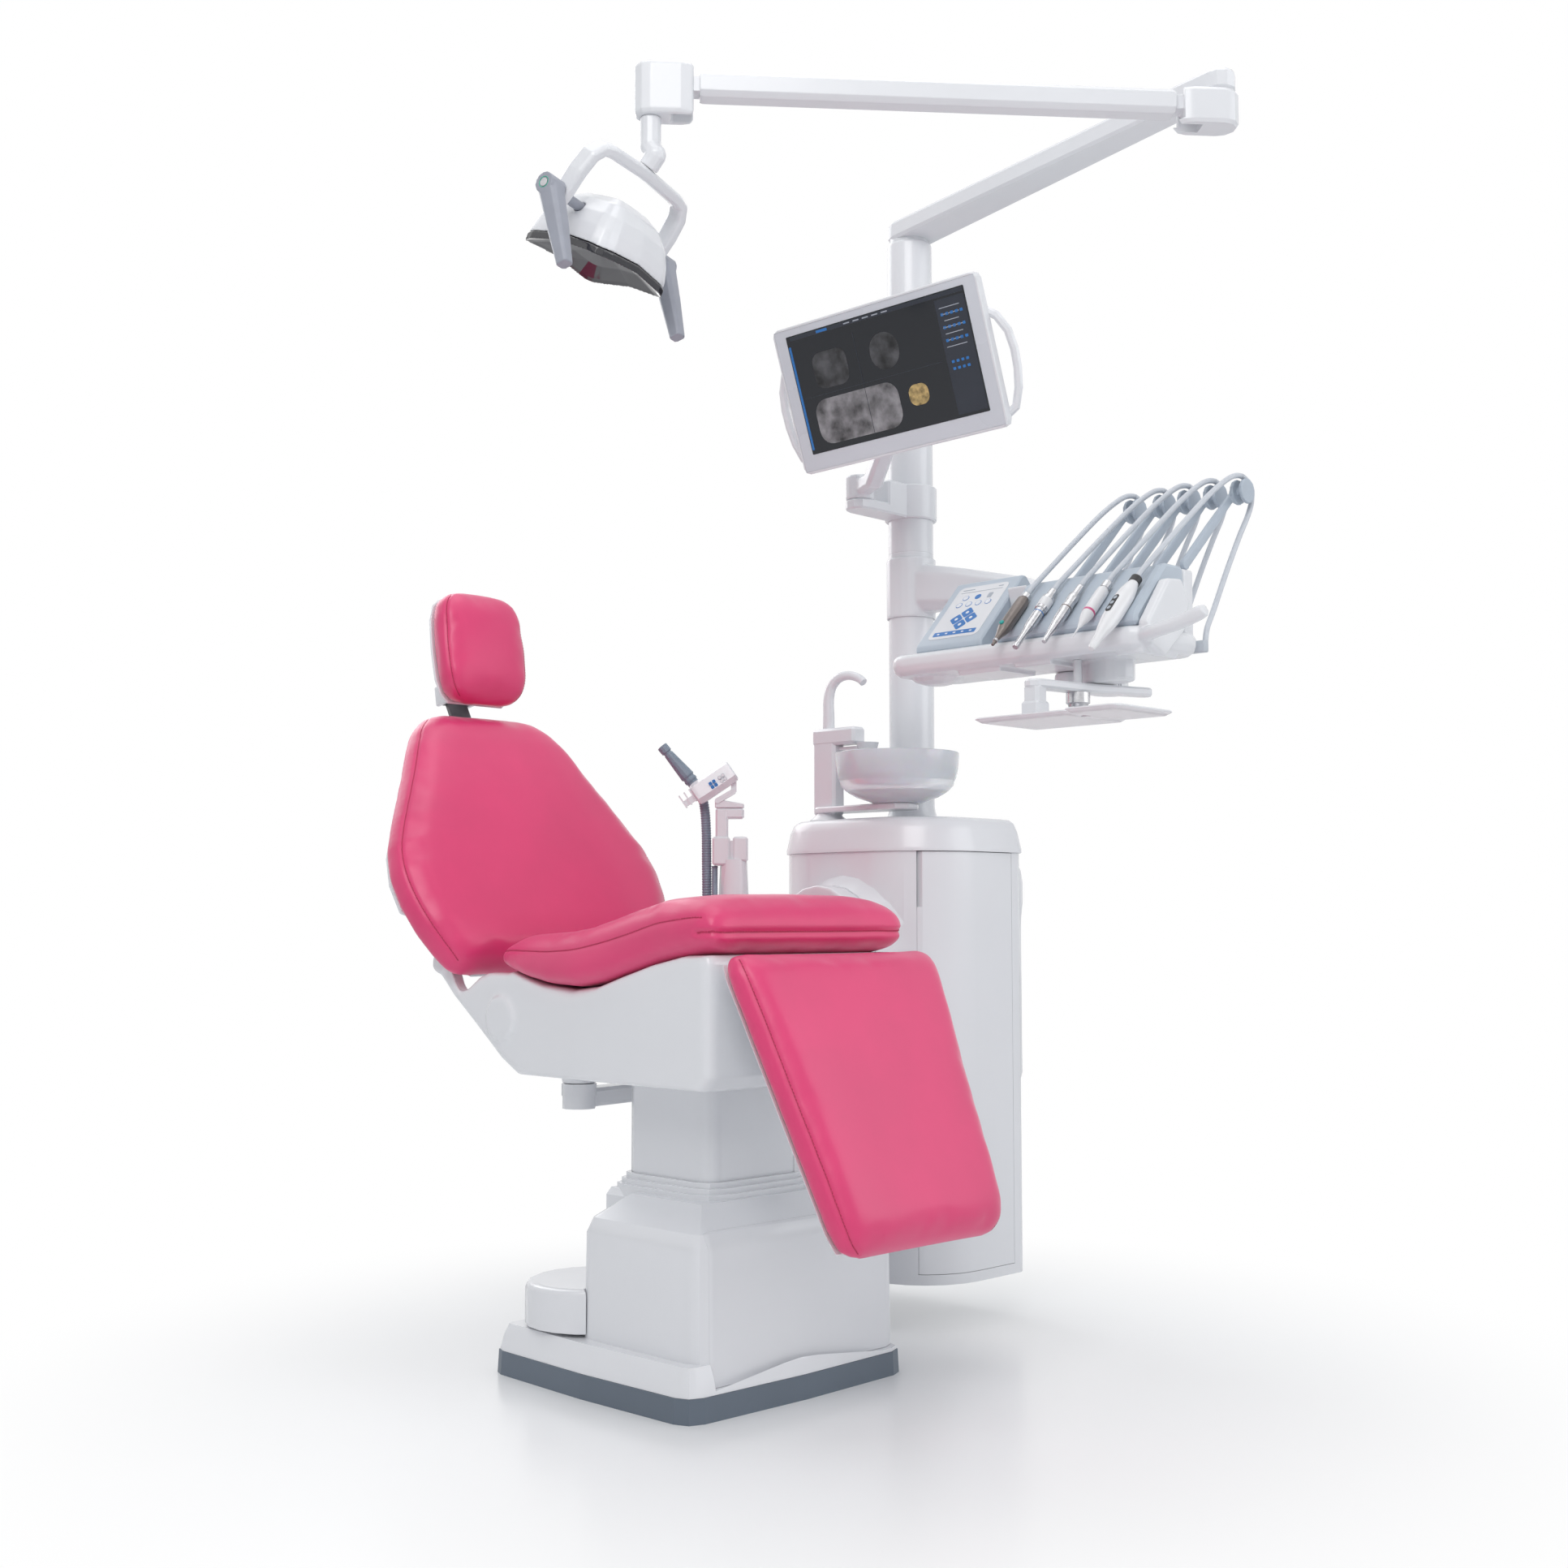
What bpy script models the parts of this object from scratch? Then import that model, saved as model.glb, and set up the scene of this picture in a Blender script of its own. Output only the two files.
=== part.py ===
"""A dental treatment unit: chair, cabinet with cuspidor, instrument delivery, monitor and lamp.

Metres, +Z up. The origin is the centre of the base on the floor, the patient's feet point
towards -Y, the patient's left is +X, where the cabinet stands.
"""
import bpy
import bmesh
from math import atan2, cos, sin, pi, radians, hypot
from mathutils import Euler, Vector

# Clearances shared by every assembly
GAP = 0.0003
RUNNING_GAP = 0.0006
OVERRUN = 0.012
ROUND_STEPS = 12
TURN_STEPS = 12
RING_STEPS = 20
PLATE_STEPS = 5
BOWL_STEPS = 20
CORNER_STEPS = 2
SMOOTH_ANGLE = radians(38)
WELD = 0.00001

# Base of the chair
SKIRT_SIDE = 0.520
SKIRT_HEIGHT = 0.040
SKIRT_CHAMFER = 0.036
SKIRT_REAR_RADIUS = 0.030
SKIRT_BOW = 0.007
SKIRT_DRAFT = 0.002
PLATFORM_INSET = 0.004
PLATFORM_TOP = 0.085
PLATFORM_CHAMFER = 0.016
HOUSING_LEFT = -0.222
HOUSING_RIGHT = 0.256
HOUSING_FRONT = -0.243
HOUSING_REAR = 0.068
HOUSING_RADIUS = 0.034
HOUSING_WALL_TOP = 0.262
HOUSING_TOP = 0.326
HOUSING_SHOULDER = 0.066
RING_RISE = 0.009
RING_STEP = 0.008
RING_COUNT = 3
TOWER_BLOCK_HALF_WIDTH = 0.136
TOWER_BLOCK_REAR = 0.106
FRONT_COVER_LEFT = -0.196
FRONT_COVER_THICKNESS = 0.020
FRONT_COVER_TOP = 0.300
FRONT_COVER_BOTTOM = 0.046

# Round stop pad on the low platform
PAD_RADIUS = 0.118
PAD_X = -0.138
PAD_Y = 0.128
PAD_BOTTOM = 0.091
PAD_TOP = 0.165
PAD_EDGE = 0.012
PAD_STEM_X = -0.160
PAD_STEM_Y = 0.155
PAD_STEM_RADIUS = 0.024
PAD_CLEARANCE = 0.002
PAD_STEM_BOTTOM = 0.060
PAD_POCKET_BOTTOM = 0.052

# Lifting column
COLUMN_HALF_WIDTH = 0.110
COLUMN_FRONT = -0.145
COLUMN_REAR = 0.075
COLUMN_RADIUS = 0.028
COLUMN_BOTTOM = 0.200
COLUMN_SLIDE_GAP = 0.001
POCKET_BOTTOM = 0.060
COLUMN_WALL = 0.008
COLUMN_TOP_PLATE = 0.020

# Seat cover and seat cushion, as seen from the side
COVER_BOTTOM = 0.518
COVER_FRONT = -0.272
COVER_REAR = 0.500
COVER_HALF_WIDTH = 0.230
COVER_EDGE = 0.016
COVER_HEIGHT = 0.230
EAR_THICKNESS = 0.030
EAR_NOTCH_Y = 0.338
EAR_NOTCH_Z = 0.560
SIDE_CAP_RADIUS = 0.040
SIDE_CAP_Y = 0.282
SIDE_CAP_Z = 0.617
SIDE_CAP_RISE = 0.006
SEAT_FRONT = -0.296
SEAT_REAR = 0.318
SEAT_HALF_WIDTH = 0.250
SEAT_CROWN = 0.832

# Backrest
BACK_FOOT_Y = 0.420
BACK_FOOT_Z = 0.680
BACK_RECLINE = radians(30)
BACK_LENGTH = 0.600
BACK_HALF_WIDTH = 0.330
BACK_THICKNESS = 0.076
SHELL_THICKNESS = 0.010
SHELL_MARGIN = 0.022
TONGUE_HALF_WIDTH = 0.192
TONGUE_TOP = 0.104
BACK_HINGE_UP = 0.056
BACK_HINGE_BEHIND = 0.0305
BARREL_RADIUS = 0.0215
HINGE_CAP_RADIUS = 0.0185

# Headrest
BAR_WIDTH = 0.050
BAR_THICKNESS = 0.008
BAR_START_SHARE = 0.50
BAR_LENGTH = 0.372
HEAD_BACK_Y = 0.712
HEAD_CENTRE_Z = 1.348
HEAD_TILT = radians(10)
HEAD_WIDTH = 0.206
HEAD_HEIGHT = 0.238
HEAD_THICKNESS = 0.070
HEAD_SHELL_THICKNESS = 0.012
HEAD_SHELL_MARGIN = 0.006
HEAD_KNUCKLE_RADIUS = 0.013
HEAD_KNUCKLE_WIDTH = 0.060

# Leg rest
LEG_TOP_Y = -0.300
LEG_TOP_Z = 0.735
LEG_BOTTOM_Y = -0.512
LEG_BOTTOM_Z = 0.272
LEG_TOP_HALF_WIDTH = 0.250
LEG_BOTTOM_HALF_WIDTH = 0.198
LEG_THICKNESS = 0.058
LEG_FRAME_THICKNESS = 0.012
LEG_FRAME_MARGIN = 0.012
LEG_PIVOT_DOWN = 0.012
LEG_PIVOT_IN = 0.020
KNEE_BLOCK_TOP = 0.027
KNEE_BLOCK_BOTTOM = 0.060
KNEE_BLOCK_INNER = 0.120
KNEE_BLOCK_OUTER = 0.170

# Assistant's arm, hung under the seat
HUB_X = -0.118
HUB_Y = 0.195
HUB_RADIUS = 0.032
HUB_PLATE_BOTTOM = 0.500
HUB_TIER = 0.478
HUB_BOTTOM = 0.455
ARM_END_X = 0.330
ARM_END_Y = 0.262
ARM_HALF_HEIGHT = 0.0165
ARM_HALF_WIDTH = 0.024
ARM_MID_Z = 0.474
ARM_EDGE = 0.006
ASSISTANT_YAW = radians(-45)
UPRIGHT_RADIUS = 0.033
UPRIGHT_WAIST = 0.780
UPRIGHT_TOP_RADIUS = 0.027

# Knuckle, neck and cap at the top of the upright, in the frame of the assistant's arm
CHEEK_LEFT = -0.0428
CHEEK_SLOT_LEFT = -0.0075
CHEEK_SLOT_RIGHT = -0.0015
CHEEK_RIGHT = 0.029
CHEEK_HALF_DEPTH = 0.022
CHEEK_WEB_HALF_DEPTH = 0.014
CHEEK_BOTTOM = 0.904
CHEEK_TOP = 0.962
CHEEK_STEP = 0.008
CHEEK_EDGE = 0.004
NECK_LEFT = -0.0365
NECK_RIGHT = -0.0110
NECK_HALF_DEPTH = 0.0165
NECK_BOTTOM = 0.925
NECK_TOP = 1.020
LEDGE_BOTTOM = 0.9985
CAP_LEFT = -0.0378
CAP_RIGHT = 0.0210
CAP_LEFT_TOP = 1.038
CAP_RIGHT_TOP = 1.029
CAP_EDGE = 0.004

# Holder box with its link, clips, handpiece and hoses, in the same frame
HOLDER_X = -0.0390
HOLDER_Y = -0.0120
HOLDER_Z = 1.068
HOLDER_ROLL = radians(34)
HOLDER_LENGTH = 0.094
HOLDER_SECTION = ((-0.014, 0.020), (-0.022, -0.009), (-0.010, -0.020), (0.008, -0.020),
                  (0.0115, -0.006), (0.0110, 0.018), (0.0, 0.027))
LINK_LOW_X = -0.0327
LINK_LOW_Z = 1.0345
LINK_HIGH_X = -0.0008
LINK_HIGH_Z = 1.053
LINK_RADIUS = 0.0055
LINK_BACK = 0.005
LINK_FRONT = 0.019
LUG_RISE = 0.020
CLIP_COUNT = 3
CLIP_PITCH = 0.012
CLIP_THICKNESS = 0.003
CLIP_HALF_DEPTH = 0.010
CLIP_CENTRE = 0.006
CLIP_HALF_HEIGHT = 0.014
SUCTION_X = -0.0800
SUCTION_Y = 0.0175
SUCTION_Z = 1.069
SUCTION_LEAN = radians(40.5)
SUCTION_LENGTH = 0.104
SUCTION_RADIUS = 0.0150
SUCTION_SHARES = ((0.74, 1.0), (0.74, 0.845), (0.56, 0.838), (0.56, 0.81), (0.66, 0.80), (0.98, 0.235),
                  (0.98, 0.21),
                  (0.84, 0.20), (0.84, 0.165), (0.92, 0.155), (0.92, 0.10), (0.80, 0.09), (0.80, 0.0))
BIG_HOSE_RADIUS = 0.0102
BIG_HOSE_BORE = 0.0074
BIG_RIB_DEPTH = 0.0014
BIG_RIB_COUNT = 28
BIG_HOSE_ROUTE = ((-0.0797, 0.0175, 1.0686), (-0.0732, 0.0172, 1.0610), (-0.0650, 0.0165, 1.0450),
                  (-0.0590, 0.0150, 1.0150),
                  (-0.0560, 0.0120, 0.9700), (-0.0550, 0.0060, 0.9100), (-0.0540, 0.0, 0.8500),
                  (-0.0530, 0.0, 0.7000),
                  (-0.0560, 0.0, 0.6000), (-0.0590, 0.0, 0.5550), (-0.0550, 0.0, 0.5290),
                  (-0.0455, 0.0, 0.5200),
                  (-0.0356, 0.0, 0.5200))
SMALL_HOSE_RADIUS = 0.0062
SMALL_HOSE_BORE = 0.0042
SMALL_RIB_DEPTH = 0.0009
SMALL_RIB_COUNT = 17
SMALL_HOSE_ROUTE = ((-0.0380, -0.0040, 0.9030), (-0.0380, -0.0040, 0.8960), (-0.0378, -0.0120, 0.8700),
                    (-0.0372, -0.0220, 0.8400), (-0.0365, -0.0280, 0.7800), (-0.0365, -0.0300, 0.7000),
                    (-0.0400, -0.0330, 0.6400), (-0.0460, -0.0320, 0.6120), (-0.0444, -0.0256, 0.6020),
                    (-0.0380, -0.0219, 0.6020), (-0.0302, -0.0174, 0.6020))
STRAP_START = (-0.0525, 0.0)
STRAP_END = (-0.0365, -0.0298)
STRAP_Z = 0.715
STRAP_HEIGHT = 0.012
STRAP_SHARE = 1.2

# Cabinet
CAB_LEFT = 0.470
CAB_RIGHT = 0.780
CAB_FRONT = -0.130
CAB_REAR = 0.330
CAB_BOTTOM = 0.090
CAB_TOP = 0.930
CAB_LEFT_RADIUS = 0.150
CAB_RIGHT_RADIUS = 0.030
CAB_WALL = 0.014
CAB_FLOOR = 0.020
DOOR_LEFT = 0.506
DOOR_RIGHT = 0.734
DOOR_THICKNESS = 0.018
DOOR_GAP = 0.0009
HANDLE_SLOT_WIDTH = 0.006
HANDLE_SLOT_LENGTH = 0.110
COVER_OVERHANG = 0.005
TOP_COVER_TOP = 1.000
CANISTER_WIDTH = 0.050
CANISTER_FRONT = -0.098
CANISTER_REAR = 0.170
CANISTER_BOTTOM = 0.450
CANISTER_TOP = 0.918
CANISTER_RADIUS = 0.024
FLARE_Y = 0.090
FLARE_Z = 0.745
FLARE_RADIUS = 0.158
FLARE_DEPTH = 0.030
HUB_DISC_RADIUS = 0.118
DOOR_REACH = -0.055
CANISTER_SHARES = ((0.0, 0.85), (0.02, 0.40), (0.07, 0.16), (0.15, 0.18), (0.70, 0.18), (0.75, 0.15),
                   (0.82, 0.0),
                   (0.90, 0.0), (0.955, 0.16), (0.985, 0.5), (1.0, 0.9))

# Cast arm from the base to the cabinet: places, then shares of the half width and half height
FOOT_FRONT = -0.200
FOOT_RIGHT = 0.278
FOOT_EDGE = 0.004
SUPPORT_HALF_WIDTH = 0.045
SUPPORT_HALF_HEIGHT = 0.040
SUPPORT_RISE_X = 0.408
SUPPORT_ROUTE = ((0.262, 0.005, 0.160, 1.2, 1.3), (0.310, 0.010, 0.166, 1.1, 1.15),
                 (0.358, 0.025, 0.205, 1.0, 1.0),
                 (0.392, 0.045, 0.300, 1.0, 0.90), (0.405, 0.070, 0.450, 1.0, 0.85),
                 (0.408, 0.090, 0.600, 1.1, 0.8),
                 (0.408, 0.090, 0.745, 1.3, 0.75))

# Cuspidor
TOWER_X = 0.545
TOWER_Y = 0.200
TOWER_WIDTH = 0.036
TOWER_DEPTH = 0.062
TOWER_TOP = 1.192
TOWER_HEAD_LENGTH = 0.088
TOWER_HEAD_HEIGHT = 0.036
TOWER_FOOT_RADIUS = 0.040
TOWER_FOOT_HEIGHT = 0.020
TOWER_EDGE = 0.006
BOWL_X = 0.545
BOWL_Y = 0.010
BOWL_RADIUS = 0.125
BOWL_RIM_Z = 1.130
BOWL_BOTTOM_Z = 1.028
BOWL_SHARES = ((0.0, 0.20), (0.16, 0.21), (0.54, 0.27), (0.80, 0.46), (0.90, 0.70), (0.945, 1.0),
               (1.0, 1.0), (0.995, 0.86), (0.95, 0.50), (0.85, 0.285), (0.80, 0.27), (0.66, 0.10),
               (0.46, 0.01),
               (0.0, 0.0))
CARRIER_THICKNESS = 0.012
CARRIER_ROOT_RADIUS = 0.030
CARRIER_END_RADIUS = 0.044
CUP_STAND_X = 0.553
CUP_STAND_Y = 0.098
CUP_STAND_RADIUS = 0.024
CUP_STAND_TOP = 1.158
CUP_STAND_THICKNESS = 0.006
CUP_STEM_RADIUS = 0.011
SPOUT_RADIUS = 0.0125
SPOUT_TIP_RADIUS = 0.0085
SPOUT_NECK = 0.030
SPOUT_ROUTE = ((0.0, 0.0, 0.062), (0.001, -0.008, 0.090), (0.003, -0.030, 0.107), (0.007, -0.056, 0.109),
               (0.010, -0.078, 0.101), (0.011, -0.089, 0.092))

# Post
POST_X = 0.700
POST_Y = 0.105
POST_RADIUS = 0.0475
POST_WALL = 0.005
POST_TOP = 2.244
POST_FOOT_RADIUS = 0.058
POST_FOOT_HEIGHT = 0.036
COLLAR_BOTTOM = 1.428
COLLAR_TOP = 1.559
COLLAR_WALL = 0.005

# Delivery arm and head
DELIVERY_ARM_WIDTH = 0.066
DELIVERY_ROUTE = ((0.070, 1.493, 0.050), (-0.050, 1.476, 0.042), (-0.200, 1.447, 0.034),
                  (-0.262, 1.424, 0.031),
                  (-0.305, 1.385, 0.029), (-0.335, 1.325, 0.026), (-0.358, 1.275, 0.022),
                  (-0.386, 1.247, 0.018),
                  (-0.405, 1.242, 0.013))
HEAD_PIVOT_X = 0.580
HEAD_PIVOT_Y = -0.400
HEAD_PIVOT_RADIUS = 0.034
HEAD_ARM_TOP = 1.258
HEAD_ARM_BOTTOM = 1.226
TABLE_FRONT = 0.436
TABLE_BACK = 0.636
TABLE_LEFT = -0.052
TABLE_RIGHT = -0.655
TABLE_BOTTOM = 1.268
TABLE_TOP = 1.310
TABLE_RADIUS = 0.045
TABLE_EDGE = 0.012
CONSOLE_LEFT = -0.112
CONSOLE_RIGHT = -0.276
CONSOLE_FRONT = 0.462
CONSOLE_BACK = 0.632
CONSOLE_LIP = 0.014
CONSOLE_SLOPE = radians(47)
CONSOLE_FACE_LENGTH = 0.190
CRADLE_LEFT = -0.322
CRADLE_RIGHT = -0.634
CRADLE_FRONT = 0.447
CRADLE_TOP_X = 0.541
CRADLE_BACK = 0.600
CRADLE_TOP_Z = 1.432
CRADLE_LIP = 0.020
CRADLE_RIDGE_X = 0.575
CHANNEL_RADIUS = 0.0125
CHANNEL_SHARES = (1.0, 0.96, 0.90, 0.92, 1.36)

# Housing, plates, fin and handle of the head
HOUSING_START = (0.553, -0.478)
HOUSING_END = (0.540, -0.532)
HOUSING_END_RADIUS = 0.030
BULGE_X = 0.520
BULGE_Y = -0.118
BULGE_RADIUS = 0.052
BULGE_DEPTH = 0.014
UNDER_PLATE_DEPTH = 0.110
UNDER_PLATES = ((0.456, -0.325, -0.225, 0.010), (0.452, -0.445, -0.362, 0.009),
                (0.456, -0.640, -0.585, 0.008))
FIN_OUTLINE = ((0.512, 1.397), (0.555, 1.401), (0.580, 1.362), (0.566, 1.311), (0.499, 1.255),
               (0.456, 1.272),
               (0.446, 1.314))
FIN_OUT = 0.004
FIN_IN = 0.018
FIN_EDGE = 0.003
HANDLE_RADIUS = 0.0135
HANDLE_ROUTE = ((0.474, -0.620, 1.289), (0.453, -0.650, 1.291), (0.442, -0.685, 1.295),
                (0.440, -0.730, 1.303),
                (0.440, -0.778, 1.317))

# Instruments in the cradle
INSTRUMENT_COUNT = 5
FIRST_INSTRUMENT_Y = -0.357
INSTRUMENT_PITCH = 0.0610
TAIL_X = 0.500
TAIL_Z = 1.402
INSTRUMENT_SLOPE = radians(45)
TURBINE_HEAD_RADIUS = 0.0072

# Whips and pulleys behind the head
WHIP_RAIL_BACK = 0.634
WHIP_RAIL_RIGHT = -0.632
WHIP_RAIL_LEFT = -0.370
WHIP_BASE_X = 0.622
WHIP_BASE_Z = 1.440
PULLEY_X = 0.795
PULLEY_Z = 1.600
PULLEY_RADIUS = 0.024
PULLEY_WIDTH = 0.007
PULLEY_SPACING = 0.0125
WHIP_YS = (-0.381, -0.449, -0.505, -0.563, -0.621)
WHIP_WIDTH = 0.010
WHIP_HEIGHT = 0.020
AXLE_RADIUS = 0.006
HOSE_RADIUS = 0.0052
HOSE_POINTS = 14
HOSE_CREST_Z = 1.6295
HOSE_ROUTE_SHARES = ((0.16, 0.205), (0.42, 0.51), (0.66, 0.78), (0.84, 0.945), (0.96, 0.998))
HOSE_FALL = ((0.808, 1.626), (0.824, 1.612), (0.828, 1.590), (0.815, 1.560), (0.780, 1.510), (0.735, 1.440),
             (0.690, 1.365),
             (0.665, 1.325))
HOSE_END_X = 0.646
HOSE_END_Z = 1.290
MANIFOLD_REACH = 0.030
MANIFOLD_HEIGHT = 0.022
MANIFOLD_DEPTH = 0.016

# Tray
TRAY_PIVOT_X = 0.500
TRAY_PIVOT_Y = -0.470
TRAY_PLATE_Z = 1.145
TRAY_PLATE_THICKNESS = 0.009
TRAY_BAR_TOP = 1.224
TRAY_BAR_HEIGHT = 0.016
TRAY_BAR_WIDTH = 0.038
TRAY_BAR_END_X = 0.640
TRAY_BAR_END_Y = -0.518
TRAY_BLOCK_X = 0.392
TRAY_BLOCK_Y = -0.455
TRAY_BLOCK_HEIGHT = 0.030
KNOB_RADIUS = 0.022
KNOB_HEIGHT = 0.026
KNOB_SHAFT_RADIUS = 0.008
KNOB_SHAFT_LENGTH = 0.030
PLATE_LEFT = 0.312
PLATE_RIGHT = 0.500
PLATE_REAR = -0.372
PLATE_SPLIT = -0.585
PLATE_FRONT = -0.700
RING_PULL_RADIUS = 0.011
RING_PULL_WIRE = 0.0014
RING_PULL_X = 0.590
RING_PULL_Y = -0.500
TRAY_CORNER = 0.018
TRAY_TAPER = 0.012
TRAY_RIM = 0.010
SMALL_PLATE_SHIFT = 0.022
SMALL_PLATE_INSET = 0.032

# Monitor
SCREEN_X = 0.368
SCREEN_Y = -0.133
SCREEN_Z = 1.837
SCREEN_TURN = radians(-81.7)
SCREEN_TILT = radians(18.9)
SCREEN_ROLL = radians(-3.0)
SCREEN_WIDTH = 0.474
SCREEN_HEIGHT = 0.289
SCREEN_DEPTH = 0.030
SCREEN_RADIUS = 0.014
GLASS_INSET = 0.005
GLASS_THICKNESS = 0.003
HUB_MONITOR_X = 0.540
HUB_MONITOR_Y = 0.105
HUB_MONITOR_RADIUS = 0.030
CLAMP_BOTTOM = 1.640
CLAMP_TOP = 1.712
CLAMP_WALL = 0.008
MONITOR_ARM_BOTTOM = 1.662
MONITOR_ARM_RADIUS = 0.018
CLAMP_CHEEK_REACH = 0.055
SCREEN_BACK_GAP = 0.020
KNUCKLE_HALF_WIDTH = 0.020
KNUCKLE_DEPTH = 0.022
MONITOR_KNUCKLE_RADIUS = 0.016
BACK_BOSS_RADIUS = 0.036
BACK_BOSS_DEPTH = 0.016
GRIP_RADIUS = 0.0085
GRIP_OUT = 0.030
GRIP_SHARES = ((-0.6, 0.55, 0.4), (0.1, 0.45, 0.7), (0.8, 0.20, 0.9), (1.0, -0.15, 0.9), (0.75, -0.55, 0.8),
               (0.1, -0.85, 0.6), (-0.6, -0.88, 0.4))

# Lamp arms
ELBOW_X = 0.540
ELBOW_Y = -0.760
LOWER_ARM_RISE = 0.045
LOWER_ARM_TOP = POST_TOP + LOWER_ARM_RISE
LOWER_ARM_HEIGHT = 0.038
LOWER_ARM_ROOT_WIDTH = 0.092
LOWER_ARM_TIP_WIDTH = 0.058
ELBOW_DROP = 0.102
ELBOW_BOTTOM = LOWER_ARM_TOP - ELBOW_DROP
ELBOW_WIDTH = 0.066
ELBOW_LENGTH = 0.096
EYE_INSET = 0.058
STEM_X = -0.224
STEM_Y = -0.112
SPRING_ARM_DROP = 0.039
SPRING_ARM_TOP = LOWER_ARM_TOP - SPRING_ARM_DROP
SPRING_ARM_HEIGHT = 0.044
SPRING_ARM_WIDTH = 0.050
ELBOW_MOUTH = 0.070
SPRING_ARM_START = 0.084
SPRING_ARM_END = 0.918
KNUCKLE_DROP = 0.079
KNUCKLE_BOTTOM = SPRING_ARM_TOP - KNUCKLE_DROP
KNUCKLE_TOP_RISE = 0.014
STEM_RADIUS = 0.0185
STEM_FALL = 0.053
STEM_BEND_Z = KNUCKLE_BOTTOM - STEM_FALL
STEM_NECK = 0.024

# Lamp head, in the frame of its yoke
LAMP_X = -0.256
LAMP_Y = -0.041
LAMP_DROP = 0.129
LAMP_Z = STEM_BEND_Z - LAMP_DROP
LAMP_TURN = radians(7.2)
LAMP_LEAN = radians(37.6)
LAMP_ROLL = radians(8.7)
LAMP_HEAD_TILT = radians(-17)
YOKE_HALF_WIDTH = 0.1285
YOKE_HEIGHT = 0.103
YOKE_THICKNESS = 0.022
YOKE_DEPTH = 0.036
LENS_SIDE = 0.199
LENS_DROP = 0.082
LENS_THICKNESS = 0.013
LENS_HOLLOW = 0.012
ARCH = 0.014
SHELL_STEPS = 20
LENS_GAP = 0.0012
LENS_RING_SHARES = (0.2, 0.6, 0.92)
SHELL_SQUARENESS = 0.32
DOME_HEIGHT = 0.110
DOME_SHARES = ((0.985, 0.0, 1.0), (0.975, 0.10, 1.0), (0.93, 0.28, 0.95), (0.84, 0.50, 0.8),
               (0.68, 0.72, 0.6),
               (0.45, 0.88, 0.4), (0.18, 0.97, 0.2))
YOKE_CROWN_SHARE = 1.06
YOKE_ROUTE_SHARES = ((-1.0, -0.16, 0.80, 1.0), (-1.0, 0.0, 0.95, 1.0), (-1.0, 0.45, 1.0, 1.0),
                     (-0.965, 0.78, 1.0, 1.0),
                     (-0.86, 0.97, 1.0, 1.0), (-0.70, 1.02, 1.0, 1.0), (0.0, YOKE_CROWN_SHARE, 1.0, 1.0),
                     (0.70, 1.02, 1.0, 1.0),
                     (0.86, 0.97, 1.0, 1.0), (0.965, 0.78, 1.0, 1.0), (1.0, 0.45, 1.0, 1.0),
                     (1.0, 0.0, 0.95, 1.0),
                     (1.0, -0.16, 0.80, 1.0))
AXLE_PIN_RADIUS = 0.009
GRIP_LENGTH = 0.154
GRIP_SLOPE = radians(35)
GRIP_START_RADIUS = 0.0185
GRIP_END_RADIUS = 0.0115
GRIP_OFFSET = 0.030
BUTTON_RADIUS = 0.0075
BUTTON_THICKNESS = 0.0017
BUTTON_SEAT = 0.0026


def clear_scene():
    for item in list(bpy.data.objects):
        bpy.data.objects.remove(item)
    for collection in list(bpy.data.collections):
        bpy.data.collections.remove(collection)


clear_scene()
PARTS = bpy.data.collections.new("dental_unit")
CUTTERS = bpy.data.collections.new("cutters")
bpy.context.scene.collection.children.link(PARTS)
bpy.context.scene.collection.children.link(CUTTERS)


def material(name, colour, roughness, metallic=0.0):
    made = bpy.data.materials.new(name)
    made.use_nodes = True
    shader = made.node_tree.nodes["Principled BSDF"]
    shader.inputs["Base Color"].default_value = (*colour, 1.0)
    shader.inputs["Roughness"].default_value = roughness
    shader.inputs["Metallic"].default_value = metallic
    return made


WHITE = material("white_gloss", (0.86, 0.87, 0.90), 0.25)
SKIRT_GREY = material("skirt_grey", (0.12, 0.15, 0.19), 0.45)
PINK = material("pink_leatherette", (0.66, 0.06, 0.16), 0.38)
PALE_BLUE = material("pale_blue_grey", (0.56, 0.62, 0.69), 0.35)
HOSE_GREY = material("hose_grey", (0.62, 0.65, 0.70), 0.45)
SUCTION_GREY = material("suction_grey", (0.22, 0.27, 0.34), 0.45)
STEEL = material("steel", (0.60, 0.60, 0.62), 0.25, 1.0)
DARK_STEEL = material("dark_steel", (0.18, 0.18, 0.20), 0.35, 1.0)
DARK_GLASS = material("dark_glass", (0.03, 0.03, 0.04), 0.08)
SCREEN_GLASS = material("screen_glass", (0.02, 0.02, 0.03), 0.10)
HANDLE_GREY = material("handle_grey", (0.36, 0.38, 0.43), 0.40)
WHIP_GREY = material("whip_grey", (0.50, 0.55, 0.62), 0.40)
BOWL_WHITE = material("bowl_white", (0.80, 0.81, 0.85), 0.15)
BRONZE = material("bronze_grey", (0.20, 0.18, 0.17), 0.30, 0.8)

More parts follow.
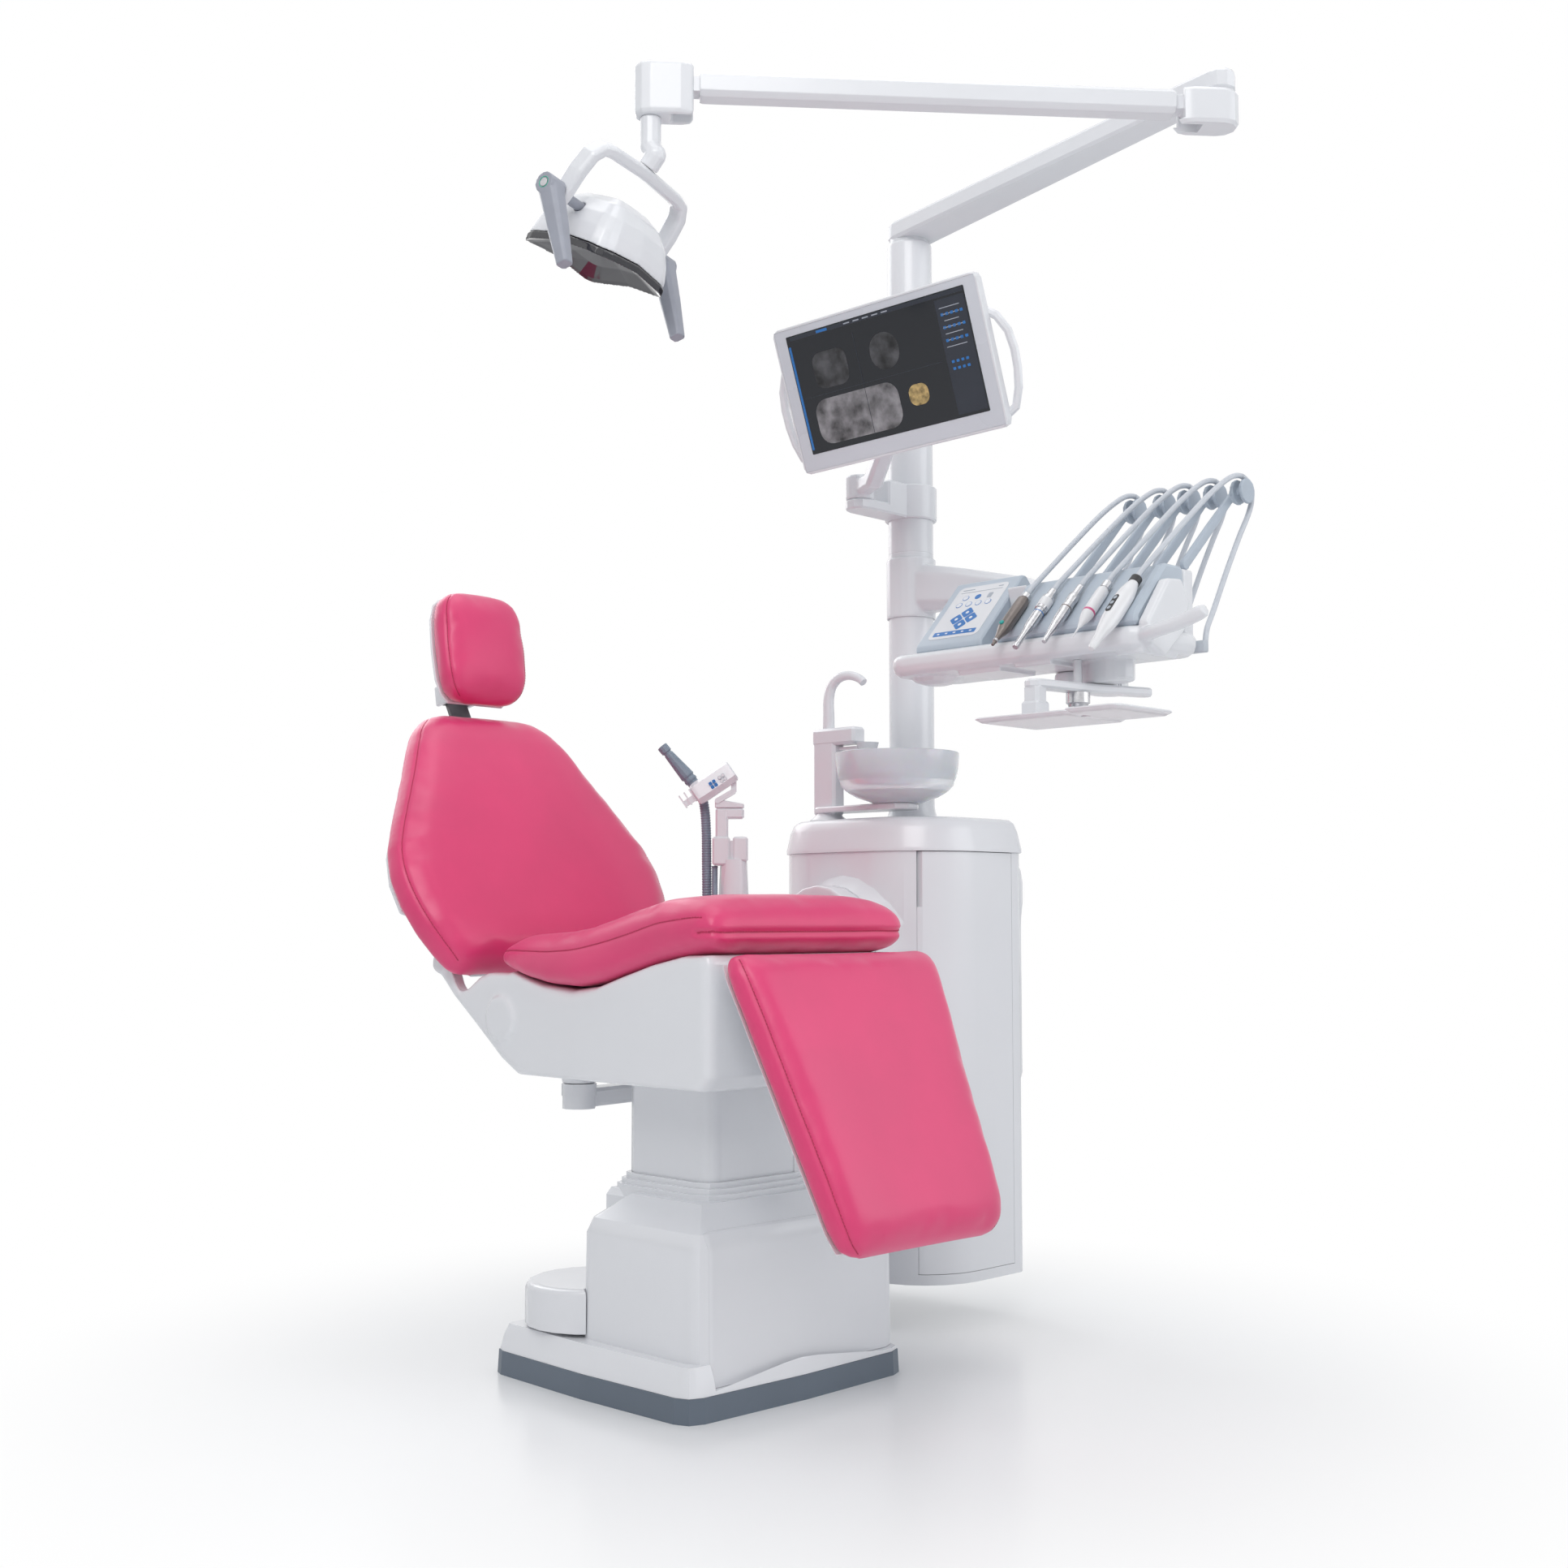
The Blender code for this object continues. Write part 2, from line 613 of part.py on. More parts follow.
# Instruments: name, length, look, then shares of the radius and of the length from the tail
INSTRUMENTS = (
    ("syringe", 0.150, BRONZE, ((0.62, 0.0), (0.66, 0.10), (0.92, 0.12), (1.0, 0.20), (1.0, 0.62),
                                (0.90, 0.70),
                                (0.62, 0.78), (0.34, 0.90), (0.30, 0.92), (0.22, 1.0))),
    ("micromotor", 0.166, STEEL, ((0.66, 0.0), (0.70, 0.12), (0.94, 0.14), (1.0, 0.20), (1.0, 0.36),
                                  (0.82, 0.40),
                                  (0.82, 0.60), (0.60, 0.70), (0.48, 0.86), (0.50, 0.93), (0.50, 1.0))),
    ("turbine", 0.160, STEEL, ((0.62, 0.0), (0.66, 0.16), (0.90, 0.18), (0.94, 0.26), (0.84, 0.32),
                               (0.94, 0.38),
                               (0.90, 0.60), (0.60, 0.80), (0.44, 0.92), (0.44, 1.0))),
    ("scaler", 0.156, WHITE, ((0.66, 0.0), (0.70, 0.14), (0.94, 0.16), (1.0, 0.24), (1.0, 0.56),
                              (0.90, 0.66),
                              (0.58, 0.74), (0.30, 0.82), (0.16, 0.84), (0.10, 1.0))),
    ("scanner", 0.200, WHITE, ((0.46, 0.0), (0.60, 0.10), (0.82, 0.18), (0.96, 0.26), (1.0, 0.40),
                               (0.94, 0.60),
                               (0.72, 0.74), (0.50, 0.86), (0.44, 0.95), (0.30, 1.0))))


def between(low, high, share):
    return low + (high - low) * share


def frame(name, place, turn=(0.0, 0.0, 0.0), order="XYZ", parent=None):
    """An empty that carries the pieces of one assembly."""
    empty = bpy.data.objects.new(name, None)
    empty.rotation_mode = order
    empty.location = place
    empty.rotation_euler = Euler(turn, order)
    empty.parent = parent
    PARTS.objects.link(empty)
    return empty


def finish(name, shape, look, holder=None, group=PARTS):
    """Turn a bmesh into a named object with its material and shading."""
    mesh = bpy.data.meshes.new(name)
    shape.to_mesh(mesh)
    shape.free()
    mesh.shade_smooth()
    mesh.set_sharp_from_angle(angle=SMOOTH_ANGLE)
    mesh.materials.append(look)
    made = bpy.data.objects.new(name, mesh)
    made.parent = holder
    group.objects.link(made)
    return made


def as_cutter(item):
    """Move a helper shape to the cutters, where it is not part of the model."""
    for collection in list(item.users_collection):
        collection.objects.unlink(item)
    CUTTERS.objects.link(item)
    item.hide_render = True
    item.display_type = "WIRE"
    return item


def boolean(target, tool, operation):
    modifier = target.modifiers.new(operation.lower(), "BOOLEAN")
    modifier.operation = operation
    modifier.solver = "EXACT"
    modifier.object = as_cutter(tool)
    return target


def cut(target, *tools):
    for tool in tools:
        boolean(target, tool, "DIFFERENCE")
    return target


def join(target, *tools):
    for tool in tools:
        boolean(target, tool, "UNION")
    return target


def skin(name, rings, look, holder=None):
    """Skin closed rings that have as many points each, and cap both ends."""
    shape = bmesh.new()
    loops = [[shape.verts.new(point) for point in ring] for ring in rings]
    for low, high in zip(loops, loops[1:]):
        for i, _ in enumerate(low):
            j = (i + 1) % len(low)
            shape.faces.new((low[i], low[j], high[j], high[i]))
    shape.faces.new(list(reversed(loops[0])))
    shape.faces.new(loops[-1])
    bmesh.ops.recalc_face_normals(shape, faces=shape.faces)
    return finish(name, shape, look, holder)


def box(name, low, high, look, holder=None, bevel=0.0, segments=1):
    """A box between two corners, with optional rounded edges."""
    shape = bmesh.new()
    bmesh.ops.create_cube(shape, size=1.0)
    size = [b - a for a, b in zip(low, high)]
    middle = [between(a, b, 0.5) for a, b in zip(low, high)]
    bmesh.ops.scale(shape, vec=size, verts=shape.verts)
    bmesh.ops.translate(shape, vec=middle, verts=shape.verts)
    made = finish(name, shape, look, holder)
    if bevel:
        modifier = made.modifiers.new("edges", "BEVEL")
        modifier.width = bevel
        modifier.segments = segments
    return made


def cylinder(name, start, end, radius, look, holder=None, end_radius=None, steps=ROUND_STEPS):
    """A cylinder or cone between two points."""
    start = Vector(start)
    along = Vector(end) - start
    shape = bmesh.new()
    top = radius if end_radius is None else end_radius
    length = along.length
    bmesh.ops.create_cone(shape, cap_ends=True, segments=steps, radius1=radius, radius2=top, depth=length)
    bmesh.ops.translate(shape, vec=(0, 0, length / 2), verts=shape.verts)
    turn = along.to_track_quat("Z", "Y").to_matrix()
    bmesh.ops.rotate(shape, matrix=turn, verts=shape.verts)
    bmesh.ops.translate(shape, vec=start, verts=shape.verts)
    return finish(name, shape, look, holder)


def turned(name, profile, place, look, holder=None, steps=TURN_STEPS):
    """Turn a profile of (radius, height) points about the vertical axis, top to bottom."""
    shape = bmesh.new()
    points = [shape.verts.new((radius, 0, height)) for radius, height in profile]
    for first, second in zip(points, points[1:]):
        shape.edges.new((first, second))
    made = finish(name, shape, look, holder)
    made.location = place
    modifier = made.modifiers.new("turn", "SCREW")
    modifier.steps = steps
    modifier.render_steps = steps
    modifier.use_merge_vertices = True
    modifier.merge_threshold = WELD
    return made


def tube(name, points, radius, look, holder=None, resolution=2, radii=None):
    """A round bar along a line of points, with closed ends."""
    curve = bpy.data.curves.new(name, "CURVE")
    curve.dimensions = "3D"
    curve.bevel_depth = radius
    curve.bevel_resolution = resolution
    curve.use_fill_caps = True
    line = curve.splines.new("POLY")
    line.points.add(len(points) - 1)
    for i, point in enumerate(points):
        line.points[i].co = (*point, 1.0)
        line.points[i].radius = radii[i] if radii else 1.0
    curve.materials.append(look)
    made = bpy.data.objects.new(name, curve)
    made.parent = holder
    PARTS.objects.link(made)
    return made


def as_mesh(item):
    """Replace a curve by its mesh, with the loose caps welded on."""
    bpy.context.view_layer.update()
    evaluated = item.evaluated_get(bpy.context.evaluated_depsgraph_get())
    mesh = bpy.data.meshes.new_from_object(evaluated)
    shape = bmesh.new()
    shape.from_mesh(mesh)
    bmesh.ops.remove_doubles(shape, verts=shape.verts, dist=WELD)
    bmesh.ops.recalc_face_normals(shape, faces=shape.faces)
    shape.to_mesh(mesh)
    shape.free()
    mesh.shade_smooth()
    mesh.set_sharp_from_angle(angle=SMOOTH_ANGLE)
    name = item.name
    holder = item.parent
    place = item.matrix_world.copy()
    bpy.data.objects.remove(item)
    made = bpy.data.objects.new(name, mesh)
    made.parent = holder
    PARTS.objects.link(made)
    bpy.context.view_layer.update()
    made.matrix_world = place
    return made


def solid_tube(*values, **options):
    return as_mesh(tube(*values, **options))


def smooth_route(points, count):
    """Points at even steps along a smooth curve that passes through the given ones."""
    points = [Vector(p) for p in points]
    padded = [2 * points[0] - points[1]] + points + [2 * points[-1] - points[-2]]
    fine = []
    per_leg = 12
    for i in range(len(points) - 1):
        a, b, c, d = padded[i:i + 4]
        for k in range(per_leg):
            t = k / per_leg
            fine.append(0.5 * (2 * b + (c - a) * t + (2 * a - 5 * b + 4 * c - d) * t ** 2
                               + (3 * b - a - 3 * c + d) * t ** 3))
    fine.append(points[-1])
    lengths = [0.0]
    for first, second in zip(fine, fine[1:]):
        lengths.append(lengths[-1] + (second - first).length)
    route = []
    k = 0
    for i in range(count):
        goal = lengths[-1] * i / (count - 1)
        while k < len(fine) - 2 and lengths[k + 1] < goal:
            k += 1
        span = lengths[k + 1] - lengths[k]
        route.append(fine[k].lerp(fine[k + 1], (goal - lengths[k]) / span))
    return route


def rounded(low_x, high_x, low_y, high_y, radii, inset=0.0, steps=CORNER_STEPS):
    """Outline of a rectangle, anticlockwise, with a radius for each corner.

    The corners come in this order: back right, back left, front left, front right.
    """
    low_x += inset
    low_y += inset
    high_x -= inset
    high_y -= inset
    corners = ((high_x, high_y, -1, -1, 0), (low_x, high_y, 1, -1, 1),
               (low_x, low_y, 1, 1, 2), (high_x, low_y, -1, 1, 3))
    points = []
    for (x, y, inward_x, inward_y, quarter), corner_radius in zip(corners, radii):
        radius = max(corner_radius - inset, GAP)
        for k in range(steps + 1):
            angle = (quarter + k / steps) * pi / 2
            points.append((x + inward_x * radius + radius * cos(angle),
                           y + inward_y * radius + radius * sin(angle)))
    return points


def stack(name, plan, levels, look, holder=None):
    """A solid whose outline is drawn in by an inset at each level."""
    rings = []
    for height, inset in levels:
        rings.append([(x, y, height) for x, y in plan(inset)])
    return skin(name, rings, look, holder)


# Cushion cross-section: shares of the half width and of the thickness, back centre to crown
CUSHION_RING_SHARES = (
    (0.00, 0.00), (0.55, 0.00), (0.90, 0.02), (0.978, 0.14), (1.00, 0.40), (0.993, 0.62),
    (0.972, 0.755), (0.950, 0.775), (0.944, 0.835), (0.860, 0.925), (0.550, 0.985), (0.00, 1.00))


def cushion(name, stations, look, holder=None):
    """A padded solid: each station is (place along, half width, back height, crown height)."""
    rings = []
    for along, half_width, low, high in stations:
        half = [(half_width * across, between(low, high, rise)) for across, rise in CUSHION_RING_SHARES]
        ring = half + [(-x, z) for x, z in reversed(half[1:-1])]
        rings.append([(x, along, z) for x, z in ring])
    return skin(name, rings, look, holder)


def make_base():
    def skirt(inset):
        radii = (SKIRT_REAR_RADIUS, SKIRT_REAR_RADIUS, SKIRT_CHAMFER, SKIRT_CHAMFER)
        half = SKIRT_SIDE / 2
        outline = rounded(-half, half, -half, half, radii, inset)
        bowed = []
        for i, point in enumerate(outline):
            following = outline[(i + 1) % len(outline)]
            bowed.append(point)
            if hypot(following[0] - point[0], following[1] - point[1]) > half:
                middle = Vector(((point[0] + following[0]) / 2, (point[1] + following[1]) / 2))
                bowed.append(tuple(middle + middle.normalized() * SKIRT_BOW))
        return bowed

    stack("base_plate", skirt, ((0.0, 0.0), (SKIRT_HEIGHT, SKIRT_DRAFT)), SKIRT_GREY)

    def housing_plan(inset):
        radii = (HOUSING_RADIUS, HOUSING_RADIUS, HOUSING_RADIUS, HOUSING_RADIUS)
        return rounded(HOUSING_LEFT, HOUSING_RIGHT, HOUSING_FRONT, HOUSING_REAR, radii, inset)

    housing_levels = ((SKIRT_HEIGHT + PLATFORM_INSET, 0.0),
                      (HOUSING_WALL_TOP, HOUSING_SHOULDER * 0.04),
                      (between(HOUSING_WALL_TOP, HOUSING_TOP, 0.40), HOUSING_SHOULDER * 0.22),
                      (between(HOUSING_WALL_TOP, HOUSING_TOP, 0.84), HOUSING_SHOULDER * 0.80),
                      (HOUSING_TOP, HOUSING_SHOULDER))
    platform_levels = ((SKIRT_HEIGHT + GAP, PLATFORM_INSET),
                       (between(SKIRT_HEIGHT, PLATFORM_TOP, 0.55), PLATFORM_INSET + PLATFORM_CHAMFER * 0.4),
                       (PLATFORM_TOP, PLATFORM_INSET + PLATFORM_CHAMFER))
    housing = stack("base_housing", skirt, platform_levels, WHITE)
    join(housing, stack("housing_box", housing_plan, housing_levels, WHITE))
    tower_low = (-TOWER_BLOCK_HALF_WIDTH, 0, SKIRT_HEIGHT + PLATFORM_INSET)
    tower_high = (TOWER_BLOCK_HALF_WIDTH, TOWER_BLOCK_REAR, HOUSING_TOP)
    join(housing, box("column_tower", tower_low, tower_high, WHITE, bevel=PAD_EDGE))
    for k in range(RING_COUNT):
        reach = RING_STEP * (RING_COUNT - k) + COLUMN_SLIDE_GAP

        def ring_plan(inset, grow=reach):
            return column_plan(inset - grow)

        low = HOUSING_TOP - OVERRUN if k == 0 else HOUSING_TOP + RING_RISE * k - RING_RISE / 2
        join(housing, stack("ring_%d" % k, ring_plan,
                            ((low, 0.0), (HOUSING_TOP + RING_RISE * (k + 1), 0.0)), WHITE))
    pocket_top = HOUSING_TOP + RING_RISE * RING_COUNT + OVERRUN
    cut(housing, stack("column_pocket", lambda inset: column_plan(inset - COLUMN_SLIDE_GAP),
                       ((POCKET_BOTTOM, 0.0), (pocket_top, 0.0)), WHITE))
    stem = (PAD_STEM_X, PAD_STEM_Y)
    cut(housing, cylinder("pad_pocket", (*stem, PAD_POCKET_BOTTOM), (*stem, PLATFORM_TOP + OVERRUN),
                          PAD_STEM_RADIUS + RUNNING_GAP, WHITE))
    cover = stack("base_front_cover", housing_plan, housing_levels, WHITE)
    region_low = (FRONT_COVER_LEFT, HOUSING_FRONT - OVERRUN, FRONT_COVER_BOTTOM)
    region_high = (HOUSING_RIGHT + OVERRUN, HOUSING_FRONT + FRONT_COVER_THICKNESS, FRONT_COVER_TOP)
    boolean(cover, box("cover_region", region_low, region_high, WHITE), "INTERSECT")
    low = [value - GAP for value in region_low]
    high = [value + GAP for value in region_high]
    cut(housing, box("cover_seat", low, high, WHITE))

    edge = PAD_EDGE
    pad = turned("stop_pad", ((0, PAD_TOP), (PAD_RADIUS - edge, PAD_TOP),
                              (PAD_RADIUS - edge * 0.3, PAD_TOP - edge * 0.3),
                              (PAD_RADIUS, PAD_TOP - edge), (PAD_RADIUS, PAD_BOTTOM), (0, PAD_BOTTOM)),
                 (PAD_X, PAD_Y, 0), WHITE, steps=RING_STEPS)
    cut(pad, stack("pad_notch", lambda inset: housing_plan(inset - PAD_CLEARANCE),
                   ((0, 0.0), (HOUSING_TOP, 0.0)), WHITE))
    low = (-TOWER_BLOCK_HALF_WIDTH - PAD_CLEARANCE, 0, 0)
    high = (TOWER_BLOCK_HALF_WIDTH + PAD_CLEARANCE, TOWER_BLOCK_REAR + PAD_CLEARANCE, HOUSING_TOP)
    cut(pad, box("pad_corner", low, high, WHITE))
    return join(pad, cylinder("pad_stem", (*stem, PAD_STEM_BOTTOM), (*stem, PAD_TOP - edge),
                              PAD_STEM_RADIUS, WHITE))


def column_plan(inset):
    radii = (COLUMN_RADIUS, COLUMN_RADIUS, COLUMN_RADIUS, COLUMN_RADIUS)
    return rounded(-COLUMN_HALF_WIDTH, COLUMN_HALF_WIDTH, COLUMN_FRONT, COLUMN_REAR, radii, inset)


def make_column():
    column = stack("lift_column", column_plan, ((COLUMN_BOTTOM, 0.0), (COVER_BOTTOM - GAP, 0.0)), WHITE)
    inside = stack("column_inside", lambda inset: column_plan(inset + COLUMN_WALL),
                   ((COLUMN_BOTTOM - OVERRUN, 0.0), (COVER_BOTTOM - COLUMN_TOP_PLATE, 0.0)), WHITE)
    return cut(column, inside)


# Side outline of the seat cover: shares of its length from the front and of its height
COVER_REAR_SHARES = (
    (0.030, 0.00), (0.663, 0.00), (0.728, 0.117), (0.832, 0.378), (0.922, 0.596), (0.987, 0.791),
    (0.992, 0.870), (0.972, 0.930), (0.951, 0.913), (0.926, 0.765), (0.9145, 0.687), (0.896, 0.626),
    (0.864, 0.652), (0.819, 0.748), (0.786, 0.783), (0.705, 0.791))
COVER_BED_SHARES = (
    (0.690, 0.805), (0.580, 0.715), (0.466, 0.680), (0.370, 0.715), (0.280, 0.800), (0.180, 0.890),
    (0.080, 0.955), (0.010, 0.960))
COVER_FRONT_SHARES = ((0.000, 0.90), (0.000, 0.10))


def cover_point(along, rise):
    return between(COVER_FRONT, COVER_REAR, along), COVER_BOTTOM + COVER_HEIGHT * rise


def bed_height(place):
    """Height of the cover's top edge under the cushion, at a place along the seat."""
    bed = [cover_point(*share) for share in reversed(COVER_BED_SHARES)]
    if place <= bed[0][0]:
        return bed[0][1]
    for (y0, z0), (y1, z1) in zip(bed, bed[1:]):
        if place <= y1:
            return between(z0, z1, (place - y0) / (y1 - y0))
    return bed[-1][1]


def leg_place(along, out):
    """A point of the leg rest, up its slope and out from its back: (y, z)."""
    length = hypot(LEG_TOP_Y - LEG_BOTTOM_Y, LEG_TOP_Z - LEG_BOTTOM_Z)
    up = ((LEG_TOP_Y - LEG_BOTTOM_Y) / length, (LEG_TOP_Z - LEG_BOTTOM_Z) / length)
    return (LEG_TOP_Y + up[0] * along - up[1] * out, LEG_TOP_Z + up[1] * along + up[0] * out)


def make_seat_cover():
    outline = [cover_point(*share) for share in COVER_REAR_SHARES + COVER_BED_SHARES + COVER_FRONT_SHARES]
    centre = cover_point(0.45, 0.45)

    def ring(x, inset):
        points = []
        for y, z in outline:
            away = hypot(y - centre[0], z - centre[1])
            draw = 1 - inset / away
            points.append((x, centre[0] + (y - centre[0]) * draw, centre[1] + (z - centre[1]) * draw))
        return points

    rings = [ring(-COVER_HALF_WIDTH, COVER_EDGE),
             ring(-COVER_HALF_WIDTH + COVER_EDGE * 0.3, COVER_EDGE * 0.3),
             ring(-COVER_HALF_WIDTH + COVER_EDGE, 0.0), ring(COVER_HALF_WIDTH - COVER_EDGE, 0.0),
             ring(COVER_HALF_WIDTH - COVER_EDGE * 0.3, COVER_EDGE * 0.3),
             ring(COVER_HALF_WIDTH, COVER_EDGE)]
    cover = skin("seat_cover", rings, WHITE)
    hinge_y, hinge_z = hinge_place()
    notch_half = COVER_HALF_WIDTH - EAR_THICKNESS
    cut(cover, box("ear_notch", (-notch_half, EAR_NOTCH_Y, EAR_NOTCH_Z),
                   (notch_half, COVER_REAR + OVERRUN, COVER_BOTTOM + COVER_HEIGHT + OVERRUN), WHITE))
    for side in (-1, 1):
        join(cover, cylinder("hinge_boss", (side * (notch_half + GAP), hinge_y, hinge_z),
                             (side * (COVER_HALF_WIDTH + SIDE_CAP_RISE), hinge_y, hinge_z),
                             HINGE_CAP_RADIUS, WHITE))
        cap = cylinder("side_cap", (side * (COVER_HALF_WIDTH - COVER_EDGE), SIDE_CAP_Y, SIDE_CAP_Z),
                       (side * (COVER_HALF_WIDTH + SIDE_CAP_RISE), SIDE_CAP_Y, SIDE_CAP_Z), SIDE_CAP_RADIUS,
                       WHITE)
        join(cover, cap)
        block = [leg_place(-KNEE_BLOCK_TOP, -LEG_FRAME_THICKNESS - GAP * 2),
                 leg_place(-KNEE_BLOCK_BOTTOM, -LEG_FRAME_THICKNESS - GAP * 2)]
        block += [(COVER_FRONT + COVER_EDGE, block[1][1]), (COVER_FRONT + COVER_EDGE, block[0][1])]
        places = [side * KNEE_BLOCK_INNER, side * KNEE_BLOCK_OUTER]
        rings = [[(x, y, z) for y, z in block] for x in sorted(places)]
        join(cover, skin("knee_block", rings, WHITE))
    join(cover, cylinder("arm_hub_seat", (HUB_X, HUB_Y, HUB_PLATE_BOTTOM),
                         (HUB_X, HUB_Y, COVER_BOTTOM + OVERRUN),
                         HUB_RADIUS + GAP, WHITE))
    return cover


# Crown line of the seat cushion: shares along the seat from the front, and of the crown's height
SEAT_STATIONS = (
    (0.000, 0.86, 0.9135, 0.9519), (0.020, 0.955, 0.9038, 0.9820), (0.060, 0.985, 0.8990, 0.9964),
    (0.140, 1.00, None, 1.0000), (0.240, 1.00, None, 0.9964), (0.350, 1.00, None, 0.9796),
    (0.470, 1.00, None, 0.9579), (0.590, 1.00, None, 0.9375), (0.710, 1.00, None, 0.9255),
    (0.820, 0.99, None, 0.9207), (0.900, 0.965, None, 0.9171), (0.960, 0.915, 0.8558, 0.9087),
    (1.000, 0.80, 0.8678, 0.8918))


def make_seat_cushion():
    stations = []
    for along, width, low, high in SEAT_STATIONS:
        place = between(SEAT_FRONT, SEAT_REAR, along)
        floor = bed_height(place) + GAP + RUNNING_GAP
        rim = SEAT_CROWN * low if low else floor
        stations.append((place, SEAT_HALF_WIDTH * width, max(floor, rim), SEAT_CROWN * high))
    return cushion("seat_cushion", stations, PINK)


def hinge_place():
    """Where the backrest's hinge axis crosses the middle plane: (y, z)."""
    up = (sin(BACK_RECLINE), cos(BACK_RECLINE))
    front = (-cos(BACK_RECLINE), sin(BACK_RECLINE))
    return (BACK_FOOT_Y + up[0] * BACK_HINGE_UP - front[0] * BACK_HINGE_BEHIND,
            BACK_FOOT_Z + up[1] * BACK_HINGE_UP - front[1] * BACK_HINGE_BEHIND)


# Backrest outline: shares of the length, the half width and the thickness
BACK_STATIONS = (
    (0.000, 0.74, 0.16, 0.52), (0.022, 0.80, 0.03, 0.80), (0.070, 0.86, 0.0, 0.93),
    (0.150, 0.935, 0.0, 1.00),
    (0.250, 0.985, 0.0, 1.00), (0.350, 1.00, 0.0, 1.00), (0.450, 0.965, 0.0, 1.00),
    (0.550, 0.88, 0.0, 1.00),
    (0.650, 0.785, 0.0, 1.00), (0.750, 0.69, 0.0, 0.98), (0.850, 0.60, 0.0, 0.94),
    (0.920, 0.525, 0.0, 0.86),
    (0.972, 0.43, 0.05, 0.72), (1.000, 0.29, 0.18, 0.52))


def make_backrest():
    holder = frame("backrest_frame", (0, BACK_FOOT_Y, BACK_FOOT_Z), (pi / 2 - BACK_RECLINE, 0, 0))
    stations = [(BACK_LENGTH * along, BACK_HALF_WIDTH * width, BACK_THICKNESS * low, BACK_THICKNESS * high)
                for along, width, low, high in BACK_STATIONS]
    cushion("backrest_cushion", stations, PINK, holder)
    inner = BACK_STATIONS[1:-1]
    right = [(BACK_HALF_WIDTH * width - SHELL_MARGIN, BACK_LENGTH * along) for along, width, _, _ in inner]
    tongue = [(TONGUE_HALF_WIDTH, y) for _, y in right if y < TONGUE_TOP]
    right = tongue + [(TONGUE_HALF_WIDTH, TONGUE_TOP)] + [point for point in right if point[1] > TONGUE_TOP]
    outline = right + [(-x, y) for x, y in reversed(right)]
    rings = [[(x, y, -GAP - SHELL_THICKNESS) for x, y in outline], [(x, y, -GAP) for x, y in outline]]
    shell = skin("backrest_shell", rings, WHITE, holder)
    barrel = COVER_HALF_WIDTH - EAR_THICKNESS - GAP
    join(shell, cylinder("barrel", (-barrel, BACK_HINGE_UP, -BACK_HINGE_BEHIND),
                         (barrel, BACK_HINGE_UP, -BACK_HINGE_BEHIND), BARREL_RADIUS, WHITE,
                         holder))
    bar_y = BACK_LENGTH * BAR_START_SHARE
    bar_top = -GAP - SHELL_THICKNESS - GAP
    bar = box("headrest_bar", (-BAR_WIDTH / 2, bar_y, bar_top - BAR_THICKNESS),
              (BAR_WIDTH / 2, bar_y + BAR_LENGTH, bar_top), DARK_STEEL, holder)
    side = BAR_WIDTH / 2
    guide_low = BACK_LENGTH * (BAR_START_SHARE - 0.02)
    guide_high = BACK_LENGTH * 0.80
    guide_back = bar_top - BAR_THICKNESS - SHELL_THICKNESS
    guide = box("bar_guide", (-side - SHELL_THICKNESS, guide_low, guide_back),
                (side + SHELL_THICKNESS, guide_high, -GAP - SHELL_THICKNESS / 2), WHITE, holder)
    join(shell, guide)
    cut(shell, box("bar_channel", (-side - GAP, guide_low - OVERRUN, bar_top - BAR_THICKNESS - GAP),
                   (side + GAP, guide_high + OVERRUN, bar_top + GAP), WHITE, holder))
    join(bar, cylinder("bar_eye", (-HEAD_KNUCKLE_WIDTH / 2, bar_y + BAR_LENGTH,
                                   bar_top - BAR_THICKNESS / 2),
                       (HEAD_KNUCKLE_WIDTH / 2, bar_y + BAR_LENGTH, bar_top - BAR_THICKNESS / 2),
                       HEAD_KNUCKLE_RADIUS, DARK_STEEL, holder))
    return holder


def bar_eye_place():
    """Axis of the headrest's tilt, in the middle plane: (y, z)."""
    up = (sin(BACK_RECLINE), cos(BACK_RECLINE))
    front = (-cos(BACK_RECLINE), sin(BACK_RECLINE))
    along = BACK_LENGTH * BAR_START_SHARE + BAR_LENGTH
    depth = -GAP - SHELL_THICKNESS - GAP - BAR_THICKNESS / 2
    return (BACK_FOOT_Y + up[0] * along + front[0] * depth, BACK_FOOT_Z + up[1] * along + front[1] * depth)


# Headrest outline: shares of its height, half width and thickness
HEAD_STATIONS = (
    (0.000, 0.50, 0.22, 0.50), (0.030, 0.72, 0.04, 0.74), (0.100, 0.88, 0.0, 0.90),
    (0.230, 0.97, 0.0, 0.98),
    (0.500, 1.00, 0.0, 1.00), (0.770, 0.97, 0.0, 0.98), (0.900, 0.88, 0.0, 0.90), (0.970, 0.70, 0.04, 0.74),
    (1.000, 0.48, 0.22, 0.50))


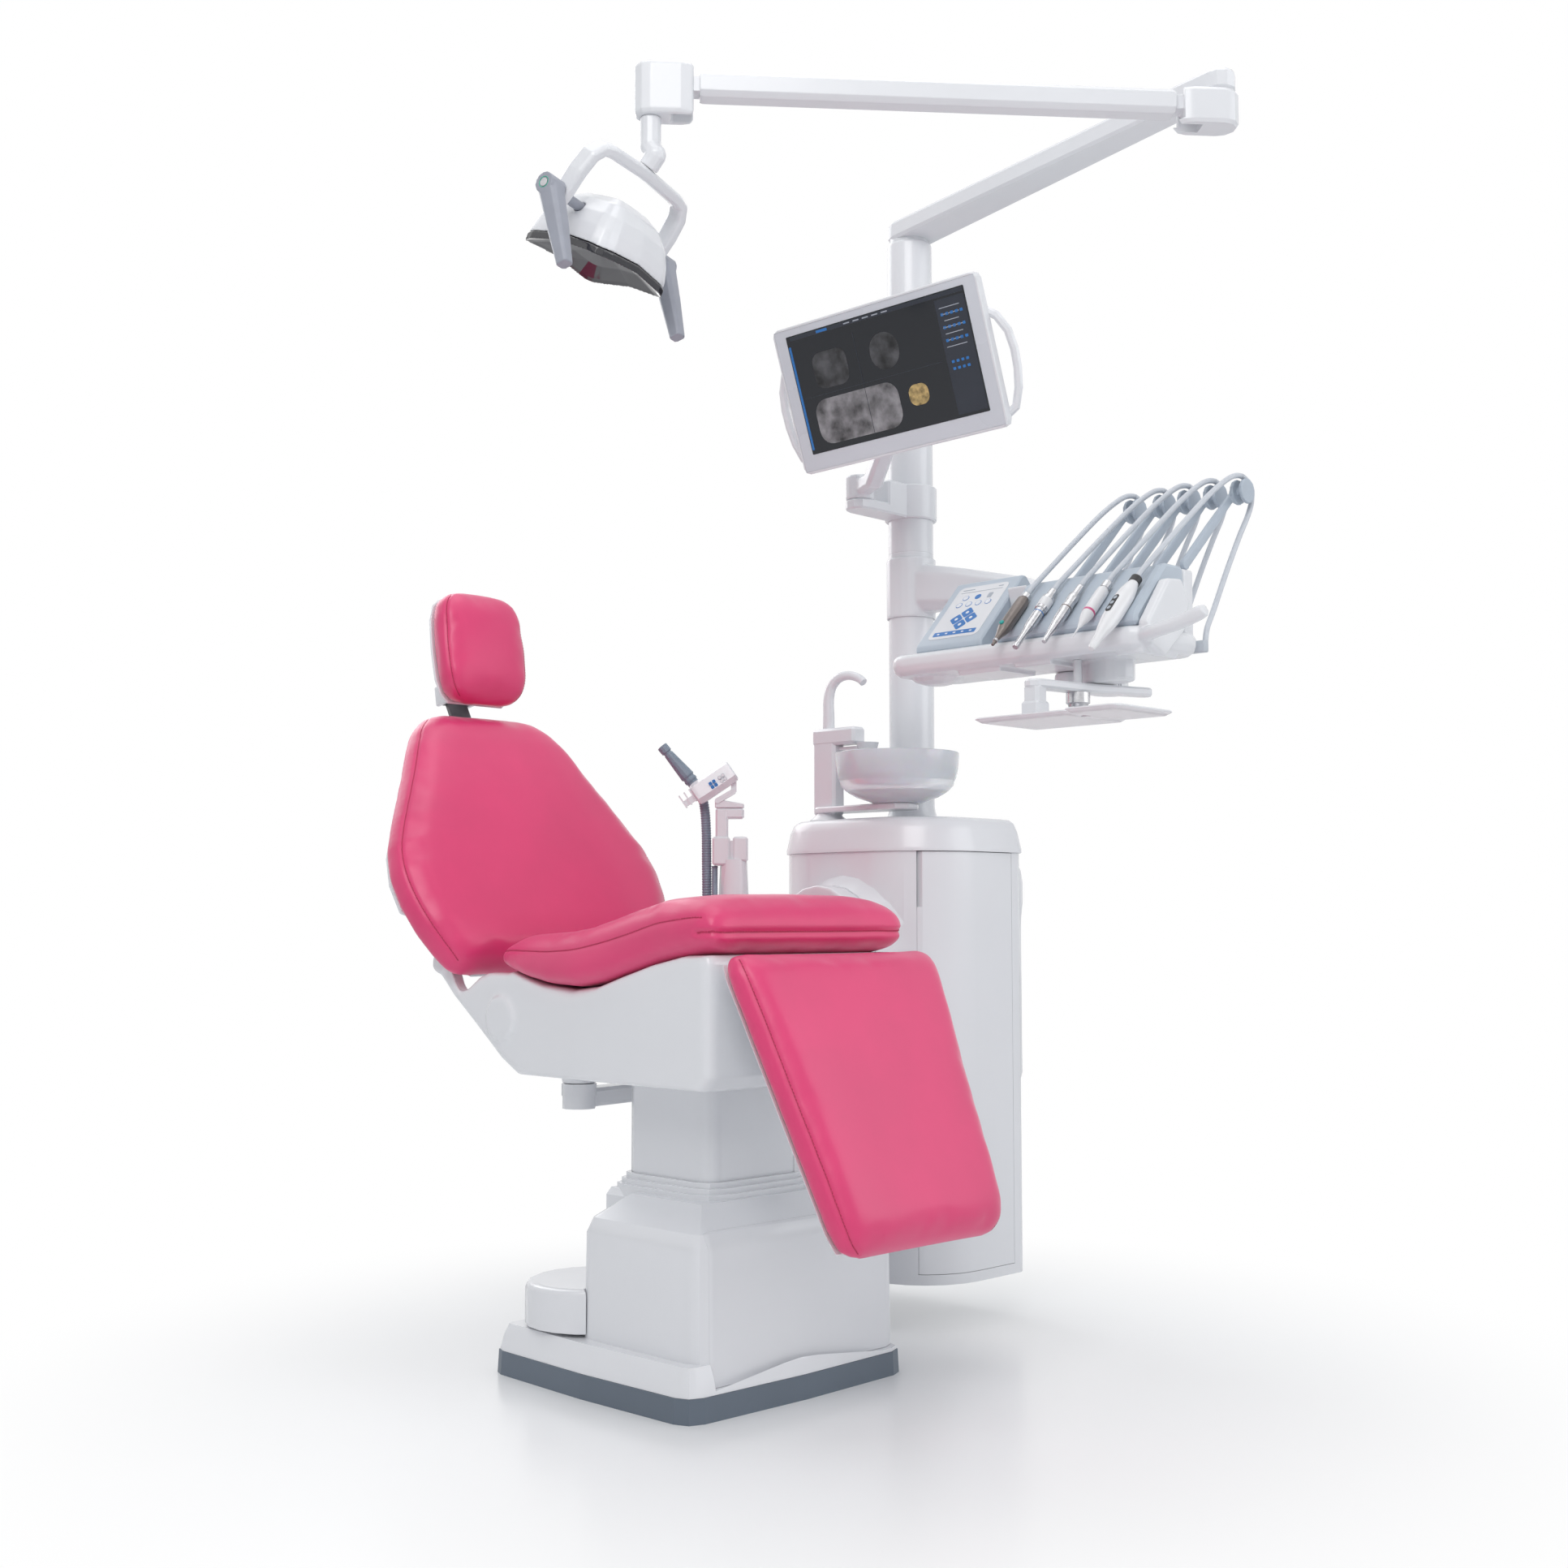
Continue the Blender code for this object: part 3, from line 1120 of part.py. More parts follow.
def make_headrest():
    holder = frame("headrest_frame", (0, HEAD_BACK_Y, HEAD_CENTRE_Z), (pi / 2 - HEAD_TILT, 0, 0))
    stations = [(HEAD_HEIGHT * (along - 0.5), HEAD_WIDTH / 2 * width, HEAD_THICKNESS * low,
                 HEAD_THICKNESS * high)
                for along, width, low, high in HEAD_STATIONS]
    cushion("headrest_cushion", stations, PINK, holder)
    outer = HEAD_STATIONS[1:-1]
    right = [(HEAD_WIDTH / 2 * width - HEAD_SHELL_MARGIN, HEAD_HEIGHT * (along - 0.5)) for along, width, _,
             _ in outer]
    outline = right + [(-x, y) for x, y in reversed(right)]
    rings = [[(x * 0.86, y * 0.86, -GAP - HEAD_SHELL_THICKNESS) for x, y in outline],
             [(x, y, -GAP - HEAD_SHELL_THICKNESS * 0.5) for x, y in outline],
             [(x, y, -GAP) for x, y in outline]]
    shell = skin("headrest_shell", rings, WHITE, holder)
    eye_y, eye_z = bar_eye_place()
    back_y = eye_y - HEAD_BACK_Y
    back_z = eye_z - HEAD_CENTRE_Z
    local_up = back_y * sin(HEAD_TILT) + back_z * cos(HEAD_TILT)
    local_out = -back_y * cos(HEAD_TILT) + back_z * sin(HEAD_TILT)
    cheek = HEAD_KNUCKLE_RADIUS
    for side in (-1, 1):
        near = side * (HEAD_KNUCKLE_WIDTH / 2 + GAP)
        far = side * (HEAD_KNUCKLE_WIDTH / 2 + SHELL_THICKNESS)
        low_x = min(near, far)
        high_x = max(near, far)
        join(shell, box("head_cheek", (low_x, local_up - cheek, local_out - cheek),
                        (high_x, local_up + cheek * 2.2, -GAP - HEAD_SHELL_THICKNESS / 2), WHITE, holder))
    return shell


# Leg rest outline: shares of its length, then half width between top and bottom, and thickness
LEG_STATIONS = (
    (0.000, 0.93, 0.20, 0.55), (0.022, 0.975, 0.04, 0.82), (0.070, 1.00, 0.0, 0.96),
    (0.250, 1.00, 0.0, 1.00),
    (0.500, 1.00, 0.0, 1.00), (0.750, 1.00, 0.0, 1.00), (0.900, 1.00, 0.0, 0.97),
    (0.965, 0.965, 0.02, 0.86),
    (1.000, 0.86, 0.18, 0.55))


def make_leg_rest():
    fall = atan2(LEG_TOP_Z - LEG_BOTTOM_Z, LEG_TOP_Y - LEG_BOTTOM_Y)
    pivot = frame("knee_pivot", (0, *leg_place(-LEG_PIVOT_DOWN, LEG_PIVOT_IN)), (fall, 0, 0))
    holder = frame("leg_frame", (0, LEG_PIVOT_DOWN, -LEG_PIVOT_IN), parent=pivot)
    length = hypot(LEG_BOTTOM_Y - LEG_TOP_Y, LEG_BOTTOM_Z - LEG_TOP_Z)
    stations = []
    for along, width, low, high in LEG_STATIONS:
        half = between(LEG_TOP_HALF_WIDTH, LEG_BOTTOM_HALF_WIDTH, along) * width
        stations.append((-length * along, half, LEG_THICKNESS * low, LEG_THICKNESS * high))
    cushion("legrest_cushion", stations, PINK, holder)
    right = []
    for along, width, _, _ in LEG_STATIONS[1:-1]:
        half = between(LEG_TOP_HALF_WIDTH, LEG_BOTTOM_HALF_WIDTH, along) * width
        right.append((half - LEG_FRAME_MARGIN, -length * along))
    outline = right + [(-x, y) for x, y in reversed(right)]
    rings = [[(x * 0.93, y, -GAP - LEG_FRAME_THICKNESS) for x, y in outline],
             [(x, y, -GAP) for x, y in outline]]
    panel = skin("legrest_frame", rings, WHITE, holder)
    return panel


def capsule(start, end, start_radius, end_radius, inset=0.0, steps=PLATE_STEPS):
    """Outline of a flat bar with round ends, anticlockwise, seen from above."""
    turn = atan2(end[1] - start[1], end[0] - start[0])
    points = []
    for (x, y), radius, first in ((end, end_radius, -pi / 2), (start, start_radius, pi / 2)):
        for k in range(steps + 1):
            angle = turn + first + pi * k / steps
            points.append((x + (radius - inset) * cos(angle), y + (radius - inset) * sin(angle)))
    return points


def flat_bar(name, start, end, start_radius, end_radius, low, high, look, holder=None, edge=0.0):
    """A flat bar with round ends between two heights, with an optional rounded edge."""
    levels = ((low, 0.0), (high, 0.0))
    if edge:
        levels = ((low, edge * 0.7), (low + edge, 0.0), (high - edge, 0.0), (high, edge * 0.7))

    def plan(inset):
        return capsule(start, end, start_radius, end_radius, inset)

    return stack(name, plan, levels, look, holder)


# Corners of a rounded bar section: shares of the half width and the half height
BAR_SECTION_SHARES = (
    (1.0, -0.62), (1.0, 0.62), (0.62, 1.0), (-0.62, 1.0),
    (-1.0, 0.62), (-1.0, -0.62), (-0.62, -1.0), (0.62, -1.0))


def swept(name, stations, side, look, holder=None):
    """A rounded bar: each station is (centre, half width along side, half height across it)."""
    side = Vector(side).normalized()
    centres = [Vector(centre) for centre, _, _ in stations]
    rings = []
    for i, (_, half_width, half_height) in enumerate(stations):
        before = centres[max(i - 1, 0)]
        after = centres[min(i + 1, len(centres) - 1)]
        rise = side.cross(after - before).normalized()
        rings.append([centres[i] + side * half_width * across + rise * half_height * up
                      for across, up in BAR_SECTION_SHARES])
    return skin(name, rings, look, holder)


def prism(name, outline, low, high, look, holder=None, bevel=0.0):
    """An outline of (x, z) points drawn out along Y, with optional rounded edges."""
    made = skin(name, [[(x, low, z) for x, z in outline], [(x, high, z) for x, z in outline]], look, holder)
    if bevel:
        modifier = made.modifiers.new("edges", "BEVEL")
        modifier.width = bevel
        modifier.segments = 1
    return made


def make_assistant():
    station = frame("assistant_frame", (ARM_END_X, ARM_END_Y, 0), (0, 0, ASSISTANT_YAW))
    hub = (HUB_X, HUB_Y)
    arm = turned("assistant_arm", ((0, HUB_PLATE_BOTTOM - GAP), (HUB_RADIUS, HUB_PLATE_BOTTOM - GAP),
                                   (HUB_RADIUS, HUB_TIER), (HUB_RADIUS * 0.94, HUB_TIER),
                                   (HUB_RADIUS * 0.94, HUB_BOTTOM), (0, HUB_BOTTOM)), (*hub, 0), WHITE)
    bar = flat_bar("arm_bar", hub, (ARM_END_X, ARM_END_Y), ARM_HALF_WIDTH, ARM_HALF_WIDTH,
                   ARM_MID_Z - ARM_HALF_HEIGHT, ARM_MID_Z + ARM_HALF_HEIGHT, WHITE, edge=ARM_EDGE)
    upright = turned("upright", ((0, CHEEK_BOTTOM + OVERRUN), (UPRIGHT_TOP_RADIUS, CHEEK_BOTTOM + OVERRUN),
                                 (UPRIGHT_RADIUS, UPRIGHT_WAIST),
                                 (UPRIGHT_RADIUS, ARM_MID_Z - ARM_HALF_HEIGHT),
                                 (UPRIGHT_RADIUS * 0.7, HUB_BOTTOM), (0, HUB_BOTTOM)), (0, 0, 0), WHITE,
                                 station)
    cheek = box("left_cheek", (CHEEK_LEFT, -CHEEK_HALF_DEPTH, CHEEK_BOTTOM),
                (CHEEK_SLOT_LEFT, CHEEK_HALF_DEPTH, CHEEK_TOP), WHITE, station, CHEEK_EDGE)
    far_cheek = box("right_cheek", (CHEEK_SLOT_RIGHT, -CHEEK_HALF_DEPTH, CHEEK_BOTTOM + CHEEK_STEP),
                    (CHEEK_RIGHT, CHEEK_HALF_DEPTH, CHEEK_TOP), WHITE, station, CHEEK_EDGE)
    web = box("cheek_web", (CHEEK_LEFT + CHEEK_EDGE, -CHEEK_WEB_HALF_DEPTH, CHEEK_BOTTOM + CHEEK_STEP),
              (CHEEK_RIGHT - CHEEK_EDGE, CHEEK_WEB_HALF_DEPTH, CHEEK_TOP - CHEEK_STEP), WHITE, station)
    join(arm, bar, upright, cheek, far_cheek, web)
    post = box("assistant_post", (NECK_LEFT, -NECK_HALF_DEPTH, NECK_BOTTOM),
               (NECK_RIGHT, NECK_HALF_DEPTH, NECK_TOP), WHITE, station, CHEEK_EDGE)
    join(post, box("neck_ledge", (NECK_LEFT + CHEEK_EDGE, -NECK_HALF_DEPTH * 0.96, LEDGE_BOTTOM),
                   (CAP_RIGHT, NECK_HALF_DEPTH * 0.96, NECK_TOP), WHITE, station, CHEEK_EDGE))
    low = (NECK_LEFT - GAP, -NECK_HALF_DEPTH - GAP, NECK_BOTTOM - GAP)
    high = (NECK_RIGHT + GAP, NECK_HALF_DEPTH + GAP, NECK_TOP)
    cut(arm, box("neck_socket", low, high, WHITE, station))

    cap_low = NECK_TOP + GAP
    head = prism("holder_head", ((CAP_LEFT, cap_low), (CAP_RIGHT, cap_low), (CAP_RIGHT, CAP_RIGHT_TOP),
                                 (CAP_LEFT + CAP_EDGE, CAP_LEFT_TOP), (CAP_LEFT, CAP_LEFT_TOP - CAP_EDGE)),
                 -NECK_HALF_DEPTH, NECK_HALF_DEPTH, WHITE, station, GAP * 6)
    tilted = frame("holder_frame", (HOLDER_X, HOLDER_Y, HOLDER_Z), (0, -HOLDER_ROLL, 0), parent=station)
    half = HOLDER_LENGTH / 2
    rings = []
    for along, scale in ((-half, 0.72), (-half * 0.93, 0.93), (-half * 0.75, 1.0), (half * 0.75, 1.0),
                         (half * 0.94, 0.96), (half, 0.80)):
        rings.append([(along, depth * scale, rise * scale) for depth, rise in HOLDER_SECTION])
    join(head, skin("holder_box", rings, WHITE, tilted))
    upright = frame("link_frame", (0, 0, 0), (pi / 2, 0, 0), parent=station)
    link = flat_bar("holder_link", (LINK_LOW_X, LINK_LOW_Z), (LINK_HIGH_X, LINK_HIGH_Z), LINK_RADIUS,
                    LINK_RADIUS,
                    LINK_BACK, LINK_FRONT, WHITE, upright)
    lug = box("holder_lug", (LINK_HIGH_X - LINK_RADIUS * 0.8, CHEEK_EDGE - LINK_FRONT, LINK_HIGH_Z),
              (LINK_HIGH_X + LINK_RADIUS * 1.2, -LINK_BACK - GAP, LINK_HIGH_Z + LUG_RISE), WHITE, station)
    join(head, link, lug)
    reach = CLIP_PITCH * (CLIP_COUNT - 1)
    for k in range(CLIP_COUNT):
        place = -half - CLIP_PITCH * k
        low = (place - CLIP_THICKNESS, -CLIP_HALF_DEPTH, CLIP_CENTRE - CLIP_HALF_HEIGHT)
        high = (place, CLIP_HALF_DEPTH, CLIP_CENTRE + CLIP_HALF_HEIGHT)
        join(head, box("clip_%d" % k, low, high, WHITE, tilted))
    low = (-half - reach - CLIP_THICKNESS / 2, -CLIP_HALF_DEPTH * 0.8, CLIP_CENTRE - CLIP_HALF_HEIGHT * 0.9)
    high = (-half * 0.8, CLIP_HALF_DEPTH * 0.2, CLIP_CENTRE)
    join(head, box("clip_spine", low, high, WHITE, tilted))

    grip = frame("suction_frame", (SUCTION_X, SUCTION_Y, SUCTION_Z), (0, -SUCTION_LEAN, 0), parent=station)
    profile = [(0, SUCTION_LENGTH)] + [(SUCTION_RADIUS * wide, SUCTION_LENGTH * rise) for wide,
                                       rise in SUCTION_SHARES]
    turned("suction_handpiece", profile + [(0, 0)], (0, 0, 0), SUCTION_GREY, grip)
    cut(head, cylinder("suction_seat", (0, 0, -SUCTION_LENGTH * 0.4), (0, 0, SUCTION_LENGTH),
                       SUCTION_RADIUS + RUNNING_GAP,
                       WHITE, grip))
    make_suction_hoses(station)


def ribbed(name, points, radius, rib, holder):
    """A ribbed hose: its points have unlike radii by turns, plain at both ends."""
    radii = [1.0 if i % 2 == 0 else 1.0 - rib / radius for i in range(len(points))]
    radii[1] = 1.0
    radii[-2] = 1.0
    radii[-1] = 1.0
    return solid_tube(name, points, radius, SUCTION_GREY, holder, radii=radii)


def bore(points, radius, holder):
    """The open inside of a hose, run out past both of its ends."""
    line = [points[0] + (points[0] - points[1]).normalized() * OVERRUN] + points[::4]
    line += [points[-1], points[-1] + (points[-1] - points[-2]).normalized() * OVERRUN]
    return solid_tube("hose_bore", line, radius, SUCTION_GREY, holder)


def make_suction_hoses(station):
    big = smooth_route(BIG_HOSE_ROUTE, BIG_RIB_COUNT * 2)
    small = smooth_route(SMALL_HOSE_ROUTE, SMALL_RIB_COUNT * 2)
    hoses = ribbed("suction_hoses", big, BIG_HOSE_RADIUS, BIG_RIB_DEPTH, station)
    strap = flat_bar("hose_strap", STRAP_START, STRAP_END, BIG_HOSE_RADIUS * STRAP_SHARE,
                     SMALL_HOSE_RADIUS * STRAP_SHARE,
                     STRAP_Z, STRAP_Z + STRAP_HEIGHT, SUCTION_GREY, station)
    join(hoses, ribbed("saliva_hose", small, SMALL_HOSE_RADIUS, SMALL_RIB_DEPTH, station), strap)
    cut(hoses, bore(big, BIG_HOSE_BORE, station), bore(small, SMALL_HOSE_BORE, station))


def cabinet_plan(inset):
    radii = (CAB_RIGHT_RADIUS, CAB_LEFT_RADIUS, CAB_LEFT_RADIUS, CAB_RIGHT_RADIUS)
    return rounded(CAB_LEFT, CAB_RIGHT, CAB_FRONT, CAB_REAR, radii, inset, steps=6)


def make_cabinet():
    body = stack("cabinet_body", cabinet_plan, ((CAB_BOTTOM, 0.0), (CAB_TOP, 0.0)), WHITE)
    inside = stack("cabinet_inside", lambda inset: cabinet_plan(inset + CAB_WALL),
                   ((CAB_BOTTOM + CAB_FLOOR, 0.0), (CAB_TOP - CAB_WALL, 0.0)), WHITE)
    cut(body, inside)
    flare = cylinder("flare", (CAB_LEFT + FLARE_DEPTH, FLARE_Y, FLARE_Z),
                     (CAB_LEFT - FLARE_DEPTH, FLARE_Y, FLARE_Z),
                     FLARE_RADIUS, WHITE, end_radius=HUB_DISC_RADIUS + RUNNING_GAP, steps=RING_STEPS)
    join(body, flare)
    door = stack("cabinet_door", cabinet_plan,
                 ((CAB_BOTTOM + CAB_FLOOR + DOOR_GAP, 0.0), (CAB_TOP - DOOR_GAP, 0.0)), WHITE)
    cut(door, stack("door_inside", lambda inset: cabinet_plan(inset + DOOR_THICKNESS),
                    ((CAB_BOTTOM, 0.0), (CAB_TOP + OVERRUN, 0.0)), WHITE))
    boolean(door, box("door_region", (DOOR_LEFT, CAB_FRONT - OVERRUN, CAB_BOTTOM),
                      (DOOR_RIGHT, DOOR_REACH, CAB_TOP), WHITE),
            "INTERSECT")
    cut(door, box("door_slot", (DOOR_LEFT - OVERRUN, CAB_FRONT - OVERRUN, CAB_TOP - HANDLE_SLOT_LENGTH),
                  (DOOR_LEFT + HANDLE_SLOT_WIDTH, DOOR_REACH + OVERRUN, CAB_TOP + OVERRUN), WHITE))
    cut(body, box("door_opening", (DOOR_LEFT - DOOR_GAP, CAB_FRONT - OVERRUN, CAB_BOTTOM + CAB_FLOOR),
                  (DOOR_RIGHT + DOOR_GAP, DOOR_REACH + OVERRUN, CAB_TOP + OVERRUN), WHITE))

    levels = ((CAB_TOP + GAP, -COVER_OVERHANG), (between(CAB_TOP, TOP_COVER_TOP, 0.12), -COVER_OVERHANG),
              (between(CAB_TOP, TOP_COVER_TOP, 0.62), COVER_OVERHANG * 0.6),
              (between(CAB_TOP, TOP_COVER_TOP, 0.86), COVER_OVERHANG * 2),
              (between(CAB_TOP, TOP_COVER_TOP, 0.97), COVER_OVERHANG * 4),
              (TOP_COVER_TOP, COVER_OVERHANG * 7))
    cover = stack("cabinet_top_cover", cabinet_plan, levels, WHITE)
    cut(cover, cylinder("post_socket", (POST_X, POST_Y, CAB_TOP - OVERRUN),
                        (POST_X, POST_Y, TOP_COVER_TOP + OVERRUN),
                        POST_RADIUS + GAP, WHITE, steps=RING_STEPS))

    def canister_plan(inset):
        radii = (CANISTER_RADIUS, GAP, GAP, CANISTER_RADIUS)
        low_x = CAB_RIGHT + GAP - inset
        return rounded(low_x, CAB_RIGHT + CANISTER_WIDTH, CANISTER_FRONT, CANISTER_REAR, radii, inset)

    height = CANISTER_TOP - CANISTER_BOTTOM
    shape = [(CANISTER_BOTTOM + height * rise, CANISTER_RADIUS * share) for rise, share in CANISTER_SHARES]
    stack("service_canister", canister_plan, shape, WHITE)
    make_support_arm()


def make_support_arm():
    foot = box("cabinet_support_arm", (HOUSING_RIGHT + GAP, FOOT_FRONT, PLATFORM_TOP + GAP),
               (FOOT_RIGHT, HOUSING_REAR, HOUSING_WALL_TOP), WHITE, bevel=FOOT_EDGE)
    half_height = SUPPORT_HALF_HEIGHT
    stations = [((x, y, z), SUPPORT_HALF_WIDTH * wide, half_height * tall) for x, y, z, wide,
                tall in SUPPORT_ROUTE]
    arm = swept("support_bar", stations, (0, 1, 0), WHITE)
    disc = cylinder("support_disc", (SUPPORT_RISE_X - SUPPORT_HALF_HEIGHT * 0.4, FLARE_Y, FLARE_Z),
                    (CAB_LEFT - FLARE_DEPTH - GAP, FLARE_Y, FLARE_Z), HUB_DISC_RADIUS, WHITE,
                    steps=RING_STEPS)
    return join(foot, arm, disc)


def make_cuspidor():
    foot = TOWER_FOOT_RADIUS
    rise = TOP_COVER_TOP + GAP
    tower = turned("filler_tower", ((0, TOP_COVER_TOP + TOWER_FOOT_HEIGHT),
                                    (foot * 0.56, TOP_COVER_TOP + TOWER_FOOT_HEIGHT),
                                    (foot * 0.72, TOP_COVER_TOP + TOWER_FOOT_HEIGHT * 0.5), (foot, rise),
                                    (0, rise)),
                   (TOWER_X, TOWER_Y, 0), WHITE, steps=RING_STEPS)
    half = TOWER_WIDTH / 2
    column = box("tower_column", (TOWER_X - half, TOWER_Y - TOWER_DEPTH / 2,
                                  TOP_COVER_TOP + TOWER_FOOT_HEIGHT / 2),
                 (TOWER_X + half, TOWER_Y + TOWER_DEPTH / 2, TOWER_TOP - TOWER_EDGE / 2), WHITE,
                 bevel=TOWER_EDGE)
    head = box("tower_head", (TOWER_X - half - TOWER_EDGE / 4, TOWER_Y - TOWER_HEAD_LENGTH,
                              TOWER_TOP - TOWER_HEAD_HEIGHT),
               (TOWER_X + half + TOWER_EDGE / 4, TOWER_Y + TOWER_DEPTH / 2 + TOWER_EDGE / 4, TOWER_TOP),
               WHITE,
               bevel=TOWER_EDGE)
    carrier_top = BOWL_BOTTOM_Z - GAP
    carrier = flat_bar("carrier", (TOWER_X, TOWER_Y), (BOWL_X, BOWL_Y), CARRIER_ROOT_RADIUS,
                       CARRIER_END_RADIUS,
                       carrier_top - CARRIER_THICKNESS, carrier_top, WHITE, edge=CARRIER_THICKNESS / 4)
    stand = turned("cup_stand", ((0, CUP_STAND_TOP - CUP_STAND_THICKNESS),
                                 (CUP_STAND_RADIUS * 0.8, CUP_STAND_TOP - CUP_STAND_THICKNESS),
                                 (CUP_STAND_RADIUS * 0.9, CUP_STAND_TOP), (CUP_STAND_RADIUS, CUP_STAND_TOP),
                                 (CUP_STAND_RADIUS * 0.86, CUP_STAND_TOP - CUP_STAND_THICKNESS * 2),
                                 (0, CUP_STAND_TOP - CUP_STAND_THICKNESS * 2)),
                                 (CUP_STAND_X, CUP_STAND_Y, 0), WHITE)
    stem = box("cup_stem", (CUP_STAND_X - CUP_STEM_RADIUS, CUP_STAND_Y,
                            CUP_STAND_TOP - CUP_STAND_THICKNESS * 2),
               (CUP_STAND_X + CUP_STEM_RADIUS, TOWER_Y, CUP_STAND_TOP - CUP_STAND_THICKNESS), WHITE)
    join(tower, column, head, carrier, stand, stem)

    depth = BOWL_RIM_Z - BOWL_BOTTOM_Z
    profile = [(BOWL_RADIUS * wide, BOWL_BOTTOM_Z + depth * rise) for wide, rise in BOWL_SHARES]
    turned("cuspidor_bowl", profile, (BOWL_X, BOWL_Y, 0), BOWL_WHITE, steps=BOWL_STEPS)
    route = smooth_route([(TOWER_X, TOWER_Y, TOWER_TOP + GAP), (TOWER_X, TOWER_Y, TOWER_TOP + SPOUT_NECK)]
                         + [(TOWER_X + x, TOWER_Y + y, TOWER_TOP + z) for x, y, z in SPOUT_ROUTE], 12)
    radii = [between(1.0, SPOUT_TIP_RADIUS / SPOUT_RADIUS, i / (len(route) - 1)) for i in range(len(route))]
    tube("water_spout", route, SPOUT_RADIUS, WHITE, radii=radii)


def make_post():
    bore = POST_RADIUS - POST_WALL
    foot = TOP_COVER_TOP + GAP
    turned("post", ((0, POST_TOP), (POST_RADIUS * 0.96, POST_TOP), (POST_RADIUS, POST_TOP - POST_WALL),
                    (POST_RADIUS, foot + POST_FOOT_HEIGHT), (between(POST_RADIUS, POST_FOOT_RADIUS, 0.3),
                                                             foot + POST_FOOT_HEIGHT * 0.4),
                    (POST_FOOT_RADIUS, foot), (POST_RADIUS, foot), (POST_RADIUS, CAB_TOP + GAP),
                    (bore, CAB_TOP + GAP), (bore, POST_TOP - POST_WALL), (0, POST_TOP - POST_WALL)),
           (POST_X, POST_Y, 0), WHITE, steps=RING_STEPS)


def post_collar(name, low, high, wall, *pieces):
    """A collar with its arms, bored out for the post."""
    outer = POST_RADIUS + wall
    edge = wall * 0.3
    collar = turned(name, ((0, high), (outer - edge, high), (outer, high - edge), (outer, low + edge),
                           (outer - edge, low), (0, low)), (POST_X, POST_Y, 0), WHITE, steps=RING_STEPS)
    join(collar, *pieces)
    return cut(collar, cylinder("post_bore", (POST_X, POST_Y, low - OVERRUN),
                                (POST_X, POST_Y, high + OVERRUN),
                                POST_RADIUS + RUNNING_GAP, WHITE, steps=RING_STEPS))


def make_delivery_arm():
    half = DELIVERY_ARM_WIDTH / 2
    stations = [((POST_X, y, z), half, tall) for y, z, tall in DELIVERY_ROUTE]
    bar = swept("delivery_bar", stations, (1, 0, 0), WHITE)
    reach = flat_bar("delivery_reach", (POST_X, HEAD_PIVOT_Y), (HEAD_PIVOT_X, HEAD_PIVOT_Y),
                     half + OVERRUN / 4,
                     HEAD_PIVOT_RADIUS, HEAD_ARM_BOTTOM, HEAD_ARM_TOP, WHITE, edge=COLLAR_WALL)
    return post_collar("delivery_arm", COLLAR_BOTTOM, COLLAR_TOP, COLLAR_WALL, bar, reach)


def table_plan(inset):
    radii = (TABLE_RADIUS, TABLE_RADIUS, TABLE_RADIUS, TABLE_RADIUS)
    return rounded(TABLE_FRONT, TABLE_BACK, TABLE_RIGHT, TABLE_LEFT, radii, inset, steps=5)


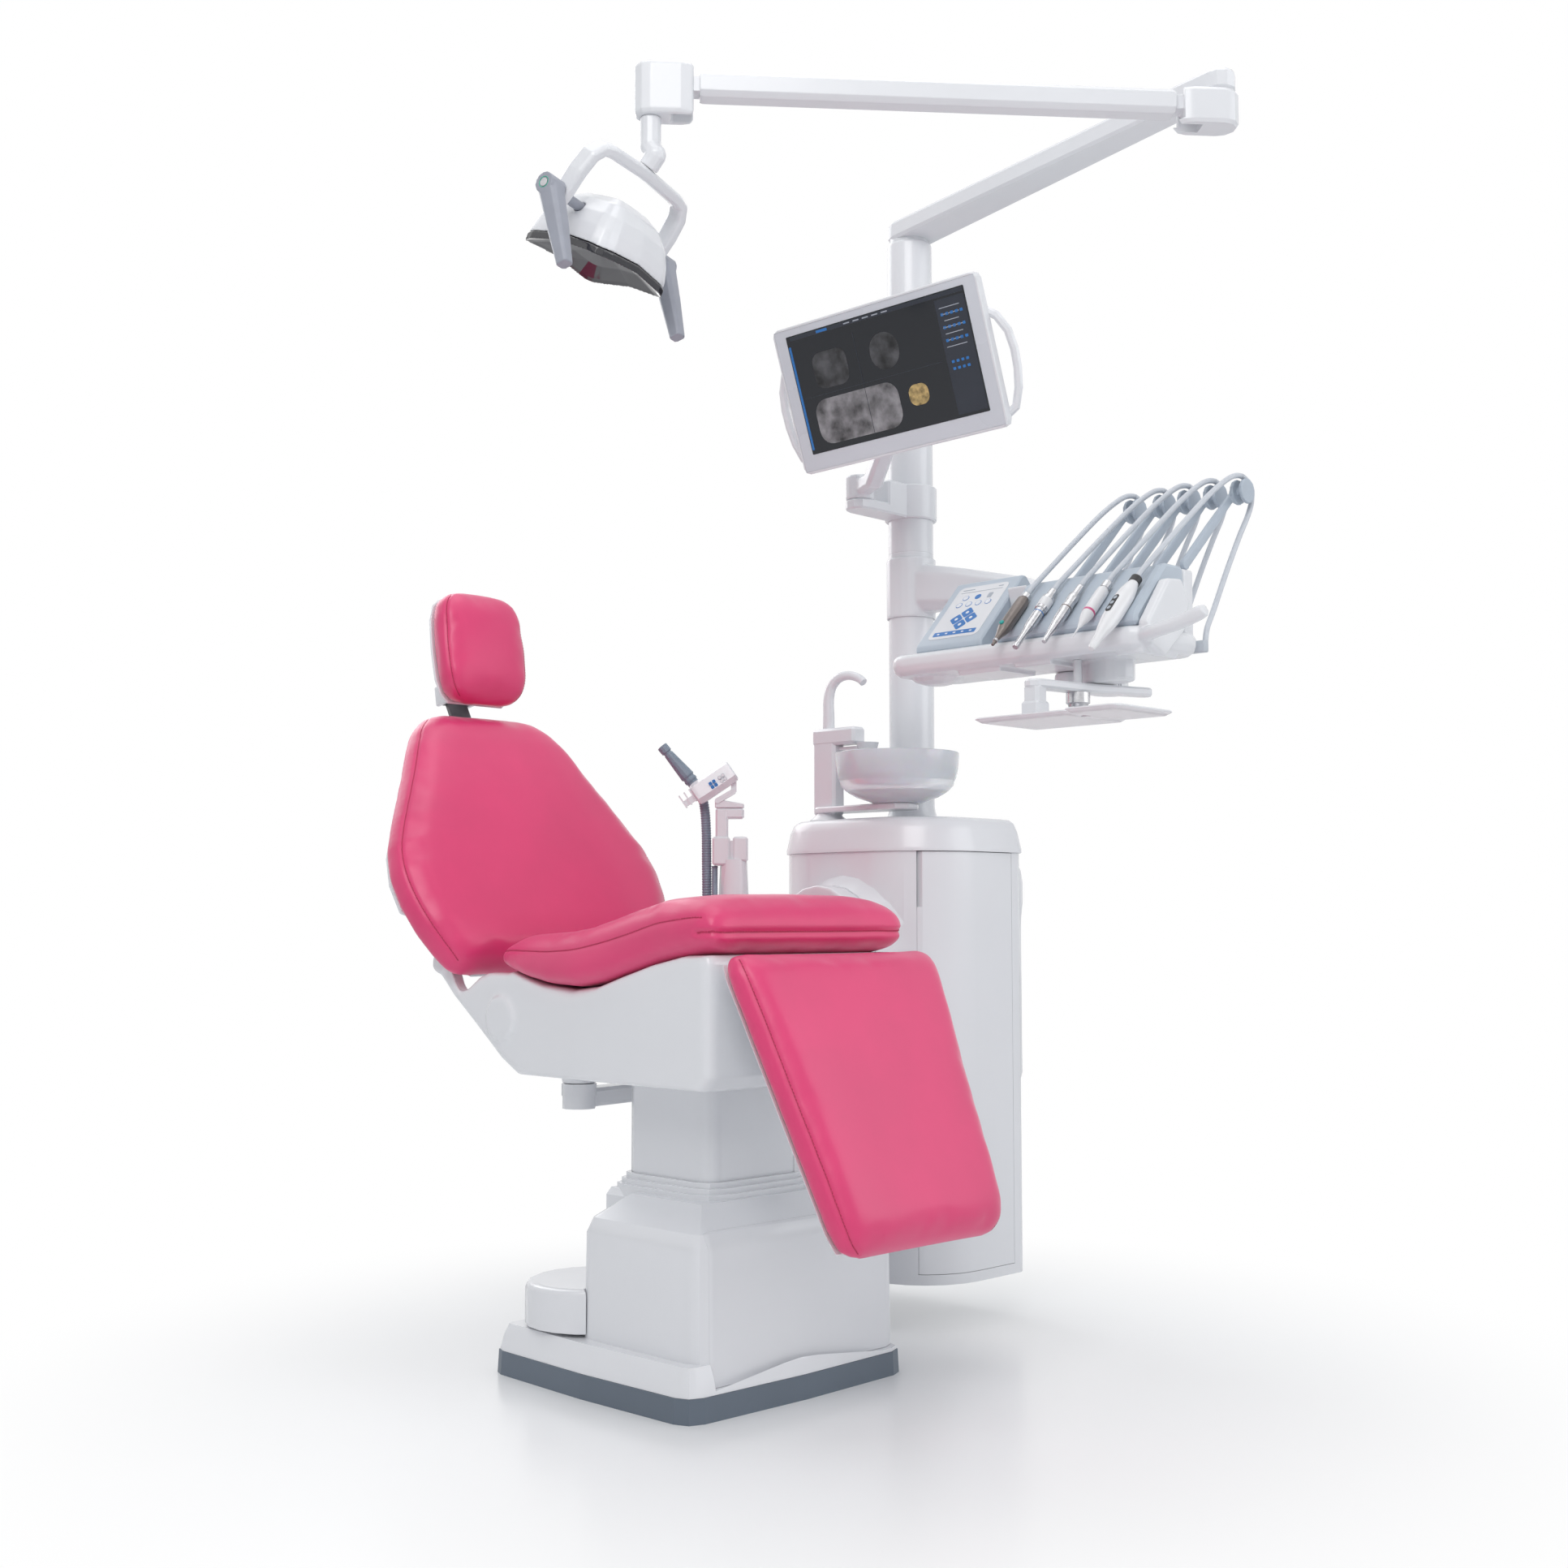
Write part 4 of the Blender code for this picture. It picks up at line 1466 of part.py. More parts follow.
def make_delivery_head():
    edge = TABLE_EDGE
    levels = ((TABLE_BOTTOM, edge * 1.2), (TABLE_BOTTOM + edge * 0.6, edge * 0.35),
              (TABLE_BOTTOM + edge * 1.6, 0.0),
              (TABLE_TOP - edge * 0.9, 0.0), (TABLE_TOP - edge * 0.3, edge * 0.4), (TABLE_TOP, edge * 1.2))
    head = stack("delivery_head", table_plan, levels, WHITE)
    hub = cylinder("head_hub", (HEAD_PIVOT_X, HEAD_PIVOT_Y, HEAD_ARM_TOP + GAP),
                   (HEAD_PIVOT_X, HEAD_PIVOT_Y, TABLE_BOTTOM + edge), HEAD_PIVOT_RADIUS, WHITE)
    housing = flat_bar("head_housing", HOUSING_START, HOUSING_END, HOUSING_END_RADIUS, HOUSING_END_RADIUS,
                       HEAD_ARM_BOTTOM, TABLE_BOTTOM + edge, WHITE, edge=COLLAR_WALL)
    bulge = turned("head_bulge", ((0, TABLE_BOTTOM + edge), (BULGE_RADIUS, TABLE_BOTTOM + edge),
                                  (BULGE_RADIUS, TABLE_BOTTOM),
                                  (BULGE_RADIUS * 0.8, TABLE_BOTTOM - BULGE_DEPTH * 0.6),
                                  (BULGE_RADIUS * 0.4, TABLE_BOTTOM - BULGE_DEPTH),
                                  (0, TABLE_BOTTOM - BULGE_DEPTH)),
                   (BULGE_X, BULGE_Y, 0), WHITE)
    join(head, hub, housing, bulge)
    for front, right, left, drop in UNDER_PLATES:
        join(head, box("under_plate", (front, right, TABLE_BOTTOM - drop),
                       (front + UNDER_PLATE_DEPTH, left, TABLE_BOTTOM + edge), WHITE))
    join(head, prism("head_ridge", ((CRADLE_RIDGE_X, TABLE_TOP - edge), (CRADLE_BACK, TABLE_TOP - edge),
                                    (CRADLE_BACK, CRADLE_TOP_Z - edge), (CRADLE_TOP_X, CRADLE_TOP_Z)),
                     CRADLE_LEFT + GAP, CONSOLE_RIGHT - GAP, WHITE))
    join(head, box("whip_rail", (CRADLE_BACK + GAP, WHIP_RAIL_RIGHT, TABLE_TOP - edge),
                   (WHIP_RAIL_BACK, WHIP_RAIL_LEFT, WHIP_BASE_Z - WHIP_HEIGHT / 2 - GAP * 2), WHITE, bevel=PAD_EDGE / 4))
    join(head, prism("head_fin", FIN_OUTLINE, TABLE_RIGHT - FIN_OUT, TABLE_RIGHT + FIN_IN, WHITE,
                     bevel=FIN_EDGE))
    handle = solid_tube("head_handle", smooth_route(HANDLE_ROUTE, 14), HANDLE_RADIUS, WHITE,
                        radii=[0.9] + [1.0] * 12 + [0.8])
    join(head, handle)

    base = TABLE_TOP + GAP
    slope_x = CONSOLE_FRONT + CONSOLE_FACE_LENGTH * cos(CONSOLE_SLOPE)
    slope_z = base + CONSOLE_LIP + CONSOLE_FACE_LENGTH * sin(CONSOLE_SLOPE)
    prism("control_console", ((CONSOLE_FRONT, base), (CONSOLE_FRONT, base + CONSOLE_LIP),
                              (slope_x, slope_z),
                              (slope_x + CONSOLE_LIP, slope_z), (CONSOLE_BACK, slope_z - CONSOLE_LIP * 2),
                              (CONSOLE_BACK, base)), CONSOLE_RIGHT, CONSOLE_LEFT, PALE_BLUE,
                              bevel=CONSOLE_LIP / 4)

    cradle = prism("instrument_cradle", ((CRADLE_FRONT, base), (CRADLE_FRONT, base + CRADLE_LIP),
                                         (CRADLE_TOP_X, CRADLE_TOP_Z), (CRADLE_BACK, CRADLE_TOP_Z),
                                         (CRADLE_BACK, base)), CRADLE_RIGHT, CRADLE_LEFT, PALE_BLUE,
                                         bevel=CRADLE_LIP / 3)
    for k in range(INSTRUMENT_COUNT):
        y = instrument_y(k)
        reach = TAIL_X - CRADLE_FRONT + OVERRUN * 3
        radius = CHANNEL_RADIUS * CHANNEL_SHARES[k] + RUNNING_GAP
        cut(cradle, cylinder("channel_%d" % k, (TAIL_X - reach, y, TAIL_Z - reach),
                             (TAIL_X + reach, y, TAIL_Z + reach),
                             radius, WHITE, steps=RING_STEPS))
        if k == INSTRUMENT_COUNT - 1:
            cut(head, cylinder("fin_clearance", (TAIL_X - reach, y, TAIL_Z - reach),
                               (TAIL_X + reach, y, TAIL_Z + reach),
                               radius, WHITE, steps=RING_STEPS))


def instrument_y(k):
    return FIRST_INSTRUMENT_Y - INSTRUMENT_PITCH * k


def make_instruments():
    for k, (name, length, look, shares) in enumerate(INSTRUMENTS):
        holder = frame(name + "_frame", (TAIL_X, instrument_y(k), TAIL_Z), (0, INSTRUMENT_SLOPE, 0))
        radius = CHANNEL_RADIUS * CHANNEL_SHARES[k]
        profile = [(radius * wide, -length * along) for wide, along in shares]
        body = turned(name, [(0, 0)] + profile + [(0, -length)], (0, 0, 0), look, holder)
        if name == "syringe":
            join(body, box("syringe_button", (-radius * 1.25, -radius * 0.5, -length * 0.72),
                           (0, radius * 0.5, -length * 0.60), look, holder))
        if name == "turbine":
            join(body, cylinder("turbine_head", (-TURBINE_HEAD_RADIUS * 1.3, 0, -length),
                                (TURBINE_HEAD_RADIUS * 0.9, 0, -length), TURBINE_HEAD_RADIUS, look, holder))
        if name == "scanner":
            join(body, box("scanner_clip", (-radius * 0.2, -radius * 0.35, -length * 1.14),
                           (radius * 0.5, radius * 0.35, -length * 0.96), look, holder))


def make_whips():
    rise = PULLEY_Z - WHIP_BASE_Z
    for k in range(INSTRUMENT_COUNT):
        y = WHIP_YS[k]
        lean = atan2(PULLEY_X - WHIP_BASE_X, rise)
        length = hypot(PULLEY_X - WHIP_BASE_X, rise)
        holder = frame("whip_frame_%d" % (k + 1), (WHIP_BASE_X, y, WHIP_BASE_Z), (0, lean, 0))
        half = WHIP_WIDTH / 2
        whip = swept("whip_%d" % (k + 1),
                     [((0, 0, 0), half, WHIP_HEIGHT / 2), ((0, 0, length * 0.5), half, WHIP_HEIGHT / 2),
                      ((0, 0, length + AXLE_RADIUS), half, WHIP_HEIGHT * 0.36)],
                     (0, 1, 0), WHIP_GREY, holder)
        join(whip, cylinder("whip_root", (0, -half * 0.9, 0), (0, half * 0.9, 0), WHIP_HEIGHT / 2,
                            WHIP_GREY, holder))
        out = PULLEY_SPACING + PULLEY_WIDTH
        side = -half
        hub = cylinder("pulley_hub", (0, side - out - PULLEY_WIDTH, length), (0, half, length),
                       AXLE_RADIUS * 1.6, WHIP_GREY,
                       holder, steps=8)
        join(whip, hub)
        for start in (side - PULLEY_WIDTH, side - out - PULLEY_WIDTH):
            join(whip, cylinder("pulley_disc", (0, start, length), (0, start + PULLEY_WIDTH, length),
                                PULLEY_RADIUS,
                                WHIP_GREY, holder))


def make_instrument_hoses():
    low = (TABLE_BACK + GAP, WHIP_YS[-1] - MANIFOLD_REACH, HOSE_END_Z - MANIFOLD_HEIGHT / 2)
    high = (TABLE_BACK + MANIFOLD_DEPTH, WHIP_YS[0], HOSE_END_Z + MANIFOLD_HEIGHT / 2)
    hoses = box("instrument_hoses", low, high, HOSE_GREY)
    for k in range(INSTRUMENT_COUNT):
        groove = WHIP_YS[k] - WHIP_WIDTH / 2 - PULLEY_WIDTH - PULLEY_SPACING / 2
        y = instrument_y(k)
        route = [(TAIL_X + GAP * 2, y, TAIL_Z + GAP * 2),
                 (TAIL_X + HOSE_RADIUS * 3, y, TAIL_Z + HOSE_RADIUS * 3)]
        for along, rise in HOSE_ROUTE_SHARES:
            share = min(1.0, along * 1.15)
            route.append((between(TAIL_X, PULLEY_X, along), between(y, groove, share),
                          between(TAIL_Z, HOSE_CREST_Z, rise)))
        for x, z in HOSE_FALL:
            route.append((x, groove, z))
        route += [(HOSE_END_X + HOSE_RADIUS * 2, groove, HOSE_END_Z), (HOSE_END_X, groove, HOSE_END_Z)]
        join(hoses, solid_tube("hose_%d" % (k + 1), smooth_route(route, HOSE_POINTS), HOSE_RADIUS,
                               HOSE_GREY))


def make_tray():
    bar_low = TRAY_BAR_TOP - TRAY_BAR_HEIGHT
    pivot = (TRAY_PIVOT_X, TRAY_PIVOT_Y)
    half = TRAY_BAR_WIDTH / 2
    bracket = flat_bar("tray_bracket", (TRAY_BLOCK_X, TRAY_BLOCK_Y), pivot, half, half, bar_low,
                       TRAY_BAR_TOP, WHITE,
                       edge=TRAY_BAR_HEIGHT / 4)
    tail = flat_bar("tray_tail", pivot, (TRAY_BAR_END_X, TRAY_BAR_END_Y), half, half * 0.8, bar_low,
                    TRAY_BAR_TOP, WHITE,
                    edge=TRAY_BAR_HEIGHT / 4)
    shaft = cylinder("tray_shaft", (*pivot, bar_low - KNOB_SHAFT_LENGTH), (*pivot, TABLE_BOTTOM - GAP),
                     KNOB_SHAFT_RADIUS, WHITE)
    plate_top = TRAY_PLATE_Z + TRAY_PLATE_THICKNESS
    block = box("tray_block", (TRAY_BLOCK_X - half, TRAY_BLOCK_Y - half, plate_top + GAP),
                (TRAY_BLOCK_X + half, TRAY_BLOCK_Y + half, plate_top + GAP + TRAY_BLOCK_HEIGHT), WHITE,
                bevel=TRAY_BAR_HEIGHT / 4)
    neck = swept("tray_neck", [((TRAY_BLOCK_X, TRAY_BLOCK_Y, plate_top + TRAY_BLOCK_HEIGHT / 2), half * 0.9,
                                half * 0.8),
                               ((TRAY_BLOCK_X, TRAY_BLOCK_Y, bar_low), half * 0.9, half * 0.8),
                               ((TRAY_BLOCK_X + half * 0.4, TRAY_BLOCK_Y,
                                 TRAY_BAR_TOP - TRAY_BAR_HEIGHT / 3), half * 0.85, half * 0.5)],
                 (0, 1, 0), WHITE)
    ring = turned("ring_pull", [(RING_PULL_RADIUS + RING_PULL_WIRE * cos(i * pi / 2),
                                 -RING_PULL_WIRE * sin(i * pi / 2))
                                for i in range(5)], (0, 0, 0), STEEL,
                  frame("ring_frame", (RING_PULL_X, RING_PULL_Y, TRAY_BAR_TOP + RING_PULL_RADIUS * 0.7),
                        (pi / 2, 0, pi / 4)), steps=12)
    join(bracket, tail, shaft, block, neck, ring)
    knob_top = bar_low - GAP
    knob_low = knob_top - KNOB_HEIGHT
    knob = turned("tray_knob", ((0, knob_top), (KNOB_RADIUS, knob_top),
                                (KNOB_RADIUS, between(knob_low, knob_top, 0.25)),
                                (KNOB_RADIUS * 0.86, between(knob_low, knob_top, 0.18)),
                                (KNOB_RADIUS * 0.80, knob_low),
                                (0, knob_low)), (*pivot, 0), STEEL, steps=RING_STEPS)
    cut(knob, cylinder("knob_bore", (*pivot, knob_low - OVERRUN), (*pivot, knob_top + OVERRUN),
                       KNOB_SHAFT_RADIUS + RUNNING_GAP, STEEL))

    def plate(name, left, right, front, rear):
        radii = (TRAY_CORNER, TRAY_CORNER, TRAY_CORNER, TRAY_CORNER)

        def plan(inset):
            return rounded(left, right, front, rear, radii, inset)

        thick = TRAY_PLATE_THICKNESS
        levels = ((TRAY_PLATE_Z, TRAY_TAPER), (TRAY_PLATE_Z + thick * 0.7, 0.0),
                  (TRAY_PLATE_Z + thick, thick * 0.1))
        made = stack(name, plan, levels, WHITE)
        well = stack(name + "_well", lambda inset: plan(inset + TRAY_RIM),
                     ((TRAY_PLATE_Z + thick * 0.6, thick * 0.4), (TRAY_PLATE_Z + thick + OVERRUN, 0.0)),
                     WHITE)
        return cut(made, well)

    large = plate("tray_plates", PLATE_LEFT, PLATE_RIGHT, PLATE_SPLIT, PLATE_REAR)
    small = plate("tray_small", PLATE_LEFT - SMALL_PLATE_SHIFT, PLATE_RIGHT - SMALL_PLATE_INSET,
                  PLATE_FRONT, PLATE_SPLIT - GAP)
    bridge = box("tray_bridge", (TRAY_BLOCK_X - half * 1.4, PLATE_SPLIT - TRAY_RIM * 2, TRAY_PLATE_Z + GAP),
                 (TRAY_BLOCK_X + half * 1.4, PLATE_SPLIT + TRAY_RIM * 2, plate_top - GAP), WHITE)
    pad = box("tray_pad", (TRAY_BLOCK_X - half, TRAY_BLOCK_Y - half, TRAY_PLATE_Z + GAP),
              (TRAY_BLOCK_X + half, TRAY_BLOCK_Y + half, plate_top), WHITE)
    join(large, small, bridge, pad)


def make_monitor():
    hub = (HUB_MONITOR_X, HUB_MONITOR_Y)
    plate = flat_bar("clamp_plate", (POST_X, POST_Y), hub, HUB_MONITOR_RADIUS, HUB_MONITOR_RADIUS,
                     CLAMP_BOTTOM,
                     MONITOR_ARM_BOTTOM - GAP, WHITE, edge=CLAMP_WALL / 2)
    cheek = box("clamp_cheek", (POST_X - POST_RADIUS - CLAMP_CHEEK_REACH, POST_Y - HUB_MONITOR_RADIUS,
                                CLAMP_BOTTOM),
                (POST_X, POST_Y + HUB_MONITOR_RADIUS - GAP, CLAMP_TOP - GAP), WHITE, bevel=CLAMP_WALL / 2)
    post_collar("monitor_clamp", CLAMP_BOTTOM - GAP, CLAMP_TOP, CLAMP_WALL, plate, cheek)

    screen = frame("screen_frame", (SCREEN_X, SCREEN_Y, SCREEN_Z), (SCREEN_TILT, SCREEN_ROLL, SCREEN_TURN),
                   "YXZ")
    arm = turned("monitor_arm", ((0, CLAMP_TOP), (HUB_MONITOR_RADIUS * 0.9, CLAMP_TOP),
                                 (HUB_MONITOR_RADIUS, CLAMP_TOP - CLAMP_WALL / 2),
                                 (HUB_MONITOR_RADIUS, MONITOR_ARM_BOTTOM),
                                 (0, MONITOR_ARM_BOTTOM)), (*hub, 0), WHITE)
    tip = Vector((SCREEN_X, SCREEN_Y, SCREEN_Z)) + screen_back() * (SCREEN_DEPTH / 2 + SCREEN_BACK_GAP)
    middle_z = between(MONITOR_ARM_BOTTOM, CLAMP_TOP, 0.5)
    stations = [((HUB_MONITOR_X, HUB_MONITOR_Y, middle_z), MONITOR_ARM_RADIUS, MONITOR_ARM_RADIUS),
                ((between(HUB_MONITOR_X, tip.x, 0.22), between(HUB_MONITOR_Y, tip.y, 0.28), middle_z),
                 MONITOR_ARM_RADIUS,
                 MONITOR_ARM_RADIUS),
                ((between(HUB_MONITOR_X, tip.x, 0.60), between(HUB_MONITOR_Y, tip.y, 0.74),
                  between(middle_z, tip.z, 0.58)),
                 MONITOR_ARM_RADIUS, MONITOR_ARM_RADIUS),
                (tip + screen_back() * SCREEN_DEPTH, MONITOR_ARM_RADIUS * 1.1, MONITOR_ARM_RADIUS)]
    side = Vector((HUB_MONITOR_Y - tip.y, tip.x - HUB_MONITOR_X, 0)).normalized()
    bar = swept("monitor_bar", stations, side, WHITE)
    knuckle = cylinder("monitor_knuckle", (-KNUCKLE_HALF_WIDTH, SCREEN_DEPTH / 2 + KNUCKLE_DEPTH, 0),
                       (KNUCKLE_HALF_WIDTH, SCREEN_DEPTH / 2 + KNUCKLE_DEPTH, 0), MONITOR_KNUCKLE_RADIUS,
                       WHITE, screen)
    join(arm, bar, knuckle)

    half_width = SCREEN_WIDTH / 2
    half_height = SCREEN_HEIGHT / 2
    depth = SCREEN_DEPTH / 2

    def face_plan(inset):
        radii = (SCREEN_RADIUS, SCREEN_RADIUS, SCREEN_RADIUS, SCREEN_RADIUS)
        return rounded(-half_width, half_width, -half_height, half_height, radii, inset)

    face_frame = frame("face_frame", (0, 0, 0), (pi / 2, 0, 0), parent=screen)
    levels = ((-depth, SCREEN_DEPTH * 0.5), (-depth * 0.7, SCREEN_DEPTH * 0.2), (-depth * 0.2, 0.0),
              (depth * 0.85, 0.0), (depth, SCREEN_DEPTH * 0.06))
    housing = stack("monitor_housing", face_plan, levels, WHITE, face_frame)
    back = cylinder("monitor_back_boss", (0, 0, -depth - BACK_BOSS_DEPTH), (0, 0, 0), BACK_BOSS_RADIUS,
                    WHITE, face_frame)
    join(housing, back)
    for side_sign, shares in ((-1, GRIP_SHARES), (1, GRIP_SHARES)):
        route = smooth_route([(side_sign * (half_width + GRIP_OUT * out), half_height * up, -depth * deep)
                              for out, up, deep in shares], 8)
        join(housing, solid_tube("monitor_grip", route, GRIP_RADIUS, WHITE, face_frame))
    cut(housing, box("glass_seat", (-half_width + GLASS_INSET, -half_height + GLASS_INSET,
                                    depth - GLASS_THICKNESS),
                     (half_width - GLASS_INSET, half_height - GLASS_INSET, depth + OVERRUN), WHITE,
                     face_frame))
    cut(housing, cylinder("knuckle_clearance", (-KNUCKLE_HALF_WIDTH - GAP, 0, -depth - KNUCKLE_DEPTH),
                          (KNUCKLE_HALF_WIDTH + GAP, 0, -depth - KNUCKLE_DEPTH),
                          MONITOR_KNUCKLE_RADIUS + RUNNING_GAP,
                          WHITE, face_frame))
    inset = GLASS_INSET + GAP
    box("monitor_screen", (-half_width + inset, -half_height + inset, depth - GLASS_THICKNESS + GAP),
        (half_width - inset, half_height - inset, depth - GAP), SCREEN_GLASS, face_frame)


def screen_back():
    """Direction out of the back of the monitor."""
    turn = Euler((SCREEN_TILT, SCREEN_ROLL, SCREEN_TURN), "YXZ").to_matrix()
    return turn @ Vector((0, 1, 0))


def make_lamp_arms():
    post = (POST_X, POST_Y)
    elbow = (ELBOW_X, ELBOW_Y)
    low = LOWER_ARM_TOP - LOWER_ARM_HEIGHT
    lower = flat_bar("light_arm_lower", post, elbow, LOWER_ARM_ROOT_WIDTH / 2, LOWER_ARM_TIP_WIDTH / 2, low,
                     LOWER_ARM_TOP,
                     WHITE, edge=ARM_EDGE)
    join(lower, cylinder("lower_arm_hub", (*post, POST_TOP + GAP), (*post, LOWER_ARM_TOP - ARM_EDGE),
                         POST_RADIUS * 0.9, WHITE))

    turn = atan2(STEM_Y - ELBOW_Y, STEM_X - ELBOW_X)
    reach = hypot(STEM_Y - ELBOW_Y, STEM_X - ELBOW_X)
    axis = frame("spring_frame", (*elbow, 0), (0, 0, turn))
    half_eye = SPRING_ARM_WIDTH / 3
    middle = SPRING_ARM_TOP - SPRING_ARM_HEIGHT / 2
    joint = flat_bar("light_elbow", (0, 0), (EYE_INSET * 0.9, 0), ELBOW_WIDTH / 2, ELBOW_WIDTH / 2,
                     ELBOW_BOTTOM, low - GAP,
                     WHITE, axis, edge=ARM_EDGE)
    cut(joint, box("elbow_slot", (EYE_INSET - SPRING_ARM_HEIGHT / 2 - RUNNING_GAP, -half_eye - GAP,
                                  ELBOW_BOTTOM - OVERRUN),
                   (EYE_INSET + ELBOW_LENGTH, half_eye + GAP, low + OVERRUN), WHITE, axis))
    cut(joint, box("elbow_mouth", (ELBOW_MOUTH - GAP, -ELBOW_WIDTH, middle - SPRING_ARM_HEIGHT * 0.75),
                   (EYE_INSET + ELBOW_LENGTH, ELBOW_WIDTH, middle + SPRING_ARM_HEIGHT * 0.75), WHITE, axis))
    start = SPRING_ARM_START
    end = SPRING_ARM_END
    tall = SPRING_ARM_HEIGHT / 2
    wide = SPRING_ARM_WIDTH / 2
    spring = swept("light_arm_spring", [((start + GAP, 0, middle), wide, tall * 0.92),
                                        ((start + ARM_EDGE, 0, middle), wide, tall),
                                        ((end - ARM_EDGE, 0, middle), wide, tall),
                                        ((end, 0, middle), wide * 0.96, tall * 0.92)], (0, 1, 0), WHITE,
                                        axis)
    for place in (EYE_INSET, reach - EYE_INSET):
        join(spring, cylinder("arm_eye", (place, -half_eye, middle), (place, half_eye, middle), tall * 0.8,
                              WHITE, axis))
    for near, far in ((EYE_INSET, start + ARM_EDGE), (end - ARM_EDGE, reach - EYE_INSET)):
        join(spring, box("eye_link", (near, -half_eye, middle - tall * 0.6),
                         (far, half_eye, middle + tall * 0.6), WHITE, axis))
    top = SPRING_ARM_TOP + KNUCKLE_TOP_RISE
    knuckle = flat_bar("light_knuckle", (reach - EYE_INSET * 0.9, 0), (reach, 0), ELBOW_WIDTH * 0.44,
                       ELBOW_WIDTH * 0.44,
                       KNUCKLE_BOTTOM, top, WHITE, axis, edge=ARM_EDGE)
    cut(knuckle, box("knuckle_slot", (end - ELBOW_LENGTH, -half_eye - GAP, KNUCKLE_BOTTOM - OVERRUN),
                     (reach - EYE_INSET + tall + RUNNING_GAP, half_eye + GAP, top + OVERRUN), WHITE, axis))
    cut(knuckle, box("knuckle_mouth", (end - ELBOW_LENGTH, -ELBOW_WIDTH, KNUCKLE_BOTTOM - OVERRUN),
                     (end + GAP, ELBOW_WIDTH, top + OVERRUN), WHITE, axis))
    return reach


def ball(name, place, radius, look, holder=None):
    shape = bmesh.new()
    bmesh.ops.create_uvsphere(shape, u_segments=12, v_segments=6, radius=radius)
    bmesh.ops.translate(shape, vec=place, verts=shape.verts)
    return finish(name, shape, look, holder)


